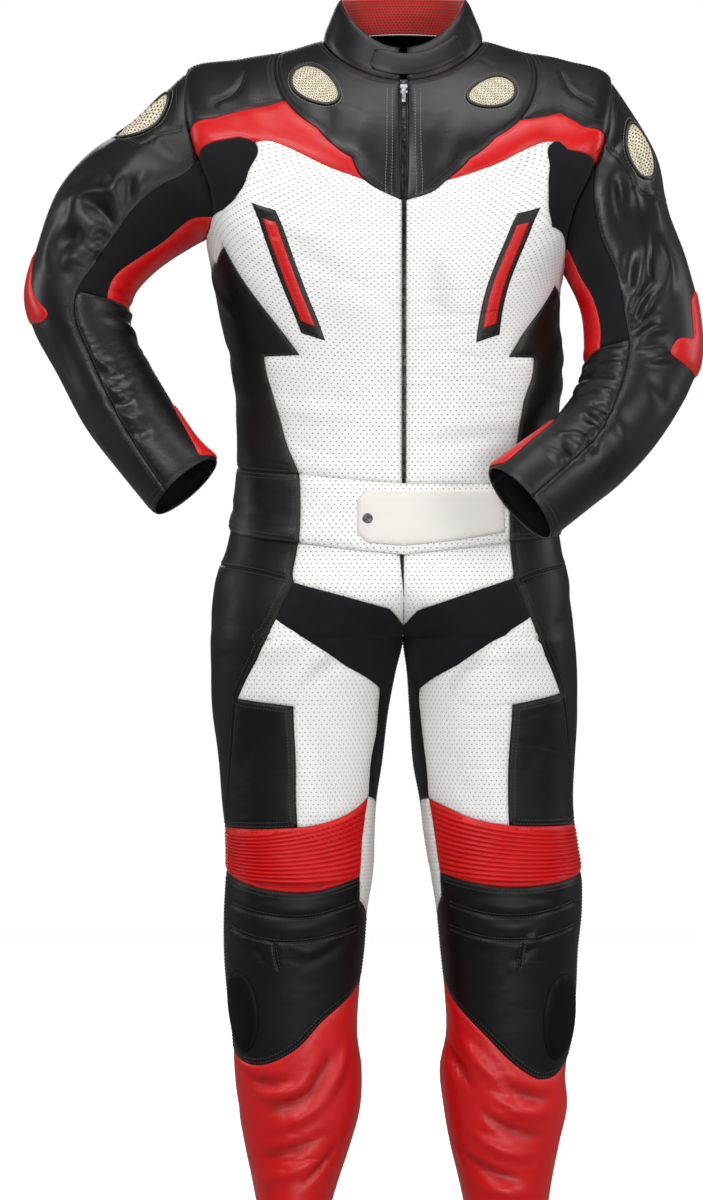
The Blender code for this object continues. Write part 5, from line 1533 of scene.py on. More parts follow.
# Corners at a fixed turn of the torso: name, turn on each side, height on each side.
TORSO_TURNS = (
    ("side_seam", 0.50, -0.275, -0.305),
    ("waist_side", 0.50, -0.517, -0.535),
    ("waist_back", 0.62, -0.518, -0.530),
    ("hem_side", 0.50, -0.593, -0.600),
)
ARMHOLE_TURNS = (0.00, 0.05, 0.10, 0.14, 0.18, 0.23, 0.27, 0.315, 0.36, 0.40, 0.45,
                 0.50, 0.55, 0.60, 0.65, 0.70, 0.75, 0.80, 0.85, 0.90, 0.95)
FRONTS = {Side.RIGHT: (-0.5, 0.0), Side.LEFT: (0.0, 0.5)}
WAIST_MIDDLE, HEM_BACK, HEM_FRONT = -0.522, -0.600, -0.629
SHOULDER_SEAM_RUN = 0.060
NECK_STEPS = 12
NECK_ZIP_TURN, RIM_ZIP_TURN = 0.014, 0.020
LEG_CORNERS = (
    ("fly_top", -0.007, -0.609, 0.007, -0.609),
    ("top_in", -0.131, -0.595, 0.133, -0.593),
    ("groin_out", -0.137, -0.664, 0.137, -0.658),
    ("groin_in", -0.017, -0.698, 0.017, -0.700),
    ("thigh_out", -0.160, -0.710, 0.159, -0.707),
    ("thigh_fall", -0.1685, -0.728, 0.1660, -0.725),
    ("thigh_turn", -0.1725, -0.736, 0.1695, -0.733),
    ("thigh_slope", -0.1765, -0.744, 0.1725, -0.741),
    ("thigh_rim", -0.184, -0.760, 0.178, -0.755),
    ("groin_slope", -0.138, -0.7245, 0.1355, -0.722),
    ("groin_rise", -0.116, -0.739, 0.112, -0.737),
    ("groin_fall", -0.072, -0.769, 0.066, -0.768),
    ("thigh_in", -0.028, -0.798, 0.019, -0.798),
    ("thigh_edge", -0.031, -0.840, 0.021, -0.840),
    ("thigh_low", -0.040, -0.890, 0.028, -0.895),
    ("knee_in", -0.043, -0.934, 0.031, -0.936),
    ("knee_rise", -0.064, -0.952, 0.053, -0.946),
    ("knee_top", -0.097, -0.965, 0.083, -0.959),
    ("knee_out", -0.133, -0.971, 0.132, -0.968),
    ("thigh_step", -0.138, -0.819, 0.136, -0.817),
    ("thigh_side", -0.209, -0.810, 0.198, -0.803),
    ("rib_in", -0.051, -0.990, 0.039, -0.985),
    ("rib_foot", -0.054, -1.035, 0.045, -1.030),
    ("rib_low", -0.128, -1.053, 0.131, -1.046),
    ("strip_foot", -0.054, -1.065, 0.047, -1.060),
    ("shin_rise", -0.097, -1.212, 0.083, -1.215),
    ("shin_bend", -0.135, -1.251, 0.147, -1.276),
    ("shin_low", -0.180, -1.272, 0.173, -1.290),
)
LEG_TURNS = (
    ("top_side", 0.5, -0.573, -0.580),
    ("top_back", 1.0, -0.580, -0.580),
    ("top_front", 0.0, -0.609, -0.609),
    ("knee_side", 0.5, -0.974, -0.969),
    ("knee_foot", 0.5, -1.027, -1.029),
    ("shin_side", 0.5, -1.257, -1.267),
    ("ankle_side", 0.5, -1.462, -1.462),
)
RISE = (-0.683, -0.704, -0.720, -0.730, CROTCH)
INSEAM = (-0.794, -0.940, -1.030, -1.085, -1.163, -1.462)
# Sleeve seams as turns at each ring, from the armhole.
SLEEVE_SEAMS = {
    "R": {"front": (0.18, 0.262, 0.270, 0.285, 0.275, 0.250, 0.225, 0.215, 0.205, 0.190, 0.180),
          "stripe": (0.315, 0.375, 0.391, 0.380, 0.350, 0.350)},
    "L": {"front": (0.18, 0.262, 0.270, 0.283, 0.292, 0.290, 0.285, 0.278, 0.257, 0.246, 0.240),
          "stripe": (0.36, 0.385, 0.384, 0.380, 0.376, 0.385)},
}
STRIPE_BACK, FOREARM_BACK = 0.56, 0.62
ELBOW_RING, CUFF_RING = 5, 10


def height_at(skin: Skin, u: float, z: float) -> float:
    """The run v at which the skin's turn u has the height z.

    Args:
        skin: The skin.
        u: The turn.
        z: The height.

    Returns:
        The run.
    """
    low, high = 0.0, 1.5
    for _ in range(40):
        middle = (low + high) / 2
        if skin.base(np.array([u]), np.array([middle]))[0, 2] > z:
            low = middle
        else:
            high = middle
    return (low + high) / 2


def hole(side: Side, turn: float) -> str:
    """Name of a corner of an armhole."""
    return "hole%03d_%s" % (round(turn * 1000), side.value)


def holes(side: Side, start: float, end: float) -> list[str]:
    """Names of an armhole's corners from one turn to another, in either direction.

    Args:
        side: The armhole's side.
        start: The first turn.
        end: The last turn.

    Returns:
        The names in order.
    """
    low, high = min(start, end), max(start, end)
    names = [hole(side, turn) for turn in ARMHOLE_TURNS if low - 1e-6 <= turn <= high + 1e-6]
    return names if start <= end else names[::-1]


def neck_turns() -> dict[str, float]:
    """Names and turns of the corners round the neck, from the right of the zip to its left.

    Returns:
        The turn of each name.
    """
    turns = {"neck_zip_R": -NECK_ZIP_TURN}
    for step in range(1, 2 * NECK_STEPS):
        turns["neck%02d" % step] = -step / NECK_STEPS
    turns["neck_zip_L"] = NECK_ZIP_TURN
    return turns


@dataclass
class Garment:
    """A skin with its pattern, and the panels, stitches and trims made on it."""

    finishes: Finishes
    rows: dict[str, bpy.types.NodeTree]
    panels: list[Panel] = field(default_factory=list)
    extra_rows: dict[Slot, list[Array]] = field(default_factory=dict)

    def cut(self, pattern: Pattern, name: str, slot: Slot, names: Sequence[str],
            material: bpy.types.Material | None = None, **settings: object) -> Panel:
        """Cuts a panel between named corners and builds it.

        Args:
            pattern: The skin's corners.
            name: The panel's name, which is its node's too.
            slot: Its material slot.
            names: Its corners in order.
            material: Its material, if it isn't the slot's usual one.
            **settings: Other fields of the panel.

        Returns:
            The panel.
        """
        return self.lay(pattern.skin, name, slot, pattern.rim(names), material, **settings)

    def lay(self, skin: Skin, name: str, slot: Slot, rim: Array,
            material: bpy.types.Material | None = None, **settings: object) -> Panel:
        """Builds a panel of any outline.

        Args:
            skin: The skin it lies on.
            name: Its name.
            slot: Its material slot.
            rim: Its outline on the cutting table.
            material: Its material, if it isn't the slot's usual one.
            **settings: Other fields of the panel.

        Returns:
            The panel.
        """
        usual = {Slot.BLACK: self.finishes.black, Slot.WHITE: self.finishes.white,
                 Slot.RED: self.finishes.red, Slot.STRETCH: self.finishes.stretch,
                 Slot.LINING: self.finishes.lining, Slot.MESH: self.finishes.mesh,
                 Slot.TAPE: self.finishes.tape}
        panel = Panel(name, skin, anticlockwise(np.asarray(rim)), slot,
                      material or usual[slot], **settings)
        panel.build()
        self.panels.append(panel)
        return panel

    def topstitch(self, skin: Skin, line: Array) -> None:
        """Adds a row of pale stitches on the leather.

        Args:
            skin: The skin it lies on.
            line: Its places on the cutting table.
        """
        out = skin.normal(line[:, 0] / skin.round_scale, line[:, 1])
        path = np.hstack([skin.surface(line, PUFF + STITCH_LIFT), out])
        self.extra_rows.setdefault(Slot.MESH, []).append(path)

    def sew_up(self, name: str) -> None:
        """Sews every row of stitches of the garment, a piece for each thread.

        Args:
            name: Name of the garment.
        """
        threads: dict[Slot, list[Array]] = {}
        for panel in self.panels:
            key = panel.slot if panel.slot in (Slot.WHITE, Slot.RED) else Slot.BLACK
            threads.setdefault(key, []).extend(panel.stitch_paths())
        for slot, paths in self.extra_rows.items():
            threads.setdefault(slot, []).extend(paths)
        for slot, paths in threads.items():
            if paths:
                colour = slot.value.split("_")[0]
                sew(f"{name}_{colour}_stitches", paths, self.rows[slot.value])


# --- creases, listed: u, v, half length, half width, height, turn, bend ----------------------
TORSO_CREASES = tuple(Crease(*row) for row in (
    (0.97, 0.545, 0.130, 0.016, -0.0050, 4), (-0.42, 0.560, 0.060, 0.015, -0.0045, 12),
    (0.42, 0.565, 0.060, 0.015, -0.0045, -14), (0.78, 0.330, 0.090, 0.018, 0.0045, 60),
    (-0.78, 0.330, 0.090, 0.018, 0.0045, -60), (-0.17, 0.085, 0.045, 0.010, -0.0022, 62, 0.3),
    (-0.085, 0.110, 0.060, 0.009, 0.0020, 70, -0.2), (0.10, 0.115, 0.060, 0.010, 0.0020, -68),
    (0.20, 0.150, 0.050, 0.010, -0.0018, -40, 0.3), (-0.30, 0.120, 0.045, 0.009, 0.0016, 20),
    (-0.43, 0.360, 0.050, 0.010, -0.0022, 48, 0.3), (-0.40, 0.420, 0.060, 0.011, 0.0022, 30),
    (0.42, 0.400, 0.055, 0.011, -0.0024, -42, 0.3), (0.41, 0.480, 0.050, 0.010, 0.0022, -26),
    (-0.46, 0.500, 0.055, 0.010, -0.0026, 14, 0.2), (-0.36, 0.610, 0.050, 0.009, 0.0020, 6),
    (0.47, 0.515, 0.050, 0.010, -0.0024, -10, 0.2), (-0.20, 0.560, 0.080, 0.013, 0.0014, 5),
    (0.16, 0.590, 0.090, 0.013, -0.0014, -6), (-0.05, 0.420, 0.075, 0.014, 0.0012, 74),
    (0.07, 0.360, 0.085, 0.015, -0.0012, 82), (-0.14, 0.300, 0.080, 0.016, -0.0012, 58),
    (-0.40, 0.690, 0.110, 0.0065, -0.0026, 3), (-0.32, 0.722, 0.090, 0.0065, 0.0022, -2),
    (-0.47, 0.742, 0.070, 0.0060, -0.0020, 5), (-0.20, 0.735, 0.060, 0.0060, -0.0018, -3),
    (0.30, 0.735, 0.070, 0.0060, 0.0016, 3), (0.40, 0.700, 0.070, 0.0065, -0.0022, -4),
    (0.66, 0.700, 0.100, 0.0070, -0.0024, 4), (0.84, 0.725, 0.110, 0.0070, 0.0022, -3),
    (-0.70, 0.700, 0.100, 0.0070, -0.0024, -4), (-0.90, 0.722, 0.110, 0.0070, 0.0020, 3),
    (0.99, 0.470, 0.120, 0.013, 0.0032, -5, 0.1), (0.90, 0.610, 0.110, 0.012, -0.0030, 8),
    (-0.88, 0.600, 0.110, 0.012, -0.0030, -9), (0.70, 0.520, 0.070, 0.012, -0.0030, 30, 0.2),
    (-0.70, 0.525, 0.070, 0.012, -0.0030, -28, 0.2), (0.68, 0.250, 0.075, 0.012, -0.0032, 68),
    (-0.68, 0.255, 0.075, 0.012, -0.0032, -66), (0.90, 0.180, 0.090, 0.014, 0.0018, 20),
    (-0.86, 0.160, 0.090, 0.014, 0.0018, -26), (1.00, 0.330, 0.100, 0.016, -0.0016, 88),
))
SLEEVE_CREASES = {
    Side.RIGHT: tuple(Crease(*row) for row in (
        (0.860, 0.245, 0.060, 0.0150, -0.0045, -15),
        (0.420, 0.300, 0.055, 0.0130, 0.0040, 10), (0.470, 0.235, 0.050, 0.0090, -0.0032, 14),
        (0.460, 0.265, 0.050, 0.0090, 0.0030, -10), (0.900, 0.140, 0.060, 0.0120, 0.0034, -40),
        (0.800, 0.190, 0.055, 0.0110, -0.0036, -22), (0.780, 0.225, 0.050, 0.0100, 0.0036, 12),
        (0.740, 0.275, 0.055, 0.0110, -0.0034, 4), (0.820, 0.300, 0.060, 0.0110, 0.0032, -26),
        (0.700, 0.330, 0.050, 0.0100, -0.0028, 18), (0.860, 0.360, 0.055, 0.0110, -0.0024, -62),
        (0.780, 0.410, 0.050, 0.0090, 0.0022, -80), (0.040, 0.060, 0.045, 0.0100, -0.0018, 82),
        (0.180, 0.075, 0.045, 0.0100, 0.0016, 70),
    )),
    Side.LEFT: tuple(Crease(*row) for row in (
        (0.880, 0.260, 0.060, 0.0150, -0.0045, 20), (0.440, 0.330, 0.050, 0.0130, 0.0040, -15),
        (0.470, 0.250, 0.050, 0.0090, -0.0032, -12), (0.460, 0.290, 0.050, 0.0090, 0.0030, 14),
        (0.900, 0.150, 0.060, 0.0120, 0.0034, 40), (0.800, 0.200, 0.055, 0.0110, -0.0036, 22),
        (0.770, 0.235, 0.050, 0.0100, 0.0036, -12), (0.740, 0.290, 0.055, 0.0110, -0.0034, -4),
        (0.820, 0.310, 0.060, 0.0110, 0.0032, 26), (0.700, 0.345, 0.050, 0.0100, -0.0028, -18),
        (0.850, 0.375, 0.055, 0.0110, -0.0024, 62), (0.780, 0.420, 0.050, 0.0090, 0.0022, 80),
        (0.030, 0.065, 0.045, 0.0100, -0.0018, 84),
    )),
}
COLLAR_CREASES = tuple(Crease(*row) for row in (
    (-0.30, 0.020, 0.030, 0.008, -0.0010, 60), (0.40, 0.025, 0.035, 0.009, 0.0010, -50),
    (0.85, 0.022, 0.040, 0.009, -0.0010, 20), (-0.75, 0.024, 0.040, 0.009, 0.0010, -15),
))


# --- folds that show from the front, measured on a grid over the front view ------------------
GRID_STEP = 0.00127
GRID_ZERO = (403, 60)       # the grid place of the origin, to the right and down
FOLD_FADE = 1.15            # a fold's length with its fading ends, against the measured one
STRAIGHT = 0.05             # a smaller bend than this is left out


@dataclass(frozen=True)
class Zone:
    """A stretch down a skin, and how much stronger or wider than measured its folds are."""

    low: float
    high: float
    height: float
    width: float = 1.0


@dataclass(frozen=True)
class Front:
    """The part of a skin that faces the front, where its measured folds are looked for."""

    turns: tuple[float, float]
    runs: tuple[float, float]
    zones: tuple[Zone, ...]


@dataclass(frozen=True)
class Fold:
    """A fold as it shows from the front: three places along it, and its section."""

    start: tuple[float, float]
    middle: tuple[float, float]
    end: tuple[float, float]
    half_width: float
    height: float

    def crease(self, skin: Skin, front: Front) -> Crease:
        """The crease that lies where the fold shows.

        Args:
            skin: The smooth skin it lies on.
            front: Where on it to look.

        Returns:
            The crease.
        """
        first, middle, last = (
            np.array(skin.flat(*skin.locate((right - GRID_ZERO[0]) * GRID_STEP,
                                            (GRID_ZERO[1] - down) * GRID_STEP,
                                            front.turns, front.runs)))
            for right, down in (self.start, self.middle, self.end))
        chord = last - first if last[0] >= first[0] else first - last
        half = float(np.linalg.norm(chord)) / 2
        turn = math.atan2(chord[1], chord[0])
        centre = (first + last) / 2
        out = np.array([-math.sin(turn), math.cos(turn)])
        aside = float((middle - centre) @ out)
        centre = centre + out * aside
        bend = -aside / half
        zone = next((zone for zone in front.zones if zone.low < centre[1] < zone.high),
                    Zone(0.0, 0.0, 1.0))
        return Crease(centre[0] / skin.round_scale, centre[1], half * FOLD_FADE,
                      self.half_width * zone.width, self.height * zone.height,
                      math.degrees(turn), bend if abs(bend) >= STRAIGHT else 0.0)


SLEEVE_FRONT = Front((0.0, 0.48), (0.02, 0.52), (Zone(0.09, 0.25, 1.25, 1.25),))
LEG_FRONT = Front((-0.05, 0.55), (0.60, 1.46),
                  (Zone(1.06, 1.105, 0.5), Zone(1.105, 1.20, 1.3), Zone(1.25, 1.50, 1.55, 0.92)))
# Start, middle and end on the grid, then half width and height in metres.
SLEEVE_FOLDS = {
    Side.RIGHT: tuple(Fold(*row) for row in (
        ((63, 207), (84, 199), (118, 193), 0.0085, 0.0062),
        ((88, 203), (104, 216), (116, 234), 0.0095, -0.0078),
        ((68, 226), (78, 214), (90, 214), 0.010, 0.0045),
        ((92, 244), (103, 240), (114, 249), 0.0075, -0.0062),
        ((66, 272), (78, 262), (92, 262), 0.009, 0.0045),
        ((92, 266), (104, 262), (115, 268), 0.006, -0.0050),
        ((62, 250), (72, 244), (86, 240), 0.008, -0.0040),
        ((121, 176), (119, 192), (122, 208), 0.009, 0.0050),
        ((134, 180), (128, 198), (130, 216), 0.008, -0.0040),
        ((150, 172), (144, 186), (134, 200), 0.008, 0.0034),
        ((92, 189), (104, 187), (114, 186), 0.004, -0.0026),
        ((55, 228), (50, 250), (54, 274), 0.010, 0.0030),
        ((150, 140), (172, 138), (192, 134), 0.007, 0.0024),
        ((165, 160), (180, 150), (194, 150), 0.008, -0.0024),
        ((96, 360), (104, 366), (118, 364), 0.006, 0.0034),
        ((100, 376), (112, 380), (126, 376), 0.006, -0.0038),
        ((106, 392), (118, 396), (136, 388), 0.006, 0.0040),
        ((108, 404), (122, 408), (138, 402), 0.005, -0.0040),
        ((120, 418), (132, 422), (148, 416), 0.006, 0.0034),
        ((126, 434), (140, 438), (156, 430), 0.006, -0.0030),
        ((60, 340), (70, 366), (84, 392), 0.010, -0.0022),
        ((92, 420), (104, 440), (120, 462), 0.010, 0.0022),
    )),
    Side.LEFT: tuple(Fold(*row) for row in (
        ((628, 340), (640, 326), (655, 316), 0.0065, -0.0070),
        ((627, 338), (634, 312), (650, 288), 0.0070, -0.0072),
        ((652, 288), (650, 262), (652, 236), 0.0080, -0.0050),
        ((634, 326), (644, 306), (658, 292), 0.0060, 0.0062),
        ((634, 300), (638, 274), (648, 246), 0.0070, 0.0050),
        ((626, 300), (624, 276), (628, 252), 0.0070, -0.0036),
        ((662, 300), (664, 276), (660, 250), 0.0080, 0.0044),
        ((632, 346), (648, 336), (664, 334), 0.0065, 0.0058),
        ((630, 356), (646, 352), (664, 352), 0.0060, -0.0050),
        ((634, 366), (650, 364), (668, 362), 0.0060, 0.0044),
        ((608, 180), (618, 200), (622, 226), 0.0075, -0.0034),
        ((620, 170), (630, 190), (636, 216), 0.0075, 0.0034),
        ((600, 160), (612, 150), (624, 146), 0.0070, -0.0026),
        ((645, 190), (652, 208), (656, 230), 0.0080, 0.0030),
        ((600, 352), (612, 350), (626, 352), 0.0060, -0.0044),
        ((596, 366), (608, 364), (622, 368), 0.0060, 0.0040),
        ((590, 380), (602, 380), (616, 384), 0.0060, -0.0040),
        ((586, 394), (598, 396), (612, 400), 0.0060, 0.0044),
        ((586, 408), (596, 413), (606, 416), 0.0050, -0.0056),
        ((576, 420), (588, 426), (600, 431), 0.0050, -0.0056),
        ((580, 413), (592, 420), (604, 424), 0.0050, 0.0046),
        ((556, 445), (566, 456), (574, 468), 0.0050, -0.0054),
        ((580, 440), (585, 450), (588, 460), 0.0050, -0.0046),
        ((566, 436), (576, 444), (584, 452), 0.0055, 0.0046),
        ((548, 436), (560, 440), (572, 438), 0.0050, 0.0036),
        ((540, 452), (550, 460), (556, 474), 0.0055, 0.0036),
        ((600, 420), (612, 434), (620, 452), 0.0070, 0.0026),
        ((640, 380), (650, 394), (660, 410), 0.0090, -0.0022),
        ((610, 456), (600, 474), (584, 490), 0.0090, -0.0020),
    )),
}
LEG_FOLDS = {
    Side.RIGHT: tuple(Fold(*row) for row in (
        ((236, 892), (290, 905), (352, 893), 0.0055, 0.0042),
        ((236, 903), (288, 915), (350, 904), 0.0040, -0.0030),
        ((238, 915), (280, 926), (344, 913), 0.0055, 0.0036),
        ((246, 940), (262, 950), (268, 966), 0.0060, -0.0028),
        ((290, 940), (312, 948), (330, 938), 0.0070, 0.0022),
        ((300, 960), (326, 950), (350, 930), 0.0070, -0.0022),
        ((244, 1066), (262, 1078), (290, 1070), 0.0070, -0.0040),
        ((252, 1084), (276, 1090), (306, 1074), 0.0075, 0.0044),
        ((262, 1104), (290, 1100), (324, 1078), 0.0070, -0.0046),
        ((262, 1124), (296, 1116), (330, 1092), 0.0080, 0.0042),
        ((330, 1046), (320, 1072), (300, 1096), 0.0080, -0.0040),
        ((346, 1040), (338, 1070), (322, 1100), 0.0080, 0.0036),
        ((258, 1150), (290, 1146), (326, 1130), 0.0080, -0.0040),
        ((256, 1176), (284, 1170), (318, 1158), 0.0080, 0.0034),
        ((300, 1180), (322, 1160), (338, 1136), 0.0070, -0.0034),
    )),
    Side.LEFT: tuple(Fold(*row) for row in (
        ((450, 890), (510, 903), (570, 892), 0.0055, 0.0042),
        ((452, 902), (512, 914), (570, 904), 0.0040, -0.0030),
        ((456, 914), (514, 925), (570, 915), 0.0055, 0.0034),
        ((520, 946), (530, 936), (544, 926), 0.0060, 0.0030),
        ((512, 960), (524, 948), (536, 942), 0.0055, -0.0028),
        ((460, 950), (476, 944), (494, 950), 0.0070, -0.0022),
        ((448, 1040), (460, 1066), (478, 1090), 0.0080, -0.0040),
        ((458, 1030), (476, 1056), (500, 1082), 0.0080, 0.0040),
        ((500, 1074), (524, 1090), (550, 1092), 0.0075, -0.0044),
        ((490, 1090), (516, 1106), (552, 1108), 0.0080, 0.0042),
        ((476, 1100), (506, 1124), (546, 1128), 0.0080, -0.0042),
        ((464, 1118), (496, 1144), (538, 1148), 0.0080, 0.0036),
        ((456, 1140), (484, 1164), (526, 1172), 0.0080, -0.0036),
        ((470, 1176), (496, 1186), (530, 1188), 0.0080, 0.0030),
    )),
}


def folded(skin: Skin, folds: Sequence[Fold], front: Front) -> Skin:
    """The skin with its measured folds added to its creases.

    Args:
        skin: The skin with the creases of its other sides.
        folds: Its folds.
        front: Where on it they are looked for.

    Returns:
        The same skin.
    """
    skin.creases = tuple(fold.crease(skin, front) for fold in folds) + tuple(skin.creases)
    return skin


# --- trims ----------------------------------------------------------------------------------
def tube(name: str, path: Array, out: Array, radius: float, material: bpy.types.Material,
         closed: bool = True, sides: int = 10, squash: float = 0.8
         ) -> bpy.types.Object:
    """A rounded cord laid along a path on a surface.

    Args:
        name: Name of the piece.
        path: Points along its middle.
        out: Outward vector at each point.
        radius: Half its width.
        material: Its material.
        closed: Whether its two ends meet.
        sides: Points round it.
        squash: Its height as a share of its width.

    Returns:
        The object.
    """
    before, after = np.roll(path, 1, axis=0), np.roll(path, -1, axis=0)
    if not closed:
        before[0], after[-1] = path[0], path[-1]
    along = after - before
    along /= np.linalg.norm(along, axis=1, keepdims=True)
    aside = np.cross(along, out)
    aside /= np.linalg.norm(aside, axis=1, keepdims=True)
    turns = 2 * np.pi * np.arange(sides) / sides
    rings = (path[:, None] + radius * (np.cos(turns)[None, :, None] * aside[:, None]
                                       + squash * np.sin(turns)[None, :, None] * out[:, None]))
    count = len(path)
    faces = []
    for ring in range(count if closed else count - 1):
        low, high = ring * sides, (ring + 1) % count * sides
        for side in range(sides):
            beside = (side + 1) % sides
            faces.append((low + side, low + beside, high + beside, high + side))
    if not closed:
        faces.append(tuple(range(sides)))
        faces.append(tuple(reversed(range((count - 1) * sides, count * sides))))
    mesh = bpy.data.meshes.new(name)
    mesh.from_pydata(rings.reshape(-1, 3).tolist(), [], faces)
    mesh.materials.append(material)
    mesh.shade_smooth()
    mesh.update()
    centre = path.mean(axis=0)
    first = np.array(mesh.polygons[0].normal)
    spoke = np.array(mesh.polygons[0].center) - path[0]
    if (first * spoke).sum() < 0:
        mesh.flip_normals()
    piece = bpy.data.objects.new(name, mesh)
    bpy.context.scene.collection.objects.link(piece)
    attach(piece, BODY)
    LOG.info("%s: %d faces round %s", name, len(faces), np.round(centre, 3))
    return piece


def view_oval(skin: Skin, place: Sequence[float], turns: Sequence[float],
              runs: Sequence[float], grow: float = 0.0, count: int = 44) -> Array:
    """A loop on a skin that shows as an egg in the front view.

    Args:
        skin: The skin.
        place: Centre x and z, half length, half width, tilt in degrees, and how much it narrows.
        turns: Lowest and highest u to look in.
        runs: Lowest and highest v to look in.
        grow: How much larger than stated it is, all round.
        count: Number of places.

    Returns:
        The loop.
    """
    x, z, half_long, half_wide, tilt, point = place
    angles = 2 * np.pi * np.arange(count) / count
    along = (half_long + grow) * np.cos(angles)
    aside = (half_wide + grow) * np.sin(angles) * (1 - point * np.cos(angles))
    turn = math.radians(tilt)
    return np.array([skin.flat(*skin.locate(x + a * math.cos(turn) - b * math.sin(turn),
                                            z + a * math.sin(turn) + b * math.cos(turn),
                                            turns, runs)) for a, b in zip(along, aside)])


@dataclass(frozen=True)
class Vent:
    """A ribbed mesh window in the leather, with a raised dark rim and a halo of stitches."""

    loop: Callable[[float], Array]
    ribs: float = 0.0056
    rib_height: float = 0.0012
    rim_radius: float = 0.0018

    def build(self, garment: Garment, skin: Skin, name: str) -> None:
        """Lays the mesh, its rim and its stitches on a skin.

        Args:
            garment: The garment it belongs to.
            skin: The skin it lies on.
            name: The mesh's name.
        """
        def ribbed(flats: Array, gap: Array) -> Array:
            """Upright ribs across the mesh, and its soft crown."""
            wave = np.cos(2 * np.pi * flats[:, 0] / self.ribs)
            return self.rib_height * wave + 0.0014 * smooth(gap / 0.015)

        garment.lay(skin, name, Slot.MESH, self.loop(0.0), net=0.0016, thick=OVERLAY,
                    puff=0.0, lift=SEAM_GAP + OVERLAY, dip=0.0006, rows=(), relief=ribbed)
        rim = anticlockwise(self.loop(0.0012))
        out = skin.normal(rim[:, 0] / skin.round_scale, rim[:, 1])
        tube(name + "_rim", skin.surface(rim, OVERLAY + 0.0008), out, self.rim_radius,
             garment.finishes.piping)
        halo = anticlockwise(self.loop(0.0048))
        garment.topstitch(skin, np.vstack([halo, halo[:1]]))


# --- jacket body ----------------------------------------------------------------------------
YOKE_SEAMS = (
    ((0.0140, -0.046), (0.0142, -0.090), (0.0144, -0.130), (0.0150, -0.180)),
    ((0.0205, -0.046), (0.0210, -0.090), (0.0215, -0.130), (0.0225, -0.178)),
)
ARMOUR_SEAM = ((0.200, -0.022), (0.206, -0.038), (0.216, -0.050), (0.238, -0.062))
BACK_SEAMS = (          # places (u, v)
    ((-0.60, 0.255), (-0.70, 0.225), (-0.85, 0.208), (-1.00, 0.203), (-1.15, 0.208),
     (-1.30, 0.225), (-1.40, 0.255)),
    ((-0.78, 0.215), (-0.80, 0.300), (-0.83, 0.420), (-0.82, 0.520), (-0.78, 0.600)),
    ((-1.22, 0.215), (-1.20, 0.300), (-1.17, 0.420), (-1.18, 0.520), (-1.22, 0.600)),
)


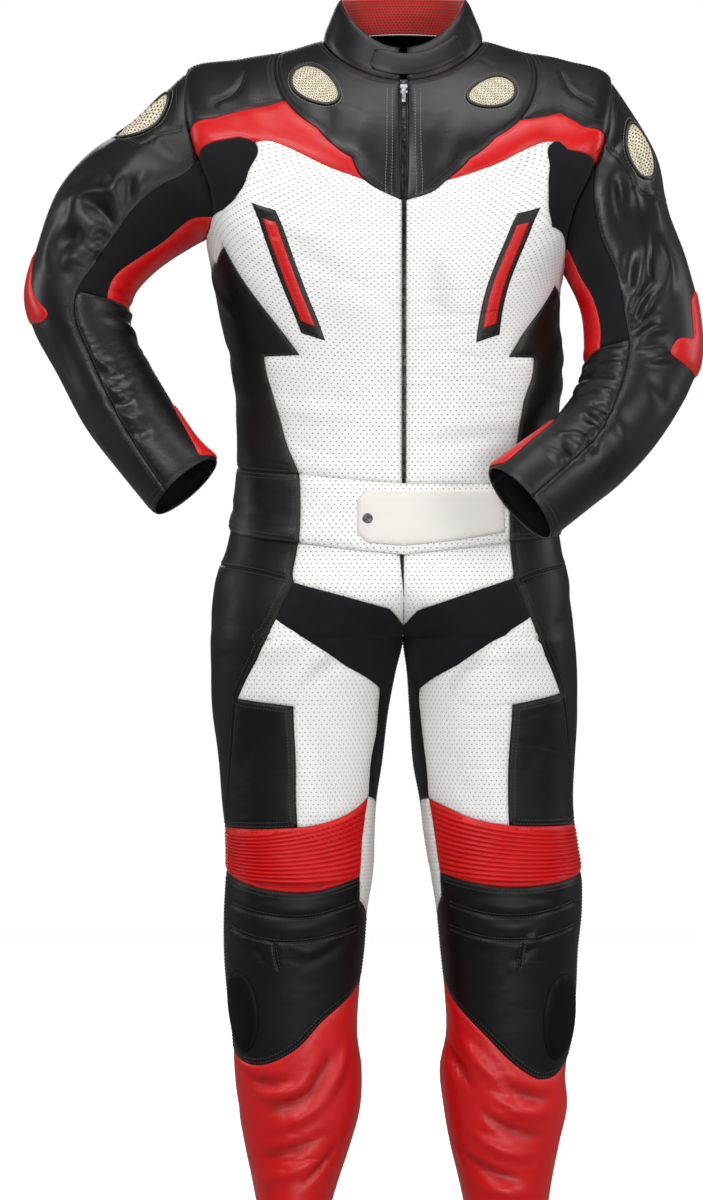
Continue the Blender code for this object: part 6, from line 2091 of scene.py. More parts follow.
@dataclass
class JacketBody(Garment):
    """Yokes, chevrons, chest, sides, back, waistband, and what is sewn on them."""

    vents: dict[Side, tuple[float, ...]] = field(default_factory=lambda: {
        Side.RIGHT: (-0.110, -0.040, 0.0325, 0.0205, -35, 0.20),
        Side.LEFT: (0.110, -0.049, 0.0300, 0.0185, 15, -0.20)})
    bars: dict[Side, Places] = field(default_factory=lambda: {
        Side.RIGHT: ((-0.190, -0.190), (-0.160, -0.200), (-0.098, -0.362), (-0.128, -0.352)),
        Side.LEFT: ((0.170, -0.196), (0.141, -0.204), (0.090, -0.364), (0.119, -0.354))})
    strap: Places = ((-0.058, -0.562), (-0.048, -0.549), (0.126, -0.550), (0.126, -0.601),
                     (0.060, -0.612), (0.000, -0.618), (-0.046, -0.614), (-0.058, -0.602))
    skin: Torso = field(default_factory=lambda: Torso(TORSO_CREASES))

    def mark(self) -> Pattern:
        """Names every corner of the torso and the seams that curve."""
        pattern = Pattern(self.skin)
        for name, u in neck_turns().items():
            pattern.mark(name, u, 0.0)
        for side in Side:
            for turn in ARMHOLE_TURNS:
                pattern.mark(hole(side, turn), *self.skin.armhole(side, turn))
            pattern.mark("shoulder_seam_" + side.value, side.sign * 0.5, SHOULDER_SEAM_RUN)
            for name, *places in TORSO_CORNERS:
                x, z = places[:2] if side is Side.RIGHT else places[2:]
                spot = self.skin.locate(x, z, FRONTS[side], (0.0, 0.76))
                pattern.mark(f"{name}_{side.value}", *spot)
            for name, u, *heights in TORSO_TURNS:
                z = heights[0] if side is Side.RIGHT else heights[1]
                u *= side.sign
                pattern.mark(f"{name}_{side.value}", u, height_at(self.skin, u, z))
            for seam in (("chevron_rise", "chevron_tip", "yoke_bend", "yoke_point"),
                         ("stretch_peak", "stretch_top", "stretch_in", "stretch_low",
                          "stretch_foot"),
                         ("stretch_top", "chevron_bend", "chevron_low", "chevron_tip"),
                         ("side_step", "side_fall", "side_slope", "side_low", "waist_in")):
                pattern.curve(*[f"{name}_{side.value}" for name in seam])
        pattern.mark("waist_middle", 1.0, height_at(self.skin, 1.0, WAIST_MIDDLE))
        pattern.mark("hem_back", 1.0, height_at(self.skin, 1.0, HEM_BACK))
        pattern.mark("hem_front", 0.0, height_at(self.skin, 0.0, HEM_FRONT))
        return pattern

    def build(self) -> None:
        """Builds every panel of the jacket's body."""
        pattern = self.mark()
        double = (STITCH_ROW, SECOND_ROW)
        for side in Side:
            self.build_front(pattern, side, double)
        back_neck = ["neck%02d" % k for k in range(6, 19)]
        right, left = Side.RIGHT, Side.LEFT
        self.cut(pattern, "back", Slot.BLACK,
                 holes(right, 0.60, 0.95) + [hole(right, 0.0), "shoulder_seam_R"] + back_neck
                 + ["shoulder_seam_L", hole(left, 0.0)] + holes(left, 0.95, 0.60)
                 + ["waist_back_L", "waist_middle", "waist_back_R"], rows=double,
                 seams=[seam_line(*(self.skin.flat(u, v) for u, v in line))
                        for line in BACK_SEAMS])
        self.cut(pattern, "band_front", Slot.WHITE,
                 ["waist_in_R", "waist_zip_R", "waist_zip_L", "waist_in_L", "hem_in_L",
                  "hem_front", "hem_in_R"])
        self.cut(pattern, "band_back", Slot.BLACK,
                 ["waist_in_L", "waist_side_L", "waist_back_L", "waist_middle",
                  "waist_back_R", "waist_side_R", "waist_in_R", "hem_in_R", "hem_side_R",
                  "hem_back", "hem_side_L", "hem_in_L"], rows=double)
        self.cut(pattern, "zip_tape", Slot.TAPE,
                 ["neck_zip_R", "neck_zip_L", "yoke_point_L", "waist_zip_L", "waist_zip_R",
                  "yoke_point_R"], rows=(), puff=-0.0004, dip=0.0012, net=0.004)
        self.build_strap()
        self.build_zip()
        self.sew_up("jacket")

    def build_front(self, pattern: Pattern, side: Side, double: tuple[float, ...]) -> None:
        """Builds one side of the front.

        Args:
            pattern: The torso's corners.
            side: The side.
            double: Rows of a double seam.
        """
        mine = side.value

        def own(*names: str) -> list[str]:
            """The names with this side's letter."""
            return [f"{name}_{mine}" for name in names]

        foot = SLEEVE_SEAMS[mine]["stripe"][0]
        numbers = range(1, 7) if side is Side.RIGHT else range(23, 17, -1)
        neck = own("neck_zip") + ["neck%02d" % k for k in numbers]
        top = own("chevron_fall", "chevron_shoulder", "chevron_peak", "chevron_slope",
                  "chevron_rise", "chevron_tip")
        self.cut(pattern, "yoke_" + mine, Slot.BLACK,
                 neck + own("shoulder_seam") + top[2:] + own("yoke_bend", "yoke_point"),
                 rows=double)
        for line in YOKE_SEAMS:
            self.topstitch(self.skin, self.lines(side, line)[0])
        self.cut(pattern, "shoulder_" + mine, Slot.BLACK,
                 own("shoulder_seam") + holes(side, 0.0, 0.14) + top[:3], rows=double,
                 seams=self.lines(side, ARMOUR_SEAM))
        self.cut(pattern, "chevron_" + mine, Slot.RED,
                 holes(side, 0.14, 0.18)
                 + own("stretch_peak", "stretch_top", "chevron_bend", "chevron_low")
                 + top[::-1])
        self.cut(pattern, "chest_stretch_" + mine, Slot.STRETCH,
                 holes(side, 0.18, foot) + own("stretch_foot", "stretch_low", "stretch_in",
                                               "stretch_top", "stretch_peak"), rows=())
        edge = own("side_notch", "side_tip", "side_bend", "side_step", "side_fall", "side_slope",
                   "side_low", "waist_in")
        self.cut(pattern, "chest_" + mine, Slot.WHITE,
                 holes(side, foot, 0.50) + own("side_seam") + edge
                 + own("waist_zip", "yoke_point", "yoke_bend", "chevron_tip", "chevron_low",
                       "chevron_bend", "stretch_top", "stretch_in", "stretch_low",
                       "stretch_foot"))
        self.cut(pattern, "side_" + mine, Slot.BLACK,
                 holes(side, 0.50, 0.60) + own("waist_back", "waist_side") + edge[::-1]
                 + own("side_seam"))
        Vent(lambda grow: view_oval(self.skin, self.vents[side], FRONTS[side], (0.0, 0.2), grow)
             ).build(self, self.skin, "chest_vent_" + mine)
        self.build_bar(side)

    def lines(self, side: Side, line: Places) -> list[Array]:
        """A topstitched line of the front view, on one side of the body.

        Args:
            side: The side.
            line: Its places as they are on the left.

        Returns:
            The line on the cutting table, in a list of its own.
        """
        spots = [(side.sign * x, z) for x, z in line]
        return [view_seam(self.skin, spots, FRONTS[side], (0.0, 0.30))]

    def build_bar(self, side: Side) -> None:
        """A plain slanted bar with a red stripe in it, sewn on the chest."""
        corners = [np.array(self.skin.flat(*self.skin.locate(x, z, FRONTS[side], (0.0, 0.76))))
                   for x, z in self.bars[side]]
        rims = []
        for width, length in ((1.0, 1.0), (0.54, 0.80)):
            top = corners[0] + corners[1]
            foot = corners[2] + corners[3]
            middle = (top + foot) / 4
            spots = []
            for start, end in zip(corners, corners[1:] + corners[:1]):
                count = max(2, round(float(np.linalg.norm(end - start)) / 0.004))
                spots += [start + (end - start) * i / count for i in range(count)]
            long = (foot - top) / np.linalg.norm(foot - top)
            away = np.array(spots) - middle
            along = away @ long
            across = away - along[:, None] * long
            rims.append(middle + along[:, None] * long * length + across * width)
        low = SEAM_GAP + OVERLAY
        self.lay(self.skin, "bar_" + side.value, Slot.BLACK, rims[0], thick=OVERLAY,
                 lift=low + PUFF, dip=PUFF + 0.0002, puff=0.0004, net=0.005)
        self.lay(self.skin, "bar_stripe_" + side.value, Slot.RED, rims[1], thick=0.0010,
                 lift=low + PUFF + 0.0011, dip=0.0008, puff=0.0003, net=0.004,
                 rows=(0.0024,), node=False)

    def build_strap(self) -> None:
        """The belt's smooth white strap."""
        corners = [np.array(self.skin.flat(*self.skin.locate(x, z, (-0.5, 0.5), (0.6, 0.76))))
                   for x, z in self.strap]
        rim = []
        for start, end in zip(corners, corners[1:] + corners[:1]):
            count = max(2, round(float(np.linalg.norm(end - start)) / 0.005))
            rim += [start + (end - start) * i / count for i in range(count)]
        self.lay(self.skin, "belt_strap", Slot.WHITE, np.array(rim),
                 self.finishes.plain_white, thick=OVERLAY, lift=SEAM_GAP + OVERLAY + PUFF,
                 dip=PUFF + 0.0002, puff=0.0006)

    def build_zip(self) -> None:
        """The zip's two rows of teeth, from the neck to the waistband."""
        end = height_at(self.skin, 0.0, -0.540)
        runs = np.arange(0.004, end - 0.003, 0.006)
        for sign in (-1, 1):
            flats = np.stack([np.full_like(runs, sign * 0.00105), runs], axis=1)
            out = self.skin.normal(flats[:, 0] / self.skin.round_scale, runs)
            path = np.hstack([self.skin.surface(flats, 0.0002), out])
            name = "zip_teeth_R" if sign < 0 else "zip_teeth_L"
            sew(name, [path], self.rows["tooth"], pitch=0.0026)


# --- collar ---------------------------------------------------------------------------------
@dataclass
class CollarBand(Garment):
    """The standing collar, its red lining and the tab that closes it."""

    torso: Torso | None = None
    tab: Places = ((-0.145, 0.014), (-0.128, 0.007), (0.280, 0.007), (0.280, 0.035),
                   (-0.090, 0.041), (-0.135, 0.036))
    tab_lift: float = 0.0011

    def build(self) -> None:
        """Builds the collar's panels."""
        skin = Collar(self.torso, COLLAR_CREASES)
        pattern = Pattern(skin)
        rim = []
        for name, u in neck_turns().items():
            pattern.mark(name, u, 0.0)
            rim.append(name.replace("neck", "rim"))
            end = math.copysign(RIM_ZIP_TURN, u)
            pattern.mark(rim[-1], end if "zip" in name else u, COLLAR_RUN)
        names = list(neck_turns()) + rim[::-1]
        self.cut(pattern, "collar", Slot.BLACK, names, puff=0.0016, net=0.0055)
        self.cut(pattern, "collar_lining", Slot.LINING, names, thick=LINING,
                 lift=-LEATHER - SEAM_GAP, dip=0.0, puff=0.0, rows=())
        corners = [np.array(skin.flat(*spot)) for spot in self.tab]
        edge = []
        for start, end in zip(corners, corners[1:] + corners[:1]):
            count = max(2, round(float(np.linalg.norm(end - start)) / 0.004))
            edge += [start + (end - start) * i / count for i in range(count)]
        self.lay(skin, "collar_tab", Slot.BLACK, np.array(edge), net=0.005,
                 lift=self.tab_lift + LEATHER, dip=0.0008, puff=0.0006)
        self.sew_up("collar")


# --- sleeves --------------------------------------------------------------------------------
SLEEVE_SEAM = {         # across the upper sleeve below the vent, in the front view
    Side.RIGHT: ((-0.262, -0.090), (-0.302, -0.100), (-0.335, -0.113), (-0.362, -0.126)),
    Side.LEFT: ((0.250, -0.112), (0.280, -0.148), (0.304, -0.176), (0.322, -0.206)),
}
SLEEVE_VENTS = {       # place, half round, half down
    Side.RIGHT: ((0.05, 0.042), 0.024, 0.026),
    Side.LEFT: ((0.075, 0.052), 0.022, 0.026),
}
ELBOW_PATCH = {
    "R": ((0.00, 0.203), (0.055, 0.225), (0.085, 0.250), (0.115, 0.270), (0.140, 0.288),
          (0.115, 0.298), (0.05, 0.296), (-0.04, 0.285), (-0.10, 0.260), (-0.10, 0.230),
          (-0.05, 0.210)),
    "L": ((0.02, 0.180), (0.070, 0.195), (0.085, 0.220), (0.090, 0.238), (0.150, 0.246),
          (0.165, 0.268), (0.05, 0.274), (-0.05, 0.262), (-0.10, 0.235), (-0.09, 0.200),
          (-0.03, 0.182)),
}
CUFF_PATCH = {
    "R": ((0.455, 0.405), (0.50, 0.418), (0.545, 0.445), (0.560, 0.492), (0.385, 0.492),
          (0.400, 0.470), (0.430, 0.440)),
    "L": ((0.455, 0.400), (0.50, 0.410), (0.545, 0.440), (0.555, 0.492), (0.420, 0.492),
          (0.430, 0.450)),
}


@dataclass
class SleeveParts(Garment):
    """A sleeve: outer leather, stretch panel, red stripe, ruched inner forearm and patches."""

    side: Side = Side.RIGHT
    torso: Torso | None = None
    waves: int = 15
    wave_height: float = 0.0022

    def build(self) -> None:
        """Builds the sleeve's panels."""
        skin = folded(Sleeve(self.side, self.torso, SLEEVE_CREASES[self.side]),
                      SLEEVE_FOLDS[self.side], SLEEVE_FRONT)
        pattern = Pattern(skin)
        mine = self.side.value
        seams = SLEEVE_SEAMS[mine]
        for turn in ARMHOLE_TURNS:
            pattern.mark(hole(self.side, turn), turn, 0.0)
        names: dict[str, list[str]] = {}
        for kind, first, last in (("front", 1, CUFF_RING), ("stripe", 1, ELBOW_RING),
                                  ("rear", 1, ELBOW_RING), ("under", ELBOW_RING, CUFF_RING)):
            for ring in range(first, last + 1):
                turn = {"rear": STRIPE_BACK, "under": FOREARM_BACK}.get(kind)
                turn = seams[kind][ring] if turn is None else turn
                pattern.mark(f"{kind}{ring:02d}", turn, RING_STEP * ring)
                names.setdefault(kind, []).append(f"{kind}{ring:02d}")
        pattern.mark("cuff_back", 0.9, RING_STEP * CUFF_RING)
        pattern.curve(hole(self.side, 0.18), *names["front"])
        pattern.curve(hole(self.side, seams["stripe"][0]), *names["stripe"])
        self.cut_panels(pattern, names)
        for kind, patches in (("elbow", ELBOW_PATCH), ("cuff", CUFF_PATCH)):
            corners = [skin.flat(u, v) for u, v in patches[mine]]
            loop = seam_line(*corners, corners[0])[:-1]
            self.lay(skin, f"{kind}_patch_{mine}", Slot.RED, loop, thick=OVERLAY,
                     lift=SEAM_GAP + OVERLAY + PUFF, dip=PUFF + 0.0002, puff=0.0006, net=0.005)
        place, half_round, half_down = SLEEVE_VENTS[self.side]
        Vent(lambda grow: oval(skin, place, half_round + grow, half_down + grow)
             ).build(self, skin, "sleeve_vent_" + mine)
        self.sew_up("sleeve_" + mine)

    def cut_panels(self, pattern: Pattern, names: dict[str, list[str]]) -> None:
        """Cuts the sleeve's four panels.

        Args:
            pattern: The sleeve's corners.
            names: The corners down each of its seams.
        """
        side, mine = self.side, self.side.value
        elbow, foot = ELBOW_RING - 1, SLEEVE_SEAMS[mine]["stripe"][0]
        front, stripe, rear, under = (names[key] for key in ("front", "stripe", "rear", "under"))
        around = holes(side, 0.18, 0.0)
        around += holes(side, 0.95, 0.55)
        self.cut(pattern, "sleeve_" + mine, Slot.BLACK,
                 around + rear + under + ["cuff_back"] + front[::-1],
                 rows=(STITCH_ROW, SECOND_ROW), net=0.0052,
                 seams=[view_seam(pattern.skin, SLEEVE_SEAM[side], (-0.12, 0.25), (0.0, 0.22))])
        self.cut(pattern, "sleeve_stretch_" + mine, Slot.STRETCH,
                 holes(side, 0.18, foot) + stripe + front[elbow::-1], rows=(), puff=0.0014,
                 hold=Hold.STRETCHED)
        self.cut(pattern, "sleeve_stripe_" + mine, Slot.RED,
                 holes(side, foot, 0.55) + rear + stripe[::-1])
        self.cut(pattern, "forearm_" + mine, Slot.BLACK,
                 [front[elbow], stripe[-1], rear[-1]] + under + front[:elbow:-1],
                 relief=self.ruched, net=0.0042, hold=Hold.GATHERED)

    def ruched(self, flats: Array, gap: Array) -> Array:
        """Uneven gathers across the inner forearm, strongest beside its seams.

        Args:
            flats: Places on the cutting table.
            gap: Distance of each from the panel's edge.

        Returns:
            The height at each place.
        """
        across, down = flats[:, 0], flats[:, 1]
        sway = 0.006 * np.sin(38 * across + 1.3) + 0.0035 * np.sin(95 * across + 21 * down)
        pace = (down + sway) + 0.0045 * np.sin(27 * down + 0.7)
        wave = np.sin(2 * np.pi * pace * self.waves / (RING_STEP * ELBOW_RING))
        strong = 0.55 + 0.45 * np.sin(31 * down + 14 * across + 0.5)
        near = 0.45 + 0.55 * np.exp(-(gap / 0.024) ** 2)
        return self.wave_height * (1 - np.abs(wave) ** 0.7 * 1.4) * strong * near


# --- trousers -------------------------------------------------------------------------------
LEG_CREASES = {
    Side.RIGHT: tuple(Crease(*row) for row in (
        (0.720, 1.340, 0.080, 0.0160, 0.0045, -30), (0.600, 1.400, 0.060, 0.0120, -0.0030, 22),
        (0.860, 1.400, 0.060, 0.0120, -0.0026, -40), (0.520, 1.310, 0.055, 0.0120, -0.0022, -50),
        (0.240, 0.905, 0.090, 0.0140, 0.0016, -78), (0.340, 0.860, 0.070, 0.0120, -0.0016, 64),
        (0.200, 0.760, 0.060, 0.0110, -0.0018, 40, 0.2), (0.300, 0.745, 0.055, 0.0120, 0.0018, 12),
        (0.090, 0.715, 0.050, 0.0090, -0.0026, -52, 0.3),
        (0.050, 0.780, 0.050, 0.0080, 0.0022, -64), (0.070, 0.830, 0.045, 0.0080, -0.0020, -80),
        (0.140, 0.690, 0.050, 0.0100, 0.0020, -30), (0.420, 0.700, 0.070, 0.0140, -0.0024, 26),
        (0.460, 0.790, 0.080, 0.0140, 0.0020, 74), (0.700, 0.735, 0.090, 0.0130, -0.0050, 22, 0.2),
        (0.800, 0.790, 0.080, 0.0130, -0.0042, 30), (0.660, 0.680, 0.080, 0.0150, 0.0034, 8),
        (0.740, 0.860, 0.080, 0.0130, 0.0026, -24), (0.680, 0.985, 0.070, 0.0110, -0.0044, 8),
        (0.760, 1.010, 0.080, 0.0100, 0.0036, -4), (0.720, 1.040, 0.080, 0.0110, -0.0046, 3),
        (0.660, 1.072, 0.070, 0.0110, 0.0030, -14), (0.820, 1.075, 0.060, 0.0110, -0.0032, 18),
        (0.700, 1.160, 0.080, 0.0160, 0.0024, 80), (0.800, 1.230, 0.070, 0.0140, -0.0024, 62),
    )),
    Side.LEFT: tuple(Crease(*row) for row in (
        (0.740, 1.345, 0.080, 0.0160, 0.0045, 28), (0.610, 1.405, 0.060, 0.0120, -0.0030, -20),
        (0.870, 1.395, 0.060, 0.0120, -0.0026, 38), (0.530, 1.315, 0.055, 0.0120, -0.0022, 48),
        (0.230, 0.900, 0.086, 0.0140, 0.0016, 76), (0.340, 0.866, 0.070, 0.0120, -0.0016, -62),
        (0.210, 0.764, 0.058, 0.0110, -0.0018, -42, 0.2),
        (0.300, 0.748, 0.055, 0.0120, 0.0018, -10),
        (0.090, 0.718, 0.050, 0.0090, -0.0026, 50, 0.3), (0.050, 0.785, 0.050, 0.0080, 0.0022, 62),
        (0.070, 0.836, 0.045, 0.0080, -0.0020, 78), (0.140, 0.694, 0.050, 0.0100, 0.0020, 28),
        (0.420, 0.704, 0.070, 0.0140, -0.0024, -28), (0.460, 0.795, 0.078, 0.0140, 0.0020, -72),
        (0.710, 0.740, 0.088, 0.0130, -0.0050, -24, 0.2),
        (0.800, 0.796, 0.078, 0.0130, -0.0042, -32), (0.660, 0.684, 0.080, 0.0150, 0.0034, -6),
        (0.750, 0.864, 0.078, 0.0130, 0.0026, 26), (0.680, 0.988, 0.070, 0.0110, -0.0044, -6),
        (0.760, 1.014, 0.078, 0.0100, 0.0036, 5), (0.710, 1.044, 0.080, 0.0110, -0.0046, -4),
        (0.660, 1.076, 0.070, 0.0110, 0.0030, 13), (0.820, 1.080, 0.060, 0.0110, -0.0032, -17),
        (0.700, 1.165, 0.080, 0.0160, 0.0024, -78), (0.800, 1.236, 0.070, 0.0140, -0.0024, -60),
    )),
}


@dataclass(frozen=True)
class Accordion:
    """The ribs over a knee, bowed down in the middle."""

    ribs: int = 13
    height: float = 0.0038
    bow: float = 0.010
    columns: int = 40
    rows_each: int = 6

    def place(self, pattern: Pattern, across: Array, down: Array) -> Array:
        """Flat places on the accordion.

        Args:
            pattern: The leg's corners.
            across: 0 at its inner edge, 1 at its outer.
            down: 0 at its top, 1 at its foot.

        Returns:
            The places.
        """
        marks = {name: np.array(pattern.corners[name]) for name in
                 ("knee_in", "knee_side", "rib_foot", "knee_foot", "knee_top")}
        across, down = np.asarray(across)[:, None], np.asarray(down)[:, None]
        inner = marks["knee_in"] + (marks["rib_foot"] - marks["knee_in"]) * down
        outer = marks["knee_side"] + (marks["knee_foot"] - marks["knee_side"]) * down
        spot = inner + (outer - inner) * across
        drop = marks["knee_top"][1] - (marks["knee_in"][1] + marks["knee_side"][1]) / 2
        spot[:, 1:] += 4 * across * (1 - across) * (self.bow + (1 - down) * drop)
        return spot * np.array([pattern.skin.round_scale, 1.0])

    def spots(self, pattern: Pattern) -> Array:
        """The net's places: even along each rib, and several rows over it."""
        across = (np.arange(self.columns) + 0.5) / self.columns
        down = np.arange(self.ribs * self.rows_each + 1) / (self.ribs * self.rows_each)
        grid_a, grid_d = np.meshgrid(across, down)
        return self.place(pattern, grid_a.ravel(), grid_d.ravel())

    def relief(self, pattern: Pattern) -> Relief:
        """The ribs' height over the panel.

        Args:
            pattern: The leg's corners.

        Returns:
            A relief for the panel.
        """
        def ribbed(flats: Array, gap: Array) -> Array:
            """Height of the ribs at flat places."""
            across, down = np.full(len(flats), 0.5), np.full(len(flats), 0.5)
            small = 1e-4
            for _ in range(12):
                here = self.place(pattern, across, down)
                one = (self.place(pattern, across + small, down) - here) / small
                two = (self.place(pattern, across, down + small) - here) / small
                miss = flats - here
                area = one[:, 0] * two[:, 1] - one[:, 1] * two[:, 0]
                across = across + (miss[:, 0] * two[:, 1] - miss[:, 1] * two[:, 0]) / area
                down = down + (one[:, 0] * miss[:, 1] - one[:, 1] * miss[:, 0]) / area
                across, down = np.clip(across, -0.2, 1.2), np.clip(down, -0.2, 1.2)
            wobble = 0.10 * np.sin(7 * across + 3 * down)
            wave = np.abs(np.sin(np.pi * (self.ribs * down + wobble * 0.4)))
            return self.height * (wave ** 0.8 - 0.6) * (1 + wobble)
        return ribbed


# Seams inside a panel: (x, z) in the front view, or (u, z, 0) on the hidden side.
HIP_BACK = ((0.50, -0.640, 0), (0.62, -0.655, 0), (0.76, -0.690, 0), (0.90, -0.715, 0),
            (0.98, -0.722, 0))
THIGH_SEAMS = {
    Side.RIGHT: (((-0.232, -0.640), (-0.210, -0.645), (-0.175, -0.652), (-0.142, -0.661)),
                 ((-0.211, -0.812), (-0.214, -0.850), (-0.219, -0.910), (-0.222, -0.966)),
                 HIP_BACK),
    Side.LEFT: (((0.143, -0.660), (0.165, -0.652), (0.190, -0.645), (0.204, -0.641)),
                ((0.201, -0.812), (0.205, -0.850), (0.210, -0.910), (0.212, -0.964)),
                HIP_BACK),
}
KNEE_SEAMS = {
    Side.RIGHT: (((-0.215, -1.070), (-0.170, -1.082), (-0.120, -1.084), (-0.062, -1.068)),
                 ((-0.215, -1.100), (-0.170, -1.114), (-0.120, -1.114), (-0.062, -1.100)),
                 ((-0.163, -1.117), (-0.161, -1.132), (-0.158, -1.148))),
    Side.LEFT: (((0.060, -1.068), (0.110, -1.082), (0.160, -1.082), (0.212, -1.068)),
                ((0.060, -1.098), (0.110, -1.112), (0.160, -1.112), (0.212, -1.098)),
                ((0.150, -1.116), (0.148, -1.130), (0.145, -1.146))),
}


@dataclass
class LegParts(Garment):
    """One leg: front, groin, thigh, ribbed knee, knee leather with its pad, and shin."""

    side: Side = Side.RIGHT
    pads: dict[Side, tuple[float, ...]] = field(default_factory=lambda: {
        Side.RIGHT: (0.400, 1.205, 0.036, 0.052), Side.LEFT: (0.395, 1.212, 0.038, 0.055)})
    pad_wall: float = 0.0022
    accordion: Accordion = Accordion()

    def mark(self) -> Pattern:
        """Names every corner of the leg."""
        skin = folded(Leg(self.side, LEG_CREASES[self.side]), LEG_FOLDS[self.side],
                      LEG_FRONT)
        pattern = Pattern(skin)
        right = self.side is Side.RIGHT
        for name, *places in LEG_CORNERS:
            x, z = places[:2] if right else places[2:]
            pattern.mark(name, *skin.locate(x, z, (0.0, 0.5), (-z, -z)))
        for name, u, *heights in LEG_TURNS:
            pattern.mark(name, u, -heights[0 if right else 1])
        for end, u in (("front", 0.0), ("back", 1.0)):
            for kind, heights in (("rise", RISE), ("inseam", INSEAM)):
                for step, z in enumerate(heights):
                    pattern.mark(f"{kind}{step}_{end}", u, -z)
        pattern.curve("thigh_in", "thigh_edge", "thigh_low", "knee_in")
        pattern.curve("knee_in", "knee_rise", "knee_top", "knee_out", "knee_side")
        pattern.curve("rib_foot", "rib_low", "knee_foot")
        pattern.curve("inseam4_front", "shin_rise", "shin_bend", "shin_low", "shin_side")
        return pattern

    def lines(self, skin: Skin, seams: dict[Side, tuple[Places, ...]]) -> list[Array]:
        """The seams inside a panel: places of the front view, or (u, z) on round the leg.

        Args:
            skin: The leg's skin.
            seams: The seams of each side.

        Returns:
            One line on the cutting table for each seam.
        """
        found = []
        for line in seams[self.side]:
            if len(line[0]) == 2:
                found.append(view_seam(skin, line, (0.0, 0.5), (0.60, 1.30)))
            else:
                found.append(seam_line(*(skin.flat(u, -z) for u, z, _ in line)))
        return found

    def build(self) -> None:
        """Builds the leg's panels."""
        pattern = self.mark()
        mine = self.side.value
        thigh_edge = ["groin_slope", "groin_rise", "groin_fall", "thigh_in", "thigh_edge",
                      "thigh_low", "knee_in"]
        knee_edge = ["knee_rise", "knee_top", "knee_out"]
        double = (STITCH_ROW, SECOND_ROW)
        top = ["fly_top"] if self.side is Side.RIGHT else ["top_front"]
        self.cut(pattern, "trouser_front_" + mine, Slot.WHITE,
                 top + ["top_in", "groin_out", "groin_in", "rise2_front", "rise1_front",
                        "rise0_front"])
        if self.side is Side.RIGHT:
            self.cut(pattern, "fly", Slot.TAPE, ["top_front", "fly_top", "rise0_front"],
                     rows=(), net=0.004)
        self.cut(pattern, "groin_" + mine, Slot.STRETCH,
                 ["groin_out", "thigh_out"] + thigh_edge
                 + ["inseam1_front", "inseam0_front", "rise4_front", "rise3_front",
                    "rise2_front", "groin_in"], rows=())
        self.cut(pattern, "thigh_front_" + mine, Slot.WHITE,
                 ["thigh_out"] + thigh_edge + knee_edge
                 + ["thigh_step", "thigh_side", "thigh_rim", "thigh_slope", "thigh_turn",
                    "thigh_fall"])
        self.cut(pattern, "thigh_outer_" + mine, Slot.BLACK,
                 ["top_in", "top_side", "top_back"] + ["rise%d_back" % k for k in range(5)]
                 + ["inseam0_back", "inseam1_back", "inseam2_back", "knee_foot", "knee_side",
                    "knee_out", "thigh_step", "thigh_side", "thigh_rim", "thigh_slope",
                    "thigh_turn", "thigh_fall", "thigh_out", "groin_out"],
                 self.finishes.matt, rows=double, net=0.0066,
                 seams=self.lines(pattern.skin, THIGH_SEAMS))
        self.cut(pattern, "knee_accordion_" + mine, Slot.RED,
                 ["knee_in"] + knee_edge + ["knee_side", "knee_foot", "rib_low", "rib_foot",
                                            "rib_in"],
                 self.finishes.ribbed, spots=self.accordion.spots(pattern),
                 relief=self.accordion.relief(pattern),
                 hold=Hold.GATHERED, net=0.004, take_up=1.4)
        self.cut(pattern, "knee_strip_" + mine, Slot.WHITE,
                 ["knee_in", "rib_in", "rib_foot", "strip_foot", "inseam3_front",
                  "inseam2_front", "inseam1_front"])
        self.cut(pattern, "knee_" + mine, Slot.BLACK,
                 ["rib_foot", "rib_low", "knee_foot", "shin_side", "shin_low", "shin_bend",
                  "shin_rise", "inseam4_front", "inseam3_front", "strip_foot"],
                 self.finishes.matt, rows=double, net=0.0056,
                 seams=self.lines(pattern.skin, KNEE_SEAMS))
        self.cut(pattern, "shin_" + mine, Slot.RED,
                 ["inseam4_front", "shin_rise", "shin_bend", "shin_low", "shin_side",
                  "knee_foot", "inseam2_back", "inseam3_back", "inseam4_back",
                  "inseam5_back", "ankle_side", "inseam5_front"], net=0.0074)
        u, v, half_round, half_down = self.pads[self.side]
        loop = oval(pattern.skin, (u, v), half_round, half_down)
        self.lay(pattern.skin, "knee_pad_" + mine, Slot.STRETCH, loop, self.finishes.pad,
                 thick=0.003, lift=SEAM_GAP + PUFF + 0.0022, dip=0.0018,
                 puff=self.pad_wall, net=0.005, rows=())
        self.sew_up("leg_" + mine)


# --- fittings -------------------------------------------------------------------------------
@dataclass(frozen=True)
class Fittings:
    """The zip's slider and pull tab and the belt's snap, which keep their solids."""

    finishes: Finishes
    bevel: float = 0.00035
    steps: int = 3

    def build(self) -> None:
        """Gives each fitting its metal and rounds its edges."""
        for name in ("zip_slider", "zip_pull", "belt_snap"):
            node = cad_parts[name]
            node.data.materials.clear()
            node.data.materials.append(self.finishes.metal)
            soft = node.modifiers.new("Edges", "BEVEL")
            soft.width = self.bevel
            soft.segments = self.steps
            soft.limit_method = "ANGLE"
            soft.harden_normals = False
            LOG.info("%s: dark metal with edges rounded by %.2f mm", name, self.bevel * 1000)


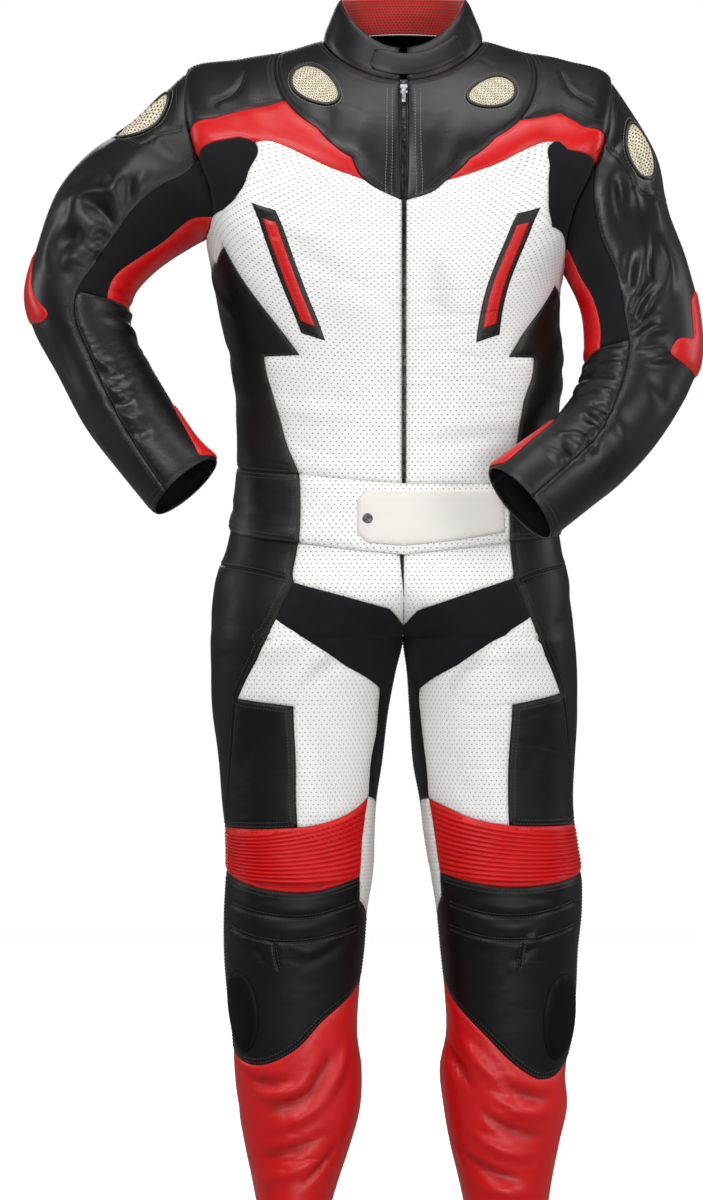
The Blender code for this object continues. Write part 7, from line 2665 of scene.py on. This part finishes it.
def tooth(name: str) -> bpy.types.Object:
    """One half tooth of a moulded zip, its length along X.

    Args:
        name: Name of its mesh.

    Returns:
        The tooth, not yet in the scene.
    """
    size = Vector((0.0017, 0.0022, 0.0013))
    mesh = bpy.data.meshes.new(name)
    corners = []
    for level, share in ((0.0, 1.0), (0.7, 1.0), (1.0, 0.62)):
        for x, y in ((-1, -1), (1, -1), (1, 1), (-1, 1)):
            corners.append((x * size.x / 2 * share, y * size.y / 2 * (0.5 + 0.5 * share),
                            size.z * level))
    faces = [(3, 2, 1, 0), (8, 9, 10, 11)]
    for ring in (0, 4):
        faces += [(ring + i, ring + (i + 1) % 4, ring + 4 + (i + 1) % 4, ring + 4 + i)
                  for i in range(4)]
    mesh.from_pydata(corners, [], faces)
    return bpy.data.objects.new(name, mesh)


# --- stage ----------------------------------------------------------------------------------
@dataclass(frozen=True)
class Lamp:
    """A soft rectangular light that faces a point."""

    name: str
    place: tuple[float, float, float]
    aim: tuple[float, float, float]
    size: tuple[float, float]
    watts: float
    colour: Colour = (1.0, 1.0, 1.0)

    def build(self) -> None:
        """Hangs the light."""
        lamp = bpy.data.lights.new(self.name, "AREA")
        lamp.shape = "RECTANGLE"
        lamp.size, lamp.size_y = self.size
        lamp.energy = self.watts
        lamp.color = self.colour
        piece = bpy.data.objects.new(self.name, lamp)
        way = Vector(self.aim) - Vector(self.place)
        piece.matrix_world = (Matrix.Translation(self.place)
                              @ way.to_track_quat("-Z", "Y").to_matrix().to_4x4())
        bpy.context.scene.collection.objects.link(piece)


LAMPS = (
    Lamp("Key", (-1.5, -3.0, 1.5), (0.0, 0.0, -0.4), (1.3, 1.3), 76.0),
    Lamp("Fill left", (2.9, -3.1, 0.6), (0.0, 0.0, -0.5), (1.2, 1.8), 54.0),
    Lamp("Rim right", (-3.0, 0.5, 0.3), (0.0, 0.0, -0.4), (0.6, 2.0), 24.0),
    Lamp("Rim left", (3.0, 0.7, 0.3), (0.0, 0.0, -0.4), (0.6, 2.0), 22.0),
    Lamp("Low", (0.3, -3.0, -1.15), (0.0, 0.0, -1.1), (1.4, 1.0), 34.0),
    Lamp("Back", (-0.6, 3.6, 0.9), (0.0, 0.0, -0.5), (1.8, 1.8), 40.0),
    Lamp("Top", (0.2, -0.9, 2.4), (0.0, 0.0, -0.2), (1.8, 1.2), 42.0),
)


@dataclass(frozen=True)
class Studio:
    """A pale floor, soft lights, a white surround and the camera."""

    floor: float = -1.472
    wide: float = 12.0
    distance: float = 7.0
    aim: tuple[float, float] = (-0.0654, -0.6858)
    field: float = 1.524
    sky: float = 0.13
    glow: float = 0.80
    bounce: float = 0.16

    def build(self) -> None:
        """Sets up the floor, the lights, the surround and the camera."""
        self.build_floor()
        for lamp in LAMPS:
            lamp.build()
        world = bpy.data.worlds.new("Studio")
        world.use_nodes = True
        sky = world.node_tree.nodes["Background"]
        sky.inputs["Color"].default_value = (1.0, 1.0, 1.0, 1.0)
        self.link_seen(world.node_tree, sky.inputs["Strength"], self.sky, 1.0)
        bpy.context.scene.world = world
        bpy.context.scene.view_settings.view_transform = "Standard"
        self.build_camera()

    def link_seen(self, nodes: bpy.types.NodeTree, socket: bpy.types.NodeSocket,
                  unseen: float, seen: float) -> None:
        """Gives a socket one value for the camera and another for light and reflections.

        Args:
            nodes: The socket's tree.
            socket: The socket.
            unseen: The value for light and reflections.
            seen: The value for the camera.
        """
        tree = Tree(nodes)
        camera = tree.add("ShaderNodeLightPath", out="Is Camera Ray")
        nodes.links.new(tree.add("ShaderNodeMapRange", camera, 0.0, 1.0, unseen, seen), socket)

    def build_floor(self) -> None:
        """Makes the floor, dark to reflections so that black leather stays black."""
        half = self.wide / 2
        mesh = bpy.data.meshes.new("floor")
        mesh.from_pydata([(x, y, self.floor) for x, y in
                          ((-half, -half), (half, -half), (half, half), (-half, half))],
                         [], [(0, 1, 2, 3)])
        paper, tree, skin = shader("Pale floor", (0.93, 0.93, 0.93))
        skin.inputs["Roughness"].default_value = 0.9
        skin.inputs["Emission Color"].default_value = (1.0, 1.0, 1.0, 1.0)
        nodes = paper.node_tree
        self.link_seen(nodes, skin.inputs["Emission Strength"], self.bounce, self.glow)
        self.link_seen(nodes, skin.inputs["Base Color"], 0.16, 0.93)
        mesh.materials.append(paper)
        floor = bpy.data.objects.new("floor", mesh)
        bpy.context.scene.collection.objects.link(floor)

    def build_camera(self) -> None:
        """Stands the camera straight in front."""
        lens = bpy.data.cameras.new("Camera")
        lens.sensor_fit = "VERTICAL"
        lens.sensor_height = 24.0
        lens.lens = lens.sensor_height * self.distance / self.field
        lens.dof.use_dof = False
        camera = bpy.data.objects.new("Camera", lens)
        camera.matrix_world = (Matrix.Translation((self.aim[0], -self.distance, self.aim[1]))
                               @ Matrix.Rotation(math.pi / 2, 4, "X"))
        bpy.context.scene.collection.objects.link(camera)
        bpy.context.scene.camera = camera


# --- the whole suit -------------------------------------------------------------------------
def thread_trees(finishes: Finishes) -> dict[str, bpy.types.NodeTree]:
    """The Geometry Nodes for each thread and for the zip's teeth.

    Args:
        finishes: The suit's materials.

    Returns:
        The trees by slot, and by "tooth".
    """
    stitch = capsule("stitch")
    trees = {}
    for slot in (Slot.BLACK, Slot.WHITE, Slot.RED, Slot.MESH):
        material = finishes.halo_thread if slot is Slot.MESH else finishes.thread(slot)
        trees[slot.value] = RowTree(f"Stitches {slot.value}", stitch, material).build()
    trees["tooth"] = RowTree("Zip teeth", tooth("tooth"), finishes.teeth).build()
    return trees


def main() -> None:
    """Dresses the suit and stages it."""
    logging.basicConfig(level=logging.INFO, format="%(name)s %(message)s", stream=sys.stdout)
    finishes = Finishes.make()
    rows = thread_trees(finishes)
    jacket = JacketBody(finishes, rows)
    jacket.build()
    CollarBand(finishes, rows, torso=jacket.skin).build()
    for side in Side:
        SleeveParts(finishes, rows, side=side, torso=jacket.skin).build()
        LegParts(finishes, rows, side=side).build()
    Fittings(finishes).build()
    Studio().build()


if __name__ == "__main__":
    main()
